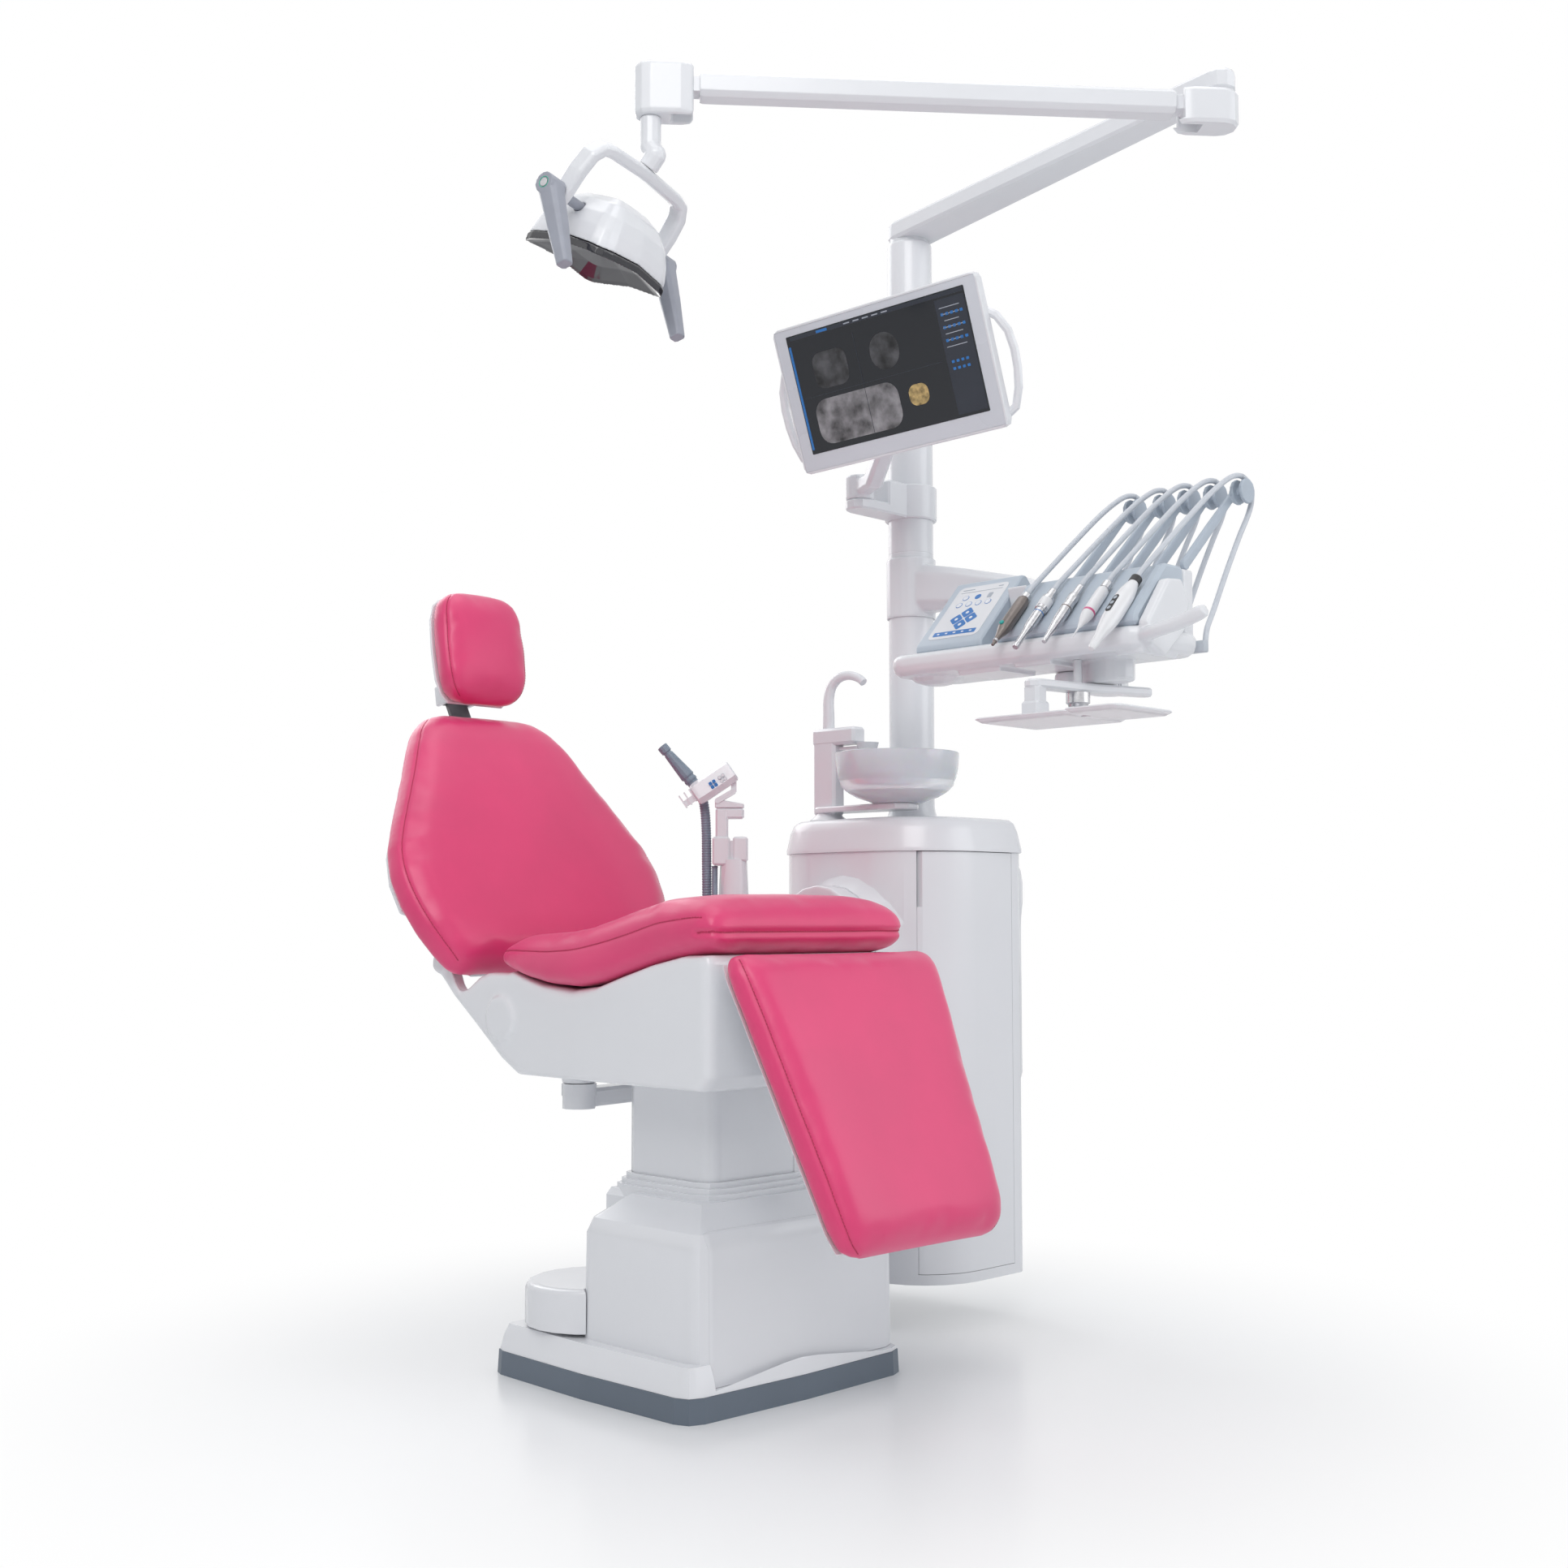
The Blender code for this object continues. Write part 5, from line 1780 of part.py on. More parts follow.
def make_lamp_head():
    yoke_frame = frame("lamp_frame", (LAMP_X, LAMP_Y, LAMP_Z), (LAMP_LEAN, LAMP_ROLL, LAMP_TURN), "YXZ")
    up = Euler((LAMP_LEAN, LAMP_ROLL, LAMP_TURN), "YXZ").to_matrix() @ Vector((0, 0, 1))
    centre = Vector((LAMP_X, LAMP_Y, LAMP_Z))
    root = centre + up * (YOKE_HEIGHT * YOKE_CROWN_SHARE + YOKE_THICKNESS / 2 + GAP)
    bend = Vector((STEM_X, STEM_Y, STEM_BEND_Z))
    stem = cylinder("light_stem", (STEM_X, STEM_Y, KNUCKLE_BOTTOM - GAP), bend, STEM_RADIUS, WHITE)
    neck = root + up * STEM_NECK
    join(stem, ball("stem_ball", bend, STEM_RADIUS * 1.02, WHITE),
         cylinder("stem_bend", bend, neck, STEM_RADIUS, WHITE),
         ball("stem_heel", neck, STEM_RADIUS * 1.02, WHITE),
         cylinder("stem_neck", neck, root, STEM_RADIUS, WHITE))

    half = YOKE_THICKNESS / 2
    wide = YOKE_DEPTH / 2
    stations = [((YOKE_HALF_WIDTH * out, 0, YOKE_HEIGHT * rise), wide * broad, half * thick)
                for out, rise, broad, thick in YOKE_ROUTE_SHARES]
    yoke = swept("light_yoke", stations, (0, 1, 0), WHITE, yoke_frame)
    tilt = frame("lamp_tilt", (0, 0, 0), (LAMP_HEAD_TILT, 0, 0), parent=yoke_frame)

    side = LENS_SIDE / 2

    def shell_ring(level, arch, share):
        ring = []
        for i in range(SHELL_STEPS):
            angle = 2 * pi * i / SHELL_STEPS
            x = abs(cos(angle)) ** SHELL_SQUARENESS * share * (1 if cos(angle) >= 0 else -1)
            y = abs(sin(angle)) ** SHELL_SQUARENESS * share * (1 if sin(angle) >= 0 else -1)
            ring.append((side * x, side * y, level + arch * (2 - x * x - y * y)))
        return ring

    band_top = -LENS_DROP + LENS_THICKNESS
    inner = LENS_RING_SHARES
    rings = [shell_ring(-LENS_DROP + LENS_HOLLOW * (1 - share * share), ARCH, share) for share in inner]
    rings += [shell_ring(-LENS_DROP, ARCH, 1.0), shell_ring(band_top, ARCH, 1.0)]
    rings += [shell_ring(band_top, ARCH, share) for share in reversed(inner)]
    skin("light_lens", rings, DARK_GLASS, tilt)
    base = band_top + LENS_GAP
    rings = [shell_ring(base, ARCH, share) for share in inner]
    rings += [shell_ring(base + DOME_HEIGHT * rise, ARCH * flat, broad) for broad, rise,
              flat in DOME_SHARES]
    head = skin("light_head", rings, WHITE, tilt)

    handles = cylinder("light_handles", (-YOKE_HALF_WIDTH - GRIP_OFFSET, 0, 0),
                       (YOKE_HALF_WIDTH + GRIP_OFFSET, 0, 0),
                       AXLE_PIN_RADIUS, HANDLE_GREY, tilt)
    for sign in (-1, 1):
        x = sign * (YOKE_HALF_WIDTH + GRIP_OFFSET)
        slope = GRIP_SLOPE - LAMP_HEAD_TILT
        reach = (0, -GRIP_LENGTH * cos(slope), -GRIP_LENGTH * sin(slope))
        grip = swept("lamp_grip", [((x, 0, 0), GRIP_START_RADIUS, GRIP_START_RADIUS),
                                   ((x, reach[1] * 0.5, reach[2] * 0.5), GRIP_START_RADIUS * 0.86,
                                    GRIP_START_RADIUS * 0.86),
                                   ((x, reach[1], reach[2]), GRIP_END_RADIUS, GRIP_END_RADIUS)], (1, 0, 0),
                                   HANDLE_GREY, tilt)
        end_ball = cylinder("grip_root", (x - GRIP_START_RADIUS, 0, 0), (x + GRIP_START_RADIUS, 0, 0),
                            GRIP_START_RADIUS,
                            HANDLE_GREY, tilt)
        join(handles, grip, end_ball)
    pin = AXLE_PIN_RADIUS + RUNNING_GAP
    through = (YOKE_HALF_WIDTH + GRIP_OFFSET, 0, 0)
    cut(yoke, cylinder("yoke_bore", (-through[0], 0, 0), through, pin, WHITE, tilt))
    cut(head, cylinder("head_bore", (-through[0], 0, 0), through, pin, WHITE, tilt))
    face = -YOKE_HALF_WIDTH - GRIP_OFFSET - GRIP_START_RADIUS
    cut(handles, cylinder("button_seat", (face - OVERRUN, 0, 0), (face + BUTTON_SEAT, 0, 0),
                          BUTTON_RADIUS + RUNNING_GAP,
                          HANDLE_GREY, tilt))
    cylinder("light_button", (face, 0, 0), (face + BUTTON_THICKNESS, 0, 0), BUTTON_RADIUS, STEEL,
             tilt)


make_base()
make_column()
make_seat_cover()
make_seat_cushion()
make_backrest()
make_headrest()
make_leg_rest()
make_assistant()
make_cabinet()
make_cuspidor()
make_post()
make_delivery_arm()
make_delivery_head()
make_instruments()
make_whips()
make_instrument_hoses()
make_tray()
make_monitor()
make_lamp_arms()
make_lamp_head()
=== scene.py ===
from math import cos, pi, radians

import bmesh
import bpy
from mathutils import Matrix, Vector
from mathutils.bvhtree import BVHTree
from mathutils.kdtree import KDTree


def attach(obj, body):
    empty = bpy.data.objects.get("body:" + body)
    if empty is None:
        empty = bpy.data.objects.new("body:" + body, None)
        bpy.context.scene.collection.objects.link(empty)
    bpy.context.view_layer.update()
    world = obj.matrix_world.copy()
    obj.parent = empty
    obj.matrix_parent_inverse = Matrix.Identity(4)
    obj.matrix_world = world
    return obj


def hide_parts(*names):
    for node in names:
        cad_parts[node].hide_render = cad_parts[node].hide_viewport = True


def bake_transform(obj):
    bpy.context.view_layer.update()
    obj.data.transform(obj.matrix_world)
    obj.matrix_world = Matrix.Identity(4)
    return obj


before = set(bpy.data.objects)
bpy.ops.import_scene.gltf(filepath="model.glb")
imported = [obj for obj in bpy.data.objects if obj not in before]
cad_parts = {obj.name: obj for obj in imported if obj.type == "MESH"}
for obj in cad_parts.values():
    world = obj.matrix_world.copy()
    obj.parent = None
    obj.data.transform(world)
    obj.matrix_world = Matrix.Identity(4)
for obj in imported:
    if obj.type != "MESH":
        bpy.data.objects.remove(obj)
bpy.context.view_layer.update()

# Studio: a pale floor that runs out into a white surround, a camera at the photograph's place, and
# three large soft lamps.  The surround is white to the eye and in reflections, and gives only a dim
# even light of its own.
CAMERA_PLACE = (-2.2535, -2.4657, 0.8)
CAMERA_RISE = 94.107
CAMERA_TURN = -45.0
CAMERA_LENS = 42.56
SENSOR_WIDTH = 36.0
FLOOR_SIDE = 60.0
FLOOR_WHITE = (0.95, 0.955, 0.96)
FLOOR_CENTRE = (0.15, -0.10)
FLOOR_NEAR = 0.55
FLOOR_FAR = 1.55
SKY_WHITE = (1.0, 1.0, 1.0)
SKY_LIGHT = (0.93, 0.96, 1.0)
SKY_STRENGTH = 0.42
LAMPS = (
    ("key", (-3.4, -2.6, 4.2), (0.1, -0.1, 0.9), 3.0, 106.0, (1.0, 0.99, 0.98)),
    ("fill", (2.6, -4.4, 2.6), (0.2, -0.1, 0.9), 3.2, 50.0, (0.97, 0.985, 1.0)),
    ("rear", (0.8, 4.2, 3.6), (0.2, 0.0, 1.0), 3.0, 52.0, (0.98, 0.99, 1.0)),
    ("top", (0.2, -0.2, 5.4), (0.2, -0.2, 0.0), 3.4, 52.0, (1.0, 1.0, 1.0)))

camera_data = bpy.data.cameras.new("studio_camera")
camera_data.lens = CAMERA_LENS
camera_data.sensor_width = SENSOR_WIDTH
camera = bpy.data.objects.new("studio_camera", camera_data)
camera.location = CAMERA_PLACE
camera.rotation_euler = (radians(CAMERA_RISE), 0.0, radians(CAMERA_TURN))
bpy.context.scene.collection.objects.link(camera)
bpy.context.scene.camera = camera
bpy.context.scene.view_settings.view_transform = "Standard"

for lamp_name, lamp_place, lamp_aim, lamp_side, lamp_power, lamp_colour in LAMPS:
    lamp_data = bpy.data.lights.new(lamp_name, "AREA")
    lamp_data.shape = "SQUARE"
    lamp_data.size = lamp_side
    lamp_data.energy = lamp_power
    lamp_data.color = lamp_colour
    lamp = bpy.data.objects.new(lamp_name, lamp_data)
    lamp.location = lamp_place
    lamp.rotation_euler = (Vector(lamp_aim) - Vector(lamp_place)).to_track_quat("-Z", "Y").to_euler()
    bpy.context.scene.collection.objects.link(lamp)


def set_inputs(node, values):
    """Set a node's inputs by their names."""
    for name, value in values.items():
        node.inputs[name].default_value = value


surround = bpy.data.worlds.new("white_surround")
bpy.context.scene.world = surround
surround.use_nodes = True
sky_nodes = surround.node_tree.nodes
sky_links = surround.node_tree.links
sky = sky_nodes["Background"]
set_inputs(sky, {"Color": (*SKY_LIGHT, 1.0), "Strength": SKY_STRENGTH})
seen_sky = sky_nodes.new("ShaderNodeBackground")
seen_sky.inputs["Color"].default_value = (*SKY_WHITE, 1.0)
ray = sky_nodes.new("ShaderNodeLightPath")
any_ray = sky_nodes.new("ShaderNodeMath")
any_ray.operation = "MAXIMUM"
sky_links.new(ray.outputs["Is Camera Ray"], any_ray.inputs[0])
sky_links.new(ray.outputs["Is Glossy Ray"], any_ray.inputs[1])
clear_ray = sky_nodes.new("ShaderNodeMath")
clear_ray.operation = "MAXIMUM"
sky_links.new(any_ray.outputs[0], clear_ray.inputs[0])
sky_links.new(ray.outputs["Is Transmission Ray"], clear_ray.inputs[1])
sky_mix = sky_nodes.new("ShaderNodeMixShader")
sky_links.new(clear_ray.outputs[0], sky_mix.inputs[0])
sky_links.new(sky.outputs[0], sky_mix.inputs[1])
sky_links.new(seen_sky.outputs[0], sky_mix.inputs[2])
sky_links.new(sky_mix.outputs[0], sky_nodes["World Output"].inputs["Surface"])


def only(*pieces):
    """Select these pieces alone, so that an operator reaches nothing else."""
    bpy.ops.object.select_all(action="DESELECT")
    for piece in pieces:
        piece.select_set(True)
    bpy.context.view_layer.objects.active = pieces[0]


def clouded(name, colour, roughness, cloud=0.03, cloud_size=0.25, grain=0.0008, relief=0.03,
            metallic=0.0, coat=0.0, gloss_spread=0.05):
    """A surface whose colour is faintly clouded and whose gloss is uneven, with a fine skin."""
    made = bpy.data.materials.new(name)
    made.use_nodes = True
    nodes = made.node_tree.nodes
    links = made.node_tree.links
    shader = nodes["Principled BSDF"]
    set_inputs(shader, {"Metallic": metallic, "Coat Weight": coat, "Coat Roughness": 0.12})
    place = nodes.new("ShaderNodeTexCoord")
    broad = nodes.new("ShaderNodeTexNoise")
    set_inputs(broad, {"Scale": 1.0 / cloud_size, "Detail": 5.0})
    links.new(place.outputs["Object"], broad.inputs["Vector"])
    tint = nodes.new("ShaderNodeValToRGB")
    tint.color_ramp.elements[0].position = 0.3
    tint.color_ramp.elements[1].position = 0.7
    tint.color_ramp.elements[0].color = (*[c * (1 - cloud) for c in colour], 1.0)
    tint.color_ramp.elements[1].color = (*[min(1.0, c * (1 + cloud)) for c in colour], 1.0)
    links.new(broad.outputs["Fac"], tint.inputs["Fac"])
    links.new(tint.outputs["Color"], shader.inputs["Base Color"])
    gloss = nodes.new("ShaderNodeMapRange")
    set_inputs(gloss, {"To Min": max(0.0, roughness - gloss_spread),
                       "To Max": roughness + gloss_spread})
    links.new(broad.outputs["Fac"], gloss.inputs["Value"])
    links.new(gloss.outputs["Result"], shader.inputs["Roughness"])
    fine = nodes.new("ShaderNodeTexNoise")
    set_inputs(fine, {"Scale": 1.0 / grain, "Detail": 2.0})
    links.new(place.outputs["Object"], fine.inputs["Vector"])
    skin = nodes.new("ShaderNodeBump")
    set_inputs(skin, {"Strength": relief, "Distance": grain})
    links.new(fine.outputs["Fac"], skin.inputs["Height"])
    links.new(skin.outputs["Normal"], shader.inputs["Normal"])
    return made


def give(piece, look):
    """Put one material on a piece."""
    if piece.material_slots:
        for place in piece.material_slots:
            place.material = look
    else:
        piece.data.materials.append(look)


def floor_paint():
    """Glossy white floor that goes over into the white surround away from the object."""
    made = clouded("floor_white", FLOOR_WHITE, 0.22, cloud=0.004, cloud_size=1.5, relief=0.0)
    nodes = made.node_tree.nodes
    links = made.node_tree.links
    place = next(node for node in nodes if node.type == "TEX_COORD")
    centred = nodes.new("ShaderNodeMapping")
    centred.inputs["Location"].default_value = (-FLOOR_CENTRE[0], -FLOOR_CENTRE[1], 0.0)
    links.new(place.outputs["Object"], centred.inputs["Vector"])
    away = nodes.new("ShaderNodeVectorMath")
    away.operation = "LENGTH"
    links.new(centred.outputs["Vector"], away.inputs[0])
    fade = nodes.new("ShaderNodeMapRange")
    fade.interpolation_type = "SMOOTHSTEP"
    set_inputs(fade, {"From Min": FLOOR_NEAR, "From Max": FLOOR_FAR})
    links.new(away.outputs["Value"], fade.inputs["Value"])
    seen = nodes.new("ShaderNodeLightPath")
    share = nodes.new("ShaderNodeMath")
    share.operation = "MULTIPLY"
    links.new(fade.outputs["Result"], share.inputs[0])
    links.new(seen.outputs["Is Camera Ray"], share.inputs[1])
    white = nodes.new("ShaderNodeEmission")
    white.inputs["Color"].default_value = (*SKY_WHITE, 1.0)
    both = nodes.new("ShaderNodeMixShader")
    links.new(share.outputs[0], both.inputs[0])
    links.new(nodes["Principled BSDF"].outputs[0], both.inputs[1])
    links.new(white.outputs[0], both.inputs[2])
    links.new(both.outputs[0], nodes["Material Output"].inputs["Surface"])
    return made


bpy.ops.object.select_all(action="DESELECT")
bpy.ops.mesh.primitive_plane_add(size=FLOOR_SIDE, location=(0.0, 0.0, 0.0))
floor = bpy.context.object
floor.name = "studio_floor"
give(floor, floor_paint())

# Base: a dark moulded skirt that stands on the floor, and over it one large glossy white moulding with
# a low platform, a raised housing and three stepped rings for the lifting column.  The front of the
# housing is a separate clipped cover.
WELD = 0.00003
FLAT_WITHIN = 0.6
SHADE_SPLIT = 32.0
PLASTIC_WHITE = (0.79, 0.80, 0.83)
SKIRT_GREY = (0.125, 0.155, 0.195)

white_gloss = clouded("white_gloss", PLASTIC_WHITE, 0.24, cloud=0.012, coat=0.25)
skirt_plastic = clouded("skirt_plastic", SKIRT_GREY, 0.46, cloud=0.06, relief=0.12)


def select_bends(piece, angle):
    """Select the edges where two faces meet at this angle or more, in degrees."""
    shape = bmesh.from_edit_mesh(piece.data)
    found = 0
    for edge in shape.edges:
        bent = len(edge.link_faces) == 2 and edge.calc_face_angle(0.0) >= radians(angle)
        edge.select_set(bent)
        found += bent
    bmesh.update_edit_mesh(piece.data)
    return found


def use(piece, kind, **settings):
    """Add one modifier with its settings and apply it at once."""
    modifier = piece.modifiers.new(kind.lower(), kind)
    for setting, value in settings.items():
        setattr(modifier, setting, value)
    only(piece)
    bpy.ops.object.modifier_apply(modifier=modifier.name)


def smooth_shade(piece, angle=SHADE_SPLIT):
    """Smooth shading that keeps edges sharper than this angle, in degrees."""
    only(piece)
    bpy.ops.object.shade_smooth_by_angle(angle=radians(angle))


def merged_copy(node, name):
    """A copy of one solid with its loose triangles merged into whole faces."""
    piece = bpy.data.objects.new(name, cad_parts[node].data.copy())
    bpy.context.scene.collection.objects.link(piece)
    piece.data.materials.clear()
    only(piece)
    bpy.ops.object.mode_set(mode="EDIT")
    bpy.ops.mesh.select_mode(type="EDGE")
    bpy.ops.mesh.select_all(action="SELECT")
    bpy.ops.mesh.remove_doubles(threshold=WELD)
    bpy.ops.mesh.dissolve_limited(angle_limit=radians(FLAT_WITHIN))
    bpy.ops.mesh.select_all(action="DESELECT")
    return piece


def finished(piece, body, slot_name, look, *nodes):
    """Give a piece its material and its body, and hide the solids that it stands for; its slot is not used.
    """
    give(piece, look)
    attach(piece, body)
    if nodes:
        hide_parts(*nodes)
    return piece


def dressed(node, name, edge, body, slot_name, look, steps=2, facets=33.0):
    """A crisp moulding: the solid with its sharp edges eased and its flat faces kept flat."""
    piece = merged_copy(node, name)
    if select_bends(piece, facets):
        bpy.ops.mesh.bevel(offset_type="OFFSET", offset=edge, segments=steps, affect="EDGES",
                           clamp_overlap=True)
    bpy.ops.object.mode_set(mode="OBJECT")
    smooth_shade(piece)
    use(piece, "WEIGHTED_NORMAL", keep_sharp=True, weight=60)
    return finished(piece, body, slot_name, look, node)


def remade(node, name, grid, rounds, body, slot_name, look):
    """A moulding with generous radii: the solid remade on a fine grid and relaxed."""
    piece = merged_copy(node, name)
    bpy.ops.object.mode_set(mode="OBJECT")
    use(piece, "REMESH", mode="VOXEL", voxel_size=grid, adaptivity=0.0)
    use(piece, "SMOOTH", factor=0.5, iterations=rounds)
    only(piece)
    bpy.ops.object.shade_smooth()
    return finished(piece, body, slot_name, look, node)


give(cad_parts["base_plate"], skirt_plastic)
dressed("base_housing", "housing_moulding", 0.006, "base", "white", white_gloss, steps=4, facets=25.0)
dressed("base_front_cover", "housing_front", 0.004, "base", "white", white_gloss, steps=3, facets=25.0)

# Stop pad: a round plastic pad on the platform that stops the chair when something is under it.  It is
# one moulded cap with a rounded rim.
dressed("stop_pad", "stop_pad_cap", 0.003, "pad", "white", white_gloss, steps=3)

# Lifting column: a hollow casing with rounded corners that slides in the rings.  It is moulded in
# white plastic, as the housing is.
dressed("lift_column", "column_casing", 0.002, "seat", "white", white_gloss, facets=50.0)

# Seat cover: the large white shell under the seat, moulded in one piece with the ears that carry the
# backrest and round covers over the side screws.
remade("seat_cover", "seat_cover_moulding", 0.0038, 6, "seat", "white", white_gloss)

# Upholstery: four foam cushions in pink leatherette.  Each cover is cut from a face panel and side
# panels that are sewn together along the edge of the face, and is drawn over the foam from the front.
LEATHERETTE_PINK = (0.740, 0.046, 0.176)
THREAD_PINK = (0.52, 0.040, 0.115)
CUSHION_GRID = 0.0066
CLOTH_PRESSURE = 4.0
CLOTH_FRAMES = 20
TAUT_ROUNDS = 14
SEAM_REACH = 0.0065
SEAM_SPREAD = 90.0
SEAM_DEPTH = 0.0015
THREAD_DEPTH = 0.75
SEAM_STEP = 0.002
STITCH_PITCH = 0.0060
STITCH_POINTS = 3
STITCH_RADIUS = 0.00045
THREAD_RADIUS = 0.0004
TUBE_SIDES = 4
ROUTE_FINENESS = 12


def leatherette(name, colour, grain):
    """Coated cloth: a pebbled skin, soft creases, a light sheen and a colour that is a little uneven."""
    made = clouded(name, colour, 0.38, cloud=0.05, cloud_size=0.16, grain=grain, relief=0.0,
                   gloss_spread=0.05)
    nodes = made.node_tree.nodes
    links = made.node_tree.links
    shader = nodes["Principled BSDF"]
    set_inputs(shader, {"Sheen Weight": 0.18, "Sheen Roughness": 0.38,
                        "Sheen Tint": (1.0, 0.62, 0.76, 1.0), "Specular IOR Level": 0.5,
                        "Coat Weight": 0.2, "Coat Roughness": 0.34})
    place = next(node for node in nodes if node.type == "TEX_COORD")
    skin = next(node for node in nodes if node.type == "BUMP")
    pebbles = nodes.new("ShaderNodeTexVoronoi")
    pebbles.feature = "SMOOTH_F1"
    pebbles.inputs["Scale"].default_value = 1.0 / grain
    links.new(place.outputs["Object"], pebbles.inputs["Vector"])
    set_inputs(skin, {"Strength": 0.10, "Distance": 0.0006})
    links.new(pebbles.outputs["Distance"], skin.inputs["Height"])
    creases = nodes.new("ShaderNodeTexNoise")
    set_inputs(creases, {"Scale": 26.0, "Detail": 3.0})
    links.new(place.outputs["Object"], creases.inputs["Vector"])
    folds = nodes.new("ShaderNodeBump")
    set_inputs(folds, {"Strength": 0.10, "Distance": 0.004})
    links.new(creases.outputs["Fac"], folds.inputs["Height"])
    links.new(skin.outputs["Normal"], folds.inputs["Normal"])
    links.new(folds.outputs["Normal"], shader.inputs["Normal"])
    return made


pink_leatherette = leatherette("pink_leatherette", LEATHERETTE_PINK, 0.0014)
thread = clouded("pink_thread", THREAD_PINK, 0.6, cloud=0.1, cloud_size=0.01, relief=0.2)


def stand(origin, along_x, along_y, along_z):
    """The place of an assembly, from its origin and its three directions."""
    place = Matrix((along_x, along_y, along_z)).transposed().to_4x4()
    place.translation = Vector(origin)
    return place


def blown(piece, base, out, rise, cap):
    """Fill a cushion with pressure as cloth; points near its flat back stay on what carries it."""
    before = [vertex.co.copy() for vertex in piece.data.vertices]
    cloth = piece.modifiers.new("filling", "CLOTH")
    cloth.settings.use_pressure = True
    cloth.settings.uniform_pressure_force = CLOTH_PRESSURE
    cloth.settings.effector_weights.gravity = 0.0
    cloth.settings.quality = 4
    cloth.point_cache.frame_end = CLOTH_FRAMES
    for step in range(1, CLOTH_FRAMES + 1):
        bpy.context.scene.frame_set(step)
    filled = piece.evaluated_get(bpy.context.evaluated_depsgraph_get())
    after = [vertex.co.copy() for vertex in filled.data.vertices]
    piece.modifiers.remove(cloth)
    bpy.context.scene.frame_set(1)
    for vertex, old, new in zip(piece.data.vertices, before, after):
        move = new - old
        height = (old - base).dot(out)
        share = min(1.0, max(0.0, height / rise))
        if move.length > cap * share:
            move = move.normalized() * cap * share
        vertex.co = old + move


def sewn(piece, seam, depth):
    """Draw the cover in along a seam, and return the seam's points on the surface."""
    skin = BVHTree.FromPolygons([vertex.co for vertex in piece.data.vertices],
                                [face.vertices for face in piece.data.polygons])
    on_skin = []
    near_seam = KDTree(len(seam))
    for i, point in enumerate(seam):
        near, normal, _, _ = skin.find_nearest(point)
        on_skin.append((near, normal))
        near_seam.insert(near, i)
    near_seam.balance()
    reach = SEAM_REACH * (1.0 + depth * SEAM_SPREAD)
    outward = [vertex.normal.copy() for vertex in piece.data.vertices]
    for vertex, normal in zip(piece.data.vertices, outward):
        _, _, away = near_seam.find(vertex.co)
        if away < reach:
            vertex.co -= normal * depth * (1 - (away / reach) ** 2) ** 2
    return [near - normal * (depth * THREAD_DEPTH) for near, normal in on_skin]


def tube(name, runs, radius, sides=TUBE_SIDES, widths=None):
    """Round tubes with closed ends along runs of points, made one welded mesh."""
    curve = bpy.data.curves.new(name, "CURVE")
    curve.dimensions = "3D"
    curve.bevel_depth = radius
    curve.bevel_resolution = sides
    curve.use_fill_caps = True
    for run in runs:
        line = curve.splines.new("POLY")
        line.points.add(len(run) - 1)
        for i, (point, place) in enumerate(zip(line.points, run)):
            point.co = (*place, 1.0)
            if widths:
                point.radius = widths[i]
    piece = bpy.data.objects.new(name, curve)
    bpy.context.scene.collection.objects.link(piece)
    only(piece)
    bpy.ops.object.convert(target="MESH")
    piece = bpy.context.object
    bpy.ops.object.mode_set(mode="EDIT")
    bpy.ops.mesh.select_all(action="SELECT")
    bpy.ops.mesh.remove_doubles(threshold=WELD / 10)
    bpy.ops.mesh.normals_make_consistent(inside=False)
    bpy.ops.object.mode_set(mode="OBJECT")
    bpy.ops.object.shade_smooth()
    return piece


def stitched(name, runs, radius, body):
    """Thread along its runs: one long one in a seam, or many short ones, which are stitches."""
    return finished(tube(name, runs, radius, 1), body, "upholstery", thread)


def smooth_route(points, step):
    """Points about one step apart along a smooth curve that passes through the given ones."""
    points = [Vector(p) for p in points]
    padded = [2 * points[0] - points[1]] + points + [2 * points[-1] - points[-2]]
    fine = []
    for i in range(len(points) - 1):
        a, b, c, d = padded[i:i + 4]
        for k in range(ROUTE_FINENESS):
            t = k / ROUTE_FINENESS
            fine.append(0.5 * (2 * b + (c - a) * t + (2 * a - 5 * b + 4 * c - d) * t ** 2
                               + (3 * b - a - 3 * c + d) * t ** 3))
    fine.append(points[-1])
    lengths = [0.0]
    for first, second in zip(fine, fine[1:]):
        lengths.append(lengths[-1] + (second - first).length)
    count = max(3, round(lengths[-1] / step) + 1)
    route = []
    k = 0
    for i in range(count):
        goal = lengths[-1] * i / (count - 1)
        while k < len(fine) - 2 and lengths[k + 1] < goal:
            k += 1
        route.append(fine[k].lerp(fine[k + 1], (goal - lengths[k]) / (lengths[k + 1] - lengths[k])))
    return route


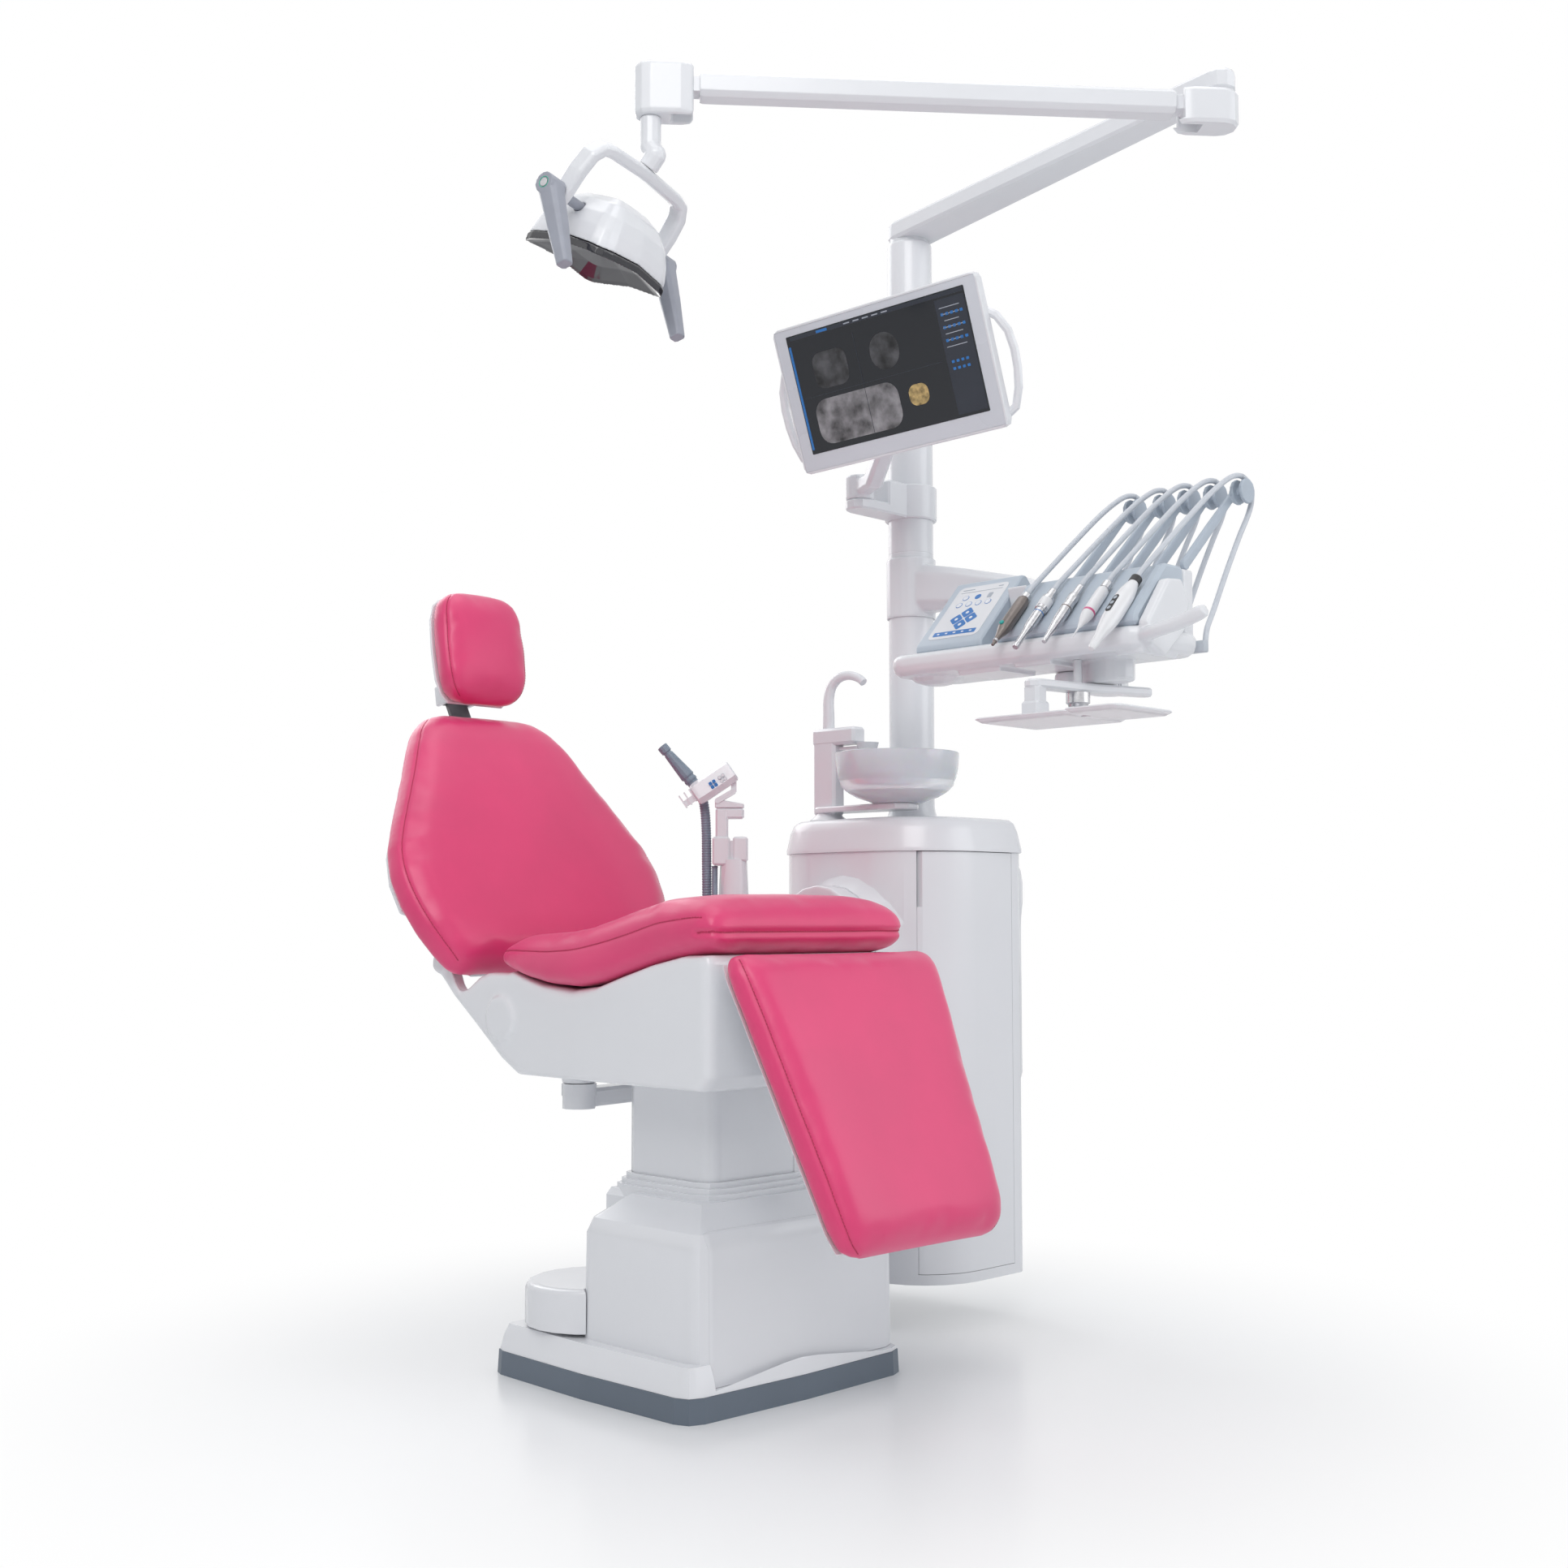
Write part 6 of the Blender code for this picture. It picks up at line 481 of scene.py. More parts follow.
def upholster(node, body, base, out, rise, cap, seams):
    """One cushion: its foam shape, filled as cloth, then its sewn seams with their stitches."""
    name = node.replace("_cushion", "")
    piece = merged_copy(node, name + "_upholstery")
    bpy.ops.object.mode_set(mode="OBJECT")
    use(piece, "REMESH", mode="VOXEL", voxel_size=CUSHION_GRID, adaptivity=0.0)
    use(piece, "SMOOTH", factor=0.5, iterations=6)
    blown(piece, Vector(base), Vector(out), rise, cap)
    use(piece, "SMOOTH", factor=0.5, iterations=TAUT_ROUNDS)
    use(piece, "SUBSURF", levels=1, render_levels=1)
    every = max(1, round(STITCH_PITCH / SEAM_STEP))
    away = Vector(out) * STITCH_RADIUS * 3
    for k, (seam, depth) in enumerate(seams):
        line = sewn(piece, smooth_route(seam, SEAM_STEP), depth)
        stitched("%s_seam_%d" % (name, k + 1), [line], THREAD_RADIUS, body)
        runs = [[point + away for point in line[i:i + STITCH_POINTS]]
                for i in range(0, len(line) - STITCH_POINTS, every)]
        stitched("%s_stitches_%d" % (name, k + 1), runs, STITCH_RADIUS, body)
    use(piece, "SMOOTH", factor=0.4, iterations=1)
    only(piece)
    bpy.ops.object.shade_smooth()
    finished(piece, body, "upholstery", pink_leatherette)
    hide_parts(node)


def side_seams(place, stations, share_out, share_up, ends):
    """The two seams where the face panel meets the sides: (along, half width, low, high) rows."""
    seams = []
    for side in (-1, 1):
        line = []
        for along, half, low, high in stations[ends[0]:ends[1]]:
            line.append(place @ Vector((side * half * share_out, along, low + (high - low) * share_up)))
        seams.append((line, SEAM_DEPTH))
    return seams


# The seat cushion: foam under leatherette, dished at the back and rolled over the front edge of the
# seat, with a sewn crease along that edge.
SEAT_STATIONS = (
    (-0.296, 0.215, 0.760, 0.792), (-0.284, 0.239, 0.752, 0.817), (-0.259, 0.246, 0.748, 0.829),
    (-0.210, 0.250, 0.728, 0.832), (-0.149, 0.250, 0.709, 0.829), (-0.081, 0.250, 0.687, 0.815),
    (-0.007, 0.250, 0.676, 0.797), (0.066, 0.250, 0.676, 0.780), (0.140, 0.250, 0.683, 0.770),
    (0.207, 0.247, 0.693, 0.766), (0.257, 0.241, 0.702, 0.763), (0.293, 0.229, 0.712, 0.756))
SEAT_FRONT_CREASE = ([(-0.245, -0.250, 0.772), (-0.238, -0.284, 0.774), (-0.200, -0.300, 0.775),
                      (0.0, -0.302, 0.775), (0.200, -0.300, 0.775), (0.238, -0.284, 0.774),
                      (0.245, -0.250, 0.772)], 0.0045)
upholster("seat_cushion", "seat", (0.0, 0.0, 0.70), (0.0, 0.0, 1.0), rise=0.05, cap=0.008,
          seams=side_seams(Matrix.Identity(4), SEAT_STATIONS, 0.965, 0.66, (2, 12)) + [SEAT_FRONT_CREASE])

# The backrest: a plywood shell in white moulded plastic with its cushion, and the guide of the
# headrest's bar behind it.
BACK_PLACE = stand((0.0, 0.420, 0.680), (1.0, 0.0, 0.0), (0.0, 0.5, 0.8660), (0.0, -0.8660, 0.5))
BACK_LENGTH = 0.600
BACK_HALF = 0.330
BACK_CROWN = 0.076
BACK_SHARES = (
    (0.000, 0.74, 0.16, 0.52), (0.022, 0.80, 0.03, 0.80), (0.070, 0.86, 0.0, 0.93),
    (0.150, 0.935, 0.0, 1.00), (0.250, 0.985, 0.0, 1.00), (0.350, 1.00, 0.0, 1.00),
    (0.450, 0.965, 0.0, 1.00), (0.550, 0.88, 0.0, 1.00), (0.650, 0.785, 0.0, 1.00),
    (0.750, 0.69, 0.0, 0.98), (0.850, 0.60, 0.0, 0.94), (0.920, 0.525, 0.0, 0.86),
    (0.972, 0.43, 0.05, 0.72))
back_stations = [(BACK_LENGTH * along, BACK_HALF * wide, BACK_CROWN * low, BACK_CROWN * high)
                 for along, wide, low, high in BACK_SHARES]
upholster("backrest_cushion", "back", (0.0, 0.420, 0.680), (0.0, -0.8660, 0.5), rise=0.04, cap=0.009,
          seams=side_seams(BACK_PLACE, back_stations, 0.955, 0.80, (1, 13)))
dressed("backrest_shell", "backrest_panel", 0.004, "back", "white", white_gloss, steps=3)

# Headrest: a flat dark steel bar that slides in its guide behind the backrest, and at its top a white
# moulded shell that tilts and carries a small cushion.
HEAD_PLACE = stand((0.0, 0.712, 1.348), (1.0, 0.0, 0.0), (0.0, 0.1736, 0.9848), (0.0, -0.9848, 0.1736))
HEAD_LENGTH = 0.238
HEAD_HALF = 0.103
HEAD_CROWN = 0.070
HEAD_SHARES = (
    (0.030, 0.72, 0.04, 0.74), (0.100, 0.88, 0.0, 0.90), (0.230, 0.97, 0.0, 0.98),
    (0.500, 1.00, 0.0, 1.00), (0.770, 0.97, 0.0, 0.98), (0.900, 0.88, 0.0, 0.90),
    (0.970, 0.70, 0.04, 0.74))
head_stations = [(HEAD_LENGTH * (along - 0.5), HEAD_HALF * wide, HEAD_CROWN * low, HEAD_CROWN * high)
                 for along, wide, low, high in HEAD_SHARES]
upholster("headrest_cushion", "headrest", (0.0, 0.712, 1.348), (0.0, -0.9848, 0.1736), rise=0.03,
          cap=0.007, seams=side_seams(HEAD_PLACE, head_stations, 0.94, 0.80, (0, 7)))
DARK_METAL = (0.16, 0.15, 0.16)
dark_steel = clouded("dark_steel", DARK_METAL, 0.38, cloud=0.08, cloud_size=0.02, metallic=0.8)
dressed("headrest_bar", "headrest_slide_bar", 0.0008, "head_bar", "dark_steel", dark_steel)
dressed("headrest_shell", "headrest_back", 0.003, "headrest", "white", white_gloss, steps=3)

# Leg rest: a white pressed panel that turns under the front of the seat, with its long cushion of foam
# under leatherette.
LEG_PLACE = stand((0.0, -0.300, 0.735), (1.0, 0.0, 0.0), (0.0, 0.4163, 0.9092), (0.0, -0.9092, 0.4163))
LEG_LENGTH = 0.509
LEG_HALF = 0.250
LEG_TAPER = 0.052
LEG_CROWN = 0.058
LEG_SHARES = (
    (0.022, 0.975, 0.04, 0.82), (0.070, 1.00, 0.0, 0.96), (0.250, 1.00, 0.0, 1.00),
    (0.500, 1.00, 0.0, 1.00), (0.750, 1.00, 0.0, 1.00), (0.900, 1.00, 0.0, 0.97),
    (0.965, 0.965, 0.02, 0.86), (1.000, 0.86, 0.18, 0.55))
leg_stations = [(-LEG_LENGTH * along, (LEG_HALF - LEG_TAPER * along) * wide, LEG_CROWN * low,
                 LEG_CROWN * high)
                for along, wide, low, high in LEG_SHARES]
upholster("legrest_cushion", "legrest", (0.0, -0.300, 0.735), (0.0, -0.9092, 0.4163), rise=0.03,
          cap=0.008, seams=side_seams(LEG_PLACE, leg_stations, 0.95, 0.80, (0, 8)))
dressed("legrest_frame", "legrest_panel", 0.002, "legrest", "white", white_gloss)

# Assistant's side: an arm under the seat with an upright, a two-part holder head with a keypad, a
# suction handpiece and two ribbed hoses strapped together behind the upright.
SUCTION_BLUE = (0.215, 0.265, 0.330)
NEW_PIECE_SPLIT = 30.0
suction_plastic = clouded("suction_plastic", SUCTION_BLUE, 0.42, cloud=0.05, cloud_size=0.05)


def set_in_place(piece, place):
    """Turn a new piece's faces outwards, put it in its place and shade it smooth."""
    bpy.ops.mesh.select_all(action="SELECT")
    bpy.ops.mesh.normals_make_consistent(inside=False)
    bpy.ops.object.mode_set(mode="OBJECT")
    piece.matrix_world = place
    bpy.ops.object.transform_apply(location=True, rotation=True, scale=True)
    smooth_shade(piece, NEW_PIECE_SPLIT)
    return piece


def rounded_plate(name, size, corner, depth, place, centre=(0.0, 0.0), turn=0.0):
    """A flat plate with round corners that lies on a face, cut to (width, height)."""
    bpy.ops.object.select_all(action="DESELECT")
    bpy.ops.mesh.primitive_plane_add(size=1.0, location=(0.0, 0.0, 0.0))
    piece = bpy.context.object
    piece.name = name
    piece.scale = (size[0], size[1], 1.0)
    bpy.ops.object.transform_apply(location=False, rotation=False, scale=True)
    bpy.ops.object.mode_set(mode="EDIT")
    bpy.ops.mesh.select_all(action="SELECT")
    bpy.ops.mesh.bevel(offset_type="OFFSET", offset=corner, segments=5, affect="VERTICES")
    bpy.ops.mesh.select_all(action="SELECT")
    bpy.ops.mesh.extrude_region_move(TRANSFORM_OT_translate={"value": (0.0, 0.0, depth)})
    return set_in_place(piece, place @ Matrix.Translation((*centre, 0.0))
                        @ Matrix.Rotation(radians(turn), 4, "Z"))


def printed(name, place, body, slot_name, look, *rows):
    """Raised marks on a face, made one piece: rows of size, corner, rise, spots and any turn."""
    marks = []
    for size, corner, rise, spots, *turn in rows:
        for spot in spots:
            marks.append(rounded_plate(name, size, corner, rise, place, spot, *turn))
    only(*marks)
    if len(marks) > 1:
        bpy.ops.object.join()
    return finished(marks[0], body, slot_name, look)


def reach_along(node, direction):
    """How far a solid reaches along a direction."""
    return max(vertex.co.dot(direction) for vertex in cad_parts[node].data.vertices)


MARK_BLUE = (0.030, 0.185, 0.520)
MARK_GREY = (0.42, 0.46, 0.52)
mark_blue = clouded("key_blue", MARK_BLUE, 0.30, cloud=0.03, cloud_size=0.02)
mark_grey = clouded("key_grey", MARK_GREY, 0.40, cloud=0.03, cloud_size=0.02)
mark_white = clouded("key_white", (0.80, 0.82, 0.86), 0.35, cloud=0.02, cloud_size=0.02)

dressed("assistant_arm", "assistant_arm_shell", 0.0015, "assistant", "white", white_gloss)
dressed("assistant_post", "assistant_neck", 0.0008, "assistant", "white", white_gloss)
dressed("holder_head", "holder_body", 0.001, "holder", "white", white_gloss)
remade("suction_handpiece", "suction_grip", 0.0009, 4, "holder", "handle_grey", suction_plastic)

# The holder's keypad: a blue pad of four keys and four outlined keys beside it.  They are thin raised
# foils on the side of the white holder head.
HOLDER_X = Vector((0.586, -0.586, 0.559))
HOLDER_Y = Vector((0.7071, 0.7071, 0.0))
HOLDER_Z = Vector((-0.395, 0.395, 0.829))
HOLDER_ORIGIN = Vector((0.29394, 0.28109, 1.068))
KEY_SIDE = 0.0068
KEY_RIM = 0.0012
KEY_PITCH = 0.0082
KEY_ROW = -0.0041
PAD_LEFT = -0.006
OUTLINED_LEFT = 0.016
KEYPAD_SINK = 0.0003
side_reach = reach_along("holder_head", -HOLDER_Y) + HOLDER_ORIGIN.dot(HOLDER_Y)
KEYPAD_PLACE = stand(HOLDER_ORIGIN - HOLDER_Y * (side_reach - KEYPAD_SINK), HOLDER_X.normalized(),
                     HOLDER_Z.normalized(), -HOLDER_Y)


def four_keys(left):
    """The places of four keys in two columns, from the middle of the left ones."""
    return [(left + across * KEY_PITCH, KEY_ROW + up * KEY_PITCH) for across in (0, 1) for up in (0, 1)]


printed("holder_blue_keys", KEYPAD_PLACE, "holder", "teal", mark_blue,
        ((KEY_SIDE, KEY_SIDE), 0.0020, 0.0008, four_keys(PAD_LEFT)))
printed("holder_key_outlines", KEYPAD_PLACE, "holder", "hose_grey", mark_grey,
        ((KEY_SIDE, KEY_SIDE), 0.0022, 0.0007, four_keys(OUTLINED_LEFT)))
printed("holder_key_faces", KEYPAD_PLACE, "holder", "white", white_gloss,
        ((KEY_SIDE - KEY_RIM, KEY_SIDE - KEY_RIM), 0.0018, 0.0009, four_keys(OUTLINED_LEFT)))

# Cabinet: a tall white sheet and plastic cabinet on a cast arm, with a door at the front, a domed top
# cover and a slim service canister on its right side.
remade("cabinet_support_arm", "cabinet_arm", 0.0032, 5, "base", "white", white_gloss)
dressed("cabinet_body", "cabinet_shell", 0.0008, "base", "white", white_gloss)
dressed("cabinet_door", "cabinet_front_door", 0.0012, "door", "white", white_gloss)
dressed("cabinet_top_cover", "cabinet_lid", 0.0008, "base", "white", white_gloss)
remade("service_canister", "canister", 0.0026, 5, "base", "white", white_gloss)

# Cuspidor: a white filler tower with a cup stand, a swinging water spout and a double-walled bowl in
# frosted glass.
dressed("filler_tower", "filler_column", 0.0012, "cuspidor", "white", white_gloss)


def turned(name, profile, place, steps=48):
    """Turn a piece from its profile of (radius, height) rows, by extruding a ring from row to row."""
    bpy.ops.object.select_all(action="DESELECT")
    first, height = profile[0]
    bpy.ops.mesh.primitive_circle_add(vertices=steps, radius=first, fill_type="NGON",
                                      location=(0.0, 0.0, height))
    piece = bpy.context.object
    piece.name = name
    bpy.ops.object.transform_apply(location=True, rotation=True, scale=True)
    bpy.ops.object.mode_set(mode="EDIT")
    bpy.ops.mesh.select_all(action="SELECT")
    for (old, low), (new, high) in zip(profile, profile[1:]):
        bpy.ops.mesh.extrude_region_move(TRANSFORM_OT_translate={"value": (0.0, 0.0, high - low)})
        share = new / old
        bpy.ops.transform.resize(value=(share, share, 1.0), center_override=(0.0, 0.0, high))
    return set_in_place(piece, place)


BOWL_PLACE = Matrix.Translation((0.545, 0.010, 1.028))
BOWL_GLASS = (0.78, 0.81, 0.86)
BOWL_PROFILE = (
    (0.004, 0.0102), (0.034, 0.0110), (0.060, 0.0135), (0.085, 0.018), (0.103, 0.025), (0.1135, 0.036),
    (0.1185, 0.056), (0.1215, 0.078), (0.1228, 0.0985), (0.1234, 0.1012), (0.1240, 0.1019),
    (0.1247, 0.1012), (0.1250, 0.0985), (0.1246, 0.088), (0.1236, 0.075), (0.1215, 0.062), (0.1187, 0.051),
    (0.1135, 0.040), (0.1062, 0.029), (0.098, 0.0215), (0.0825, 0.0125), (0.0575, 0.0040), (0.050, 0.0005),
    (0.004, 0.0002))
frosted = clouded("frosted_glass", BOWL_GLASS, 0.22, cloud=0.02, cloud_size=0.05, coat=0.5)
set_inputs(frosted.node_tree.nodes["Principled BSDF"],
           {"Transmission Weight": 0.35, "Subsurface Weight": 0.25, "Subsurface Scale": 0.01})
finished(turned("spittoon_bowl", BOWL_PROFILE, BOWL_PLACE, 72), "cuspidor", "bowl_white", frosted,
         "cuspidor_bowl")
SPOUT_RADIUS = 0.0125
SPOUT_TIP = 0.68
SPOUT_STEP = 0.004
SPOUT_ROUTE = ((0.545, 0.200, 1.1923), (0.545, 0.200, 1.222), (0.545, 0.200, 1.254), (0.546, 0.192, 1.282),
               (0.548, 0.170, 1.299), (0.552, 0.144, 1.301), (0.555, 0.122, 1.293), (0.556, 0.111, 1.284))
spout_line = smooth_route(SPOUT_ROUTE, SPOUT_STEP)
spout_widths = [1.0 + (SPOUT_TIP - 1.0) * (i / (len(spout_line) - 1)) for i in range(len(spout_line))]
spout = tube("filler_spout", [spout_line], SPOUT_RADIUS, 6, spout_widths)
smooth_shade(spout, 40.0)
finished(spout, "spout", "white", white_gloss, "water_spout")

# Post: a white steel tube that stands through the cabinet, with a moulded foot and two fine joints
# between its sleeves.
POST_PLACE = Matrix.Translation((0.700, 0.105, 0.0))
POST_PROFILE = (
    (0.046, 0.9303), (0.0475, 0.9303), (0.0475, 1.0003), (0.0575, 1.0003), (0.058, 1.001), (0.0545, 1.006),
    (0.0515, 1.0135), (0.0492, 1.022), (0.0478, 1.031), (0.0475, 1.0363), (0.0475, 1.5672),
    (0.0471, 1.5676), (0.0471, 1.5690), (0.0475, 1.5694), (0.0475, 1.6390), (0.0475, 2.2370),
    (0.0472, 2.2395), (0.0462, 2.2420), (0.0446, 2.2436), (0.0425, 2.2440), (0.004, 2.2440))
finished(turned("post_tube", POST_PROFILE, POST_PLACE, 64), "base", "white", white_gloss, "post")

# Delivery arm and head: a cast swivel arm on the post and a long moulded table under the console and
# the instrument cradle.
PALE_BLUE = (0.500, 0.565, 0.640)
pale_plastic = clouded("pale_blue_plastic", PALE_BLUE, 0.34, cloud=0.015, coat=0.1)
remade("delivery_arm", "delivery_arm_casting", 0.0026, 10, "arm", "white", white_gloss)
remade("delivery_head", "delivery_table", 0.0026, 3, "delivery", "white", white_gloss)
dressed("control_console", "console_housing", 0.001, "delivery", "pale_blue", pale_plastic)
dressed("instrument_cradle", "cradle_housing", 0.0012, "delivery", "pale_blue", pale_plastic)

# The console's face: a white touch panel let into the sloping front of the housing, with plain generic
# marks and four keys in a diamond.
CONSOLE_RIGHT = Vector((0.0, -1.0, 0.0))
CONSOLE_UP = Vector((0.6820, 0.0, 0.7314))
CONSOLE_OUT = Vector((-0.7314, 0.0, 0.6820))
CONSOLE_MIDDLE = Vector((0.5268, -0.194, 1.3935))
CONSOLE_SINK = 0.0004
console_reach = reach_along("control_console", CONSOLE_OUT) - CONSOLE_MIDDLE.dot(CONSOLE_OUT)
CONSOLE_PLACE = stand(CONSOLE_MIDDLE + CONSOLE_OUT * (console_reach - CONSOLE_SINK), CONSOLE_RIGHT,
                      CONSOLE_UP, CONSOLE_OUT)
finished(rounded_plate("console_glass", (0.124, 0.158), 0.012, 0.0012, CONSOLE_PLACE), "delivery", "white",
         white_gloss)
MARK_RISE = 0.0016
UPPER_RISE = 0.0019
BAR_Y = -0.065
DIAMOND = ((0.0, -0.005), (0.0, -0.041), (-0.018, -0.023), (0.018, -0.023))
ROUND_KEYS = ((-0.030, 0.043), (0.0, 0.043), (-0.036, 0.022), (-0.012, 0.022), (0.012, 0.022),
              (0.036, 0.022))
PLAIN_KEY = ROUND_KEYS[1]
printed("console_blue_marks", CONSOLE_PLACE, "delivery", "teal", mark_blue,
        ((0.104, 0.012), 0.002, MARK_RISE, [(0.0, BAR_Y)]),
        ((0.0230, 0.0230), 0.004, MARK_RISE, DIAMOND, 45.0),
        ((0.0145, 0.0145), 0.0070, MARK_RISE, ROUND_KEYS))
printed("console_white_marks", CONSOLE_PLACE, "delivery", "white", mark_white,
        ((0.0075, 0.0075), 0.0036, UPPER_RISE, DIAMOND),
        ((0.0122, 0.0122), 0.0058, UPPER_RISE, [spot for spot in ROUND_KEYS if spot != PLAIN_KEY]),
        ((0.006, 0.0035), 0.001, UPPER_RISE, [(x, BAR_Y) for x in (-0.040, -0.020, 0.0, 0.020, 0.040)]))
printed("console_grey_marks", CONSOLE_PLACE, "delivery", "hose_grey", mark_grey,
        ((0.030, 0.0022), 0.0009, MARK_RISE, [(-0.036, 0.069)]),
        ((0.012, 0.0022), 0.0009, MARK_RISE, [(0.044, 0.069)]),
        ((0.104, 0.0010), 0.0004, MARK_RISE, [(0.0, 0.061)]),
        ((0.0110, 0.0150), 0.002, MARK_RISE, [(0.030, 0.043)]))

# Instruments: five turned bodies in steel, lacquer and white plastic that lie head down in the cradle,
# with rings and collars pushed on them.
STEEL = (0.56, 0.56, 0.58)
BRONZE = (0.20, 0.175, 0.165)
steel = clouded("brushed_steel", STEEL, 0.26, cloud=0.10, cloud_size=0.008, metallic=1.0)
bronze = clouded("bronze_lacquer", BRONZE, 0.30, cloud=0.06, cloud_size=0.01, metallic=0.7)
white_handpiece = clouded("handpiece_white", (0.80, 0.80, 0.82), 0.26, cloud=0.01, coat=0.3)
TEAL = (0.02, 0.36, 0.33)
RING_PINK = (0.62, 0.10, 0.25)
BLACK_RUBBER = (0.018, 0.018, 0.020)
teal_plastic = clouded("teal_button", TEAL, 0.35, cloud=0.03, cloud_size=0.01)
ring_pink = clouded("ring_pink", RING_PINK, 0.35, cloud=0.03, cloud_size=0.01)
black_rubber = clouded("black_rubber", BLACK_RUBBER, 0.5, cloud=0.05, cloud_size=0.01)
INSTRUMENT_RADIUS = 0.0125
RING_EDGE = 0.0004
RING_DEPTH = 0.001
CRADLE_X = 0.500
CRADLE_Y = -0.357
CRADLE_PITCH = 0.061
CRADLE_Z = 1.402
SYRINGE_ROWS = ((0.50, 0.0), (0.62, 0.01), (0.66, 0.10), (0.88, 0.12), (0.94, 0.125), (1.0, 0.20),
                (1.0, 0.62), (0.96, 0.67), (0.90, 0.70), (0.76, 0.74), (0.62, 0.78), (0.46, 0.84),
                (0.34, 0.90), (0.30, 0.92), (0.25, 0.96), (0.22, 0.995), (0.10, 1.0))
MICROMOTOR_ROWS = ((0.50, 0.0), (0.66, 0.01), (0.70, 0.12), (0.90, 0.135), (0.96, 0.14), (1.0, 0.20),
                   (1.0, 0.34), (0.97, 0.355), (0.83, 0.36), (0.83, 0.40), (0.85, 0.41), (0.82, 0.42),
                   (0.82, 0.60), (0.72, 0.66), (0.60, 0.70), (0.54, 0.76), (0.48, 0.86), (0.50, 0.93),
                   (0.50, 0.985), (0.44, 1.0))
TURBINE_ROWS = ((0.50, 0.0), (0.62, 0.01), (0.66, 0.16), (0.86, 0.175), (0.90, 0.18), (0.94, 0.26),
                (0.86, 0.30), (0.84, 0.32), (0.92, 0.37), (0.94, 0.38), (0.93, 0.50), (0.90, 0.60),
                (0.76, 0.70), (0.60, 0.80), (0.50, 0.86), (0.44, 0.92), (0.44, 0.985), (0.36, 1.0))
SCALER_ROWS = ((0.50, 0.0), (0.66, 0.01), (0.70, 0.14), (0.90, 0.155), (0.95, 0.16), (1.0, 0.24),
               (1.0, 0.56), (0.96, 0.62), (0.88, 0.66), (0.74, 0.70), (0.58, 0.74), (0.42, 0.78),
               (0.30, 0.82), (0.18, 0.84), (0.13, 0.92), (0.10, 0.995), (0.05, 1.0))
SCANNER_ROWS = ((0.30, 0.0), (0.44, 0.005), (0.50, 0.05), (0.60, 0.10), (0.74, 0.145), (0.82, 0.18),
                (0.90, 0.215), (0.96, 0.26), (0.99, 0.32), (1.0, 0.40), (0.985, 0.50), (0.94, 0.60),
                (0.84, 0.67), (0.72, 0.74), (0.60, 0.80), (0.50, 0.86), (0.44, 0.95), (0.38, 0.985),
                (0.28, 1.0))
WIDTHS = (1.0, 0.96, 0.90, 0.92, 1.36)
LENGTHS = (0.150, 0.166, 0.160, 0.156, 0.200)
lie_down = Matrix.Rotation(radians(45), 4, "Y") @ Matrix.Rotation(pi, 4, "X")


def instrument(k, name, rows, slot_name, look, node):
    """One turned instrument body, laid head down in place k of the cradle."""
    radius = INSTRUMENT_RADIUS * WIDTHS[k]
    place = Matrix.Translation((CRADLE_X, CRADLE_Y - CRADLE_PITCH * k, CRADLE_Z)) @ lie_down
    profile = [(radius * wide, LENGTHS[k] * along) for wide, along in rows]
    finished(turned(name, profile, place, 40), "delivery", slot_name, look, node)
    return place, radius


def ring_on(name, place, radius, low, high, slot_name, look):
    """A coloured ring or collar pushed on an instrument."""
    profile = [(radius - RING_DEPTH, low), (radius - RING_EDGE, low), (radius, low + RING_EDGE),
               (radius, high - RING_EDGE), (radius - RING_EDGE, high), (radius - RING_DEPTH, high)]
    finished(turned(name, profile, place, 40), "delivery", slot_name, look)


place, radius = instrument(0, "syringe_body", SYRINGE_ROWS, "bronze", bronze, "syringe")
ring_on("syringe_collar", place, radius * 0.72, 0.002, 0.013, "steel", steel)
ring_on("syringe_nozzle_ring", place, radius * 0.42, 0.134, 0.139, "steel", steel)
button_place = place @ Matrix.Translation((0.0, 0.0, 0.098)) @ Matrix.Rotation(radians(-90), 4, "Y")
finished(turned("syringe_button", [(0.0042, 0.006), (0.0048, 0.0125), (0.0046, 0.0140), (0.0036, 0.0148),
                                   (0.0008, 0.0150)], button_place, 24), "delivery", "teal", teal_plastic)
place, radius = instrument(1, "micromotor_body", MICROMOTOR_ROWS, "steel", steel, "micromotor")
ring_on("micromotor_collar", place, radius * 1.02, 0.030, 0.052, "white", white_handpiece)
ring_on("micromotor_ring", place, radius * 0.86, 0.0665, 0.0690, "teal", mark_blue)
place, radius = instrument(2, "turbine_body", TURBINE_ROWS, "steel", steel, "turbine")
ring_on("turbine_ring", place, radius * 0.96, 0.064, 0.067, "steel", bronze)
place, radius = instrument(3, "scaler_body", SCALER_ROWS, "white", white_handpiece, "scaler")
ring_on("scaler_ring", place, radius * 1.03, 0.085, 0.090, "upholstery", ring_pink)
ring_on("scaler_collar", place, radius * 0.80, 0.004, 0.020, "steel", steel)
place, radius = instrument(4, "scanner_body", SCANNER_ROWS, "white", white_handpiece, "scanner")
ring_on("scanner_tail", place, radius * 0.62, 0.001, 0.016, "dark_steel", black_rubber)
panel_place = (place @ Matrix.Translation((-radius * 0.93, 0.0, 0.092))
               @ Matrix.Rotation(radians(-90), 4, "Y"))
finished(rounded_plate("scanner_panel", (0.046, 0.0105), 0.005, 0.0016, panel_place), "delivery",
         "dark_steel", black_rubber)
printed("scanner_keys", panel_place, "delivery", "hose_grey", mark_grey,
        ((0.0085, 0.0065), 0.003, 0.0022, [(along, 0.0) for along in (-0.0145, 0.0, 0.0145)]))

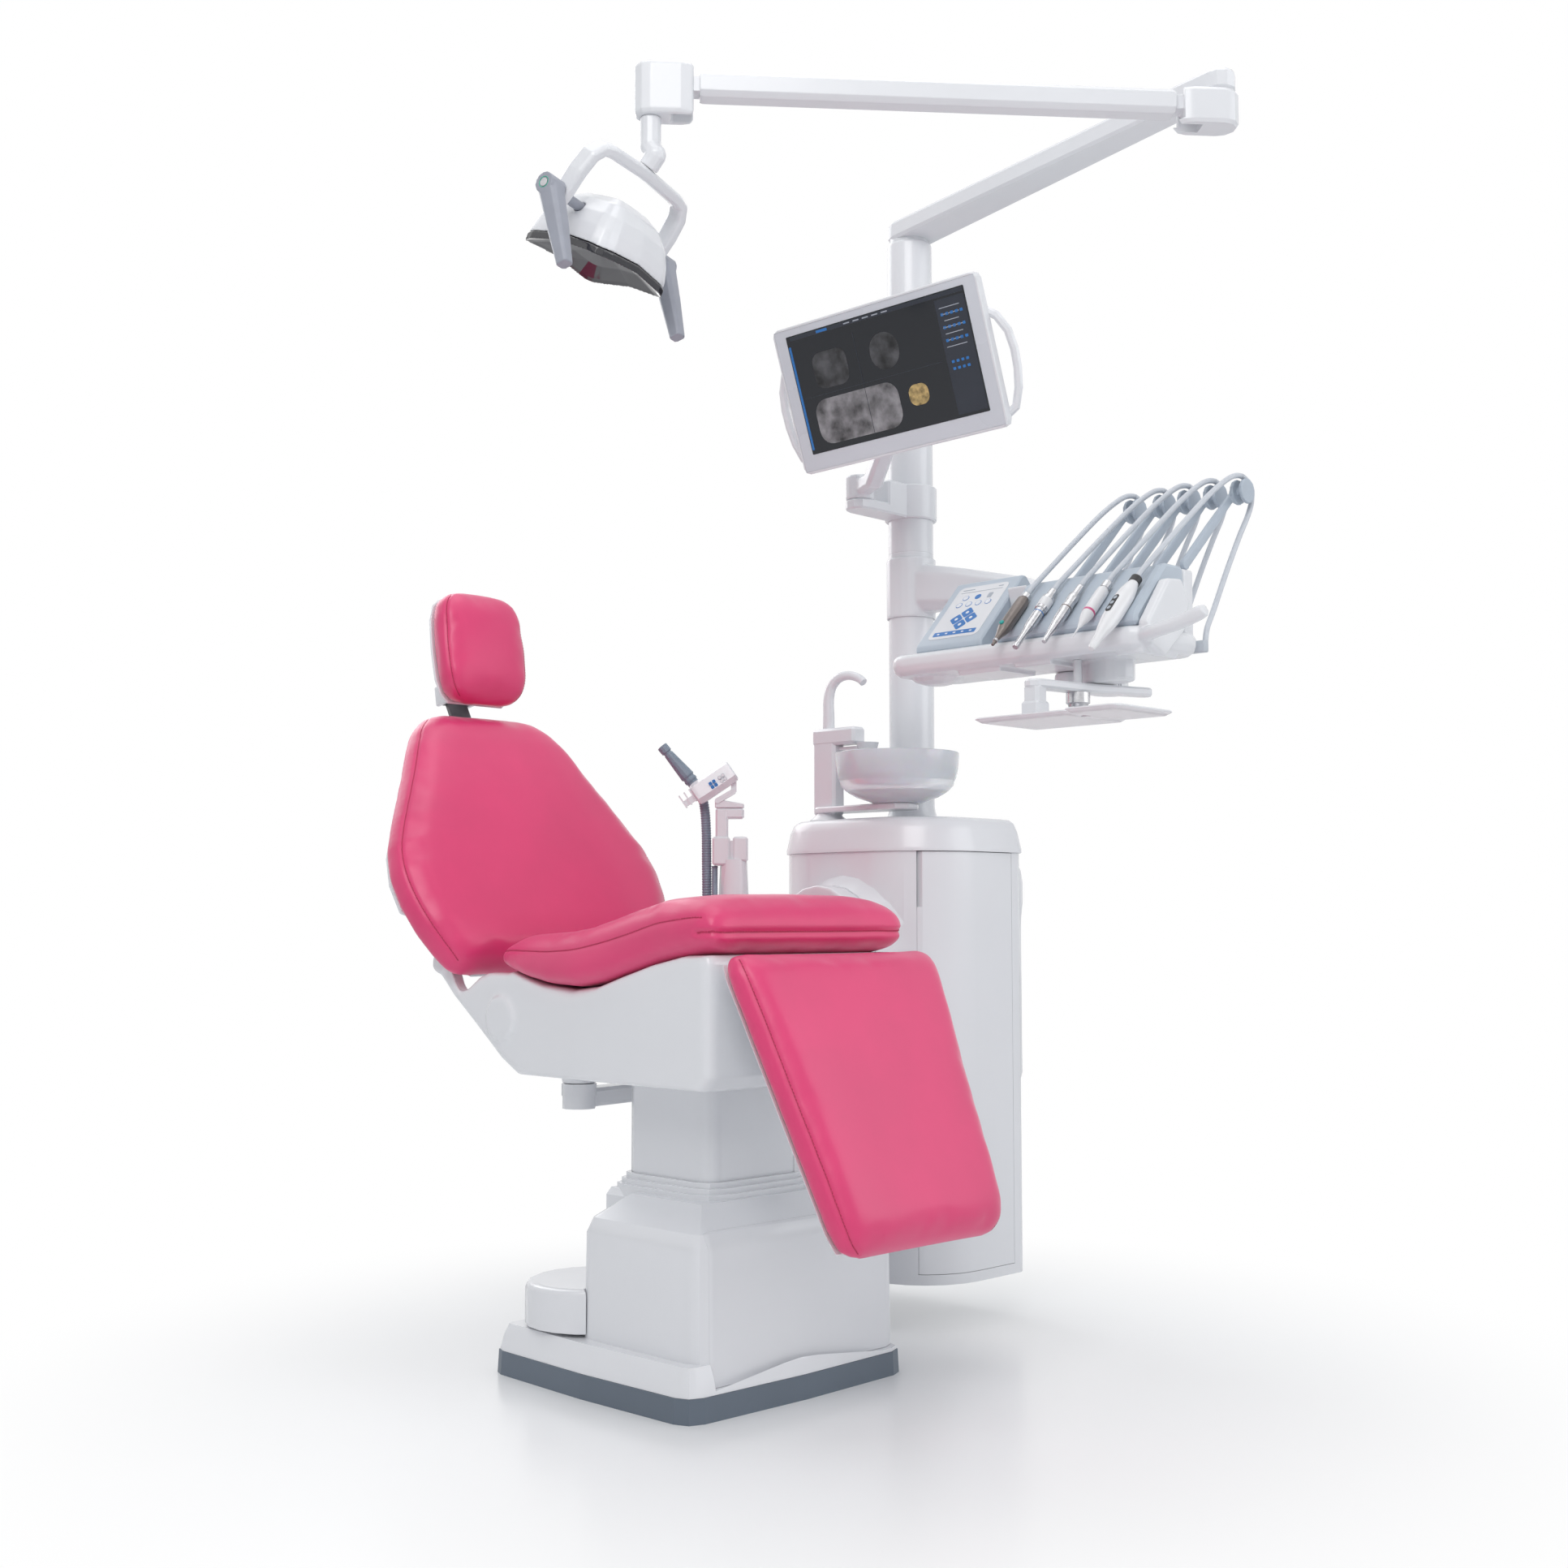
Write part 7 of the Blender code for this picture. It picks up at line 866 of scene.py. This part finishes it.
# Whips: five sprung arms moulded in grey-blue plastic.  They stand behind the cradle, and each has a
# pair of pulley discs that carry its hose.
WHIP_BLUE = (0.44, 0.50, 0.575)
whip_plastic = clouded("whip_plastic", WHIP_BLUE, 0.38, cloud=0.03, cloud_size=0.03)
for k in range(1, 6):
    remade("whip_%d" % k, "whip_arm_%d" % k, 0.0013, 3, "whip_%d" % k, "whip_grey", whip_plastic)

# Tray: two shallow white trays on a cast bracket that turns under the delivery head, clamped by a
# knurled steel knob.
dressed("tray_bracket", "tray_bracket_casting", 0.0012, "tray", "white", white_gloss)
dressed("tray_plates", "tray_dishes", 0.0008, "tray", "white", white_gloss)
dressed("tray_knob", "tray_clamp_knob", 0.0008, "knob", "steel", steel)

# Monitor: a flat screen in a white moulded housing with a loop handle at each side.  It tilts on an
# arm of its own, which turns on a collar that is clamped round the post.
dressed("monitor_clamp", "monitor_collar", 0.0012, "base", "white", white_gloss)
remade("monitor_arm", "monitor_arm_casting", 0.0020, 4, "screen_arm", "white", white_gloss)
dressed("monitor_housing", "monitor_case", 0.0008, "screen", "white", white_gloss)
BEZEL_GREY = (0.66, 0.69, 0.74)
bezel_plastic = clouded("bezel_plastic", BEZEL_GREY, 0.28, cloud=0.02, coat=0.2)
dressed("monitor_screen", "monitor_bezel", 0.0004, "screen", "pale_blue", bezel_plastic)
SCREEN_DARK = (0.010, 0.012, 0.017)
screen_glass = clouded("screen_glass", SCREEN_DARK, 0.14, cloud=0.02, coat=0.3)
FACE_X = Vector((0.12738, -0.99062, 0.04951))
FACE_Y = Vector((-0.32764, 0.00509, 0.94479))
FACE_Z = Vector((-0.93618, -0.13657, -0.32392))
FACE_ORIGIN = Vector((0.368, -0.133, 1.837))
FACE_SINK = 0.0003
screen_reach = reach_along("monitor_screen", FACE_Z) - FACE_ORIGIN.dot(FACE_Z)
FACE_PLACE = stand(FACE_ORIGIN + FACE_Z * (screen_reach - FACE_SINK), FACE_X, FACE_Y, FACE_Z)
finished(rounded_plate("display_glass", (0.412, 0.234), 0.002, 0.0009, FACE_PLACE, (0.0, 0.009)), "screen",
         "screen_black", screen_glass)
scan_grey = clouded("scan_grey", (0.20, 0.20, 0.21), 0.35, cloud=0.85, cloud_size=0.035)
scan_dark = clouded("scan_dark", (0.055, 0.057, 0.062), 0.35, cloud=0.80, cloud_size=0.030)
scan_amber = clouded("scan_amber", (0.42, 0.31, 0.13), 0.35, cloud=0.70, cloud_size=0.012)
panel_grey = clouded("panel_grey", (0.030, 0.036, 0.050), 0.30, cloud=0.04, cloud_size=0.05)
PANEL_RISE = 0.0012
LINE_RISE = 0.0014
DISPLAY_PITCH = 0.0105
finished(rounded_plate("scan_wide", (0.196, 0.088), 0.028, PANEL_RISE, FACE_PLACE, (-0.078, -0.052)),
         "screen", "screen_black", scan_grey)
printed("scan_small", FACE_PLACE, "screen", "screen_black", scan_dark,
        ((0.080, 0.070), 0.020, PANEL_RISE, [(-0.118, 0.046)]),
        ((0.066, 0.070), 0.032, PANEL_RISE, [(0.010, 0.050)]))
finished(rounded_plate("scan_model", (0.044, 0.040), 0.016, PANEL_RISE, FACE_PLACE, (0.064, -0.046)),
         "screen", "ivory", scan_amber)
printed("display_bars", FACE_PLACE, "screen", "screen_black", panel_grey,
        ((0.400, 0.0075), 0.001, 0.0011, [(0.003, 0.120)]),
        ((0.064, 0.214), 0.001, 0.0011, [(0.171, 0.005)]),
        ((0.001, 0.200), 0.0004, 0.0013, [(-0.052, 0.0)]),
        ((0.320, 0.001), 0.0004, 0.0013, [(-0.032, 0.001)]))
upper_keys = [(0.150 + k * DISPLAY_PITCH, 0.084 - row * 0.024) for row in range(3) for k in range(5)]
lower_keys = [(0.152 + k * DISPLAY_PITCH, -0.004 - row * 0.013) for row in range(2) for k in range(4)]
printed("display_keys", FACE_PLACE, "screen", "teal", mark_blue,
        ((0.0052, 0.205), 0.001, PANEL_RISE, [(-0.2015, 0.003)]),
        ((0.026, 0.005), 0.001, LINE_RISE, [(-0.120, 0.120)]),
        ((0.0062, 0.0052), 0.001, LINE_RISE, upper_keys),
        ((0.0060, 0.0050), 0.001, LINE_RISE, lower_keys))
text_lines = [((0.044 - 0.006 * (row % 3), 0.0014), 0.0006, LINE_RISE, [(0.168, 0.096 - row * 0.012)])
              for row in range(7)]
printed("display_lines", FACE_PLACE, "screen", "hose_grey", mark_grey, *text_lines,
        ((0.014, 0.0022), 0.0006, LINE_RISE, [(-0.060 + 0.022 * k, 0.120) for k in range(5)]))

# Lamp: a lower arm on the post, an elbow, a sprung arm, a levelling knuckle, a cranked stem and a
# yoke that carries the lamp head between its grips.
dressed("light_arm_lower", "lamp_lower_arm", 0.003, "lamp_lower", "white", white_gloss, steps=3)
dressed("light_elbow", "lamp_elbow_casting", 0.002, "lamp_elbow", "white", white_gloss, steps=3)
dressed("light_arm_spring", "lamp_spring_tube", 0.002, "lamp_spring", "white", white_gloss, steps=3)
remade("light_knuckle", "lamp_knuckle_casting", 0.0018, 6, "lamp_knuckle", "white", white_gloss)
remade("light_stem", "lamp_stem_tube", 0.0015, 8, "lamp_stem", "white", white_gloss)
remade("light_yoke", "lamp_yoke_bar", 0.0017, 8, "lamp_yoke", "white", white_gloss)
HANDLE_LILAC = (0.33, 0.345, 0.40)
handle_plastic = clouded("handle_plastic", HANDLE_LILAC, 0.40, cloud=0.04, cloud_size=0.03)
SMOKE = (0.03, 0.03, 0.036)
smoked_glass = clouded("smoked_glass", SMOKE, 0.07, cloud=0.05, coat=0.5)
remade("light_head", "lamp_dome", 0.0018, 9, "lamp_head", "white", white_gloss)
remade("light_lens", "lamp_front_glass", 0.0015, 2, "lamp_head", "dark_glass", smoked_glass)
remade("light_handles", "lamp_grips", 0.0014, 4, "lamp_head", "handle_grey", handle_plastic)
dressed("light_button", "lamp_switch", 0.0002, "lamp_button", "steel", steel)

# The switch's ring: a thin ring of green light guide round the switch button, set in the end of the
# grip.
GRIP_OUT = Vector((-0.96913, -0.21545, 0.11984))
SWITCH_RING = 0.0094
SWITCH_RING_THICKNESS = 0.0007
RING_SINK = 0.0002
switch_points = [vertex.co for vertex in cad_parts["light_button"].data.vertices]
switch_middle = sum(switch_points, Vector()) / len(switch_points)
grip_reach = reach_along("light_handles", GRIP_OUT) - switch_middle.dot(GRIP_OUT)
bpy.ops.object.select_all(action="DESELECT")
bpy.ops.mesh.primitive_torus_add(major_segments=48, minor_segments=8, major_radius=SWITCH_RING,
                                 minor_radius=SWITCH_RING_THICKNESS)
switch_ring = bpy.context.object
switch_ring.name = "lamp_switch_ring"
switch_ring.matrix_world = (Matrix.Translation(switch_middle + GRIP_OUT * (grip_reach - RING_SINK))
                            @ GRIP_OUT.to_track_quat("Z", "Y").to_matrix().to_4x4())
bpy.ops.object.transform_apply(location=True, rotation=True, scale=True)
bpy.ops.object.shade_smooth()
ring_green = clouded("ring_green", (0.05, 0.45, 0.30), 0.3, cloud=0.02, cloud_size=0.01)
finished(switch_ring, "lamp_head", "teal", ring_green)

# Suction hoses: a large and a small ribbed hose in grey-blue vinyl, held together by one strap.  The
# large one runs from the handpiece down to the foot of the upright, the small one from the holder's
# knuckle to a port in the upright.
ASSISTANT_PLACE = (Matrix.Translation((0.330, 0.262, 0.0)) @ Matrix.Rotation(radians(-45), 4, "Z"))
BIG_RADIUS = 0.0102
SMALL_RADIUS = 0.0062
BIG_HOSE_ROUTE = (
    (-0.0797, 0.0175, 1.0686), (-0.0732, 0.0172, 1.0610), (-0.0650, 0.0165, 1.0450),
    (-0.0590, 0.0150, 1.0150), (-0.0560, 0.0120, 0.9700), (-0.0550, 0.0060, 0.9100),
    (-0.0540, 0.0, 0.8500), (-0.0530, 0.0, 0.7000), (-0.0560, 0.0, 0.6000), (-0.0590, 0.0, 0.5550),
    (-0.0550, 0.0, 0.5290), (-0.0455, 0.0, 0.5200), (-0.0356, 0.0, 0.5200))
SMALL_HOSE_ROUTE = (
    (-0.0380, -0.0040, 0.9030), (-0.0380, -0.0040, 0.8960), (-0.0378, -0.0120, 0.8700),
    (-0.0372, -0.0220, 0.8400), (-0.0365, -0.0280, 0.7800), (-0.0365, -0.0300, 0.7000),
    (-0.0400, -0.0330, 0.6400), (-0.0460, -0.0320, 0.6120), (-0.0444, -0.0256, 0.6020),
    (-0.0380, -0.0219, 0.6020), (-0.0302, -0.0174, 0.6020))


def ribbed_hose(name, route, radius, rib, pitch):
    """A hose with turned ribs along its route, as one closed tube, and its centre line."""
    line = smooth_route([ASSISTANT_PLACE @ Vector(point) for point in route], pitch / 4)
    last = len(line) - 1
    widths = [1.0 - (rib / radius) * (0.5 - 0.5 * cos(i * pi / 2)) if 3 < i < last - 3 else 1.0
              for i in range(len(line))]
    hose = tube(name, [line], radius, widths=widths)
    give(hose, vinyl)
    return hose, line


vinyl = clouded("suction_vinyl", SUCTION_BLUE, 0.40, cloud=0.05, cloud_size=0.03)
big_hose, big_line = ribbed_hose("suction_hose", BIG_HOSE_ROUTE, BIG_RADIUS, 0.0013, 0.0052)
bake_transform(big_hose)
small_hose, small_line = ribbed_hose("saliva_hose", SMALL_HOSE_ROUTE, SMALL_RADIUS, 0.0008, 0.0040)
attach(small_hose, "assistant")
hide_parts("suction_hoses")

# The strap that holds the two hoses together: a flat band of soft plastic round both, about half way
# down the upright.
HOSE_STRAP = (0.0524, 0.0226)
strap_way = Vector((0.482, -0.876, 0.0))
strap_place = ASSISTANT_PLACE @ stand(Vector((-0.0530, 0.0, 0.715)) + strap_way * 0.0151, strap_way,
                                      Vector((0.876, 0.482, 0.0)), Vector((0.0, 0.0, 1.0)))
finished(rounded_plate("hose_strap", HOSE_STRAP, 0.0112, 0.012, strap_place), "assistant", "suction_grey",
         handle_plastic)


for hose, line, radius in ((big_hose, big_line, BIG_RADIUS), (small_hose, small_line, SMALL_RADIUS)):
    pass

# Instrument hoses: five smooth light grey hoses.  Each leaves its instrument, rides over the pulley of
# its whip and falls behind the head into the manifold.
HOSE_RADIUS = 0.0052
HOSE_STEP = 0.006
WHIP_HALF = 0.005
PULLEY_WIDTH = 0.007
PULLEY_HALF_SPACING = 0.00625
CREST_REACH = 0.295
CREST_RISE = 0.2275
EARLY_SPREAD = 1.15
WHIP_YS = (-0.381, -0.449, -0.505, -0.563, -0.621)
HOSE_CLIMB = ((0.16, 0.205), (0.42, 0.51), (0.66, 0.78), (0.84, 0.945), (0.96, 0.998))
HOSE_FALL = ((0.808, 1.626), (0.824, 1.612), (0.828, 1.590), (0.815, 1.560), (0.780, 1.510), (0.735, 1.440),
             (0.690, 1.365), (0.665, 1.325), (0.6564, 1.290), (0.646, 1.290))
hose_rubber = clouded("hose_silicone", (0.60, 0.63, 0.68), 0.42, cloud=0.03, cloud_size=0.02)
bpy.ops.object.select_all(action="DESELECT")
bpy.ops.mesh.primitive_cube_add(size=1.0)
manifold = bpy.context.object
manifold.name = "hose_manifold"
manifold.matrix_world = (Matrix.Translation((0.6442, -0.516, 1.290))
                         @ Matrix.Diagonal((0.0157, 0.270, 0.022, 1.0)))
bpy.ops.object.transform_apply(location=True, rotation=True, scale=True)
use(manifold, "BEVEL", width=0.003, segments=3)
smooth_shade(manifold)
finished(manifold, "delivery", "hose_grey", clouded("manifold_plastic", (0.52, 0.56, 0.61), 0.4),
         "instrument_hoses")
for k, whip_y in enumerate(WHIP_YS):
    groove = whip_y - WHIP_HALF - PULLEY_WIDTH - PULLEY_HALF_SPACING
    tail_y = CRADLE_Y - CRADLE_PITCH * k
    route = [(0.5006, tail_y, 1.4026), (0.5156, tail_y, 1.4176)]
    for along, rise in HOSE_CLIMB:
        share = min(1.0, along * EARLY_SPREAD)
        route.append((CRADLE_X + CREST_REACH * along, tail_y + (groove - tail_y) * share,
                      CRADLE_Z + CREST_RISE * rise))
    route += [(x, groove, z) for x, z in HOSE_FALL]
    line = smooth_route(route, HOSE_STEP)
    crest = max(range(len(line)), key=lambda i: line[i].z)
    for part, points in (("rise", line[:crest + 1]), ("fall", line[crest:])):
        hose = tube("hose_%s_%d" % (part, k + 1), [points], HOSE_RADIUS)
        give(hose, hose_rubber)
        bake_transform(hose)
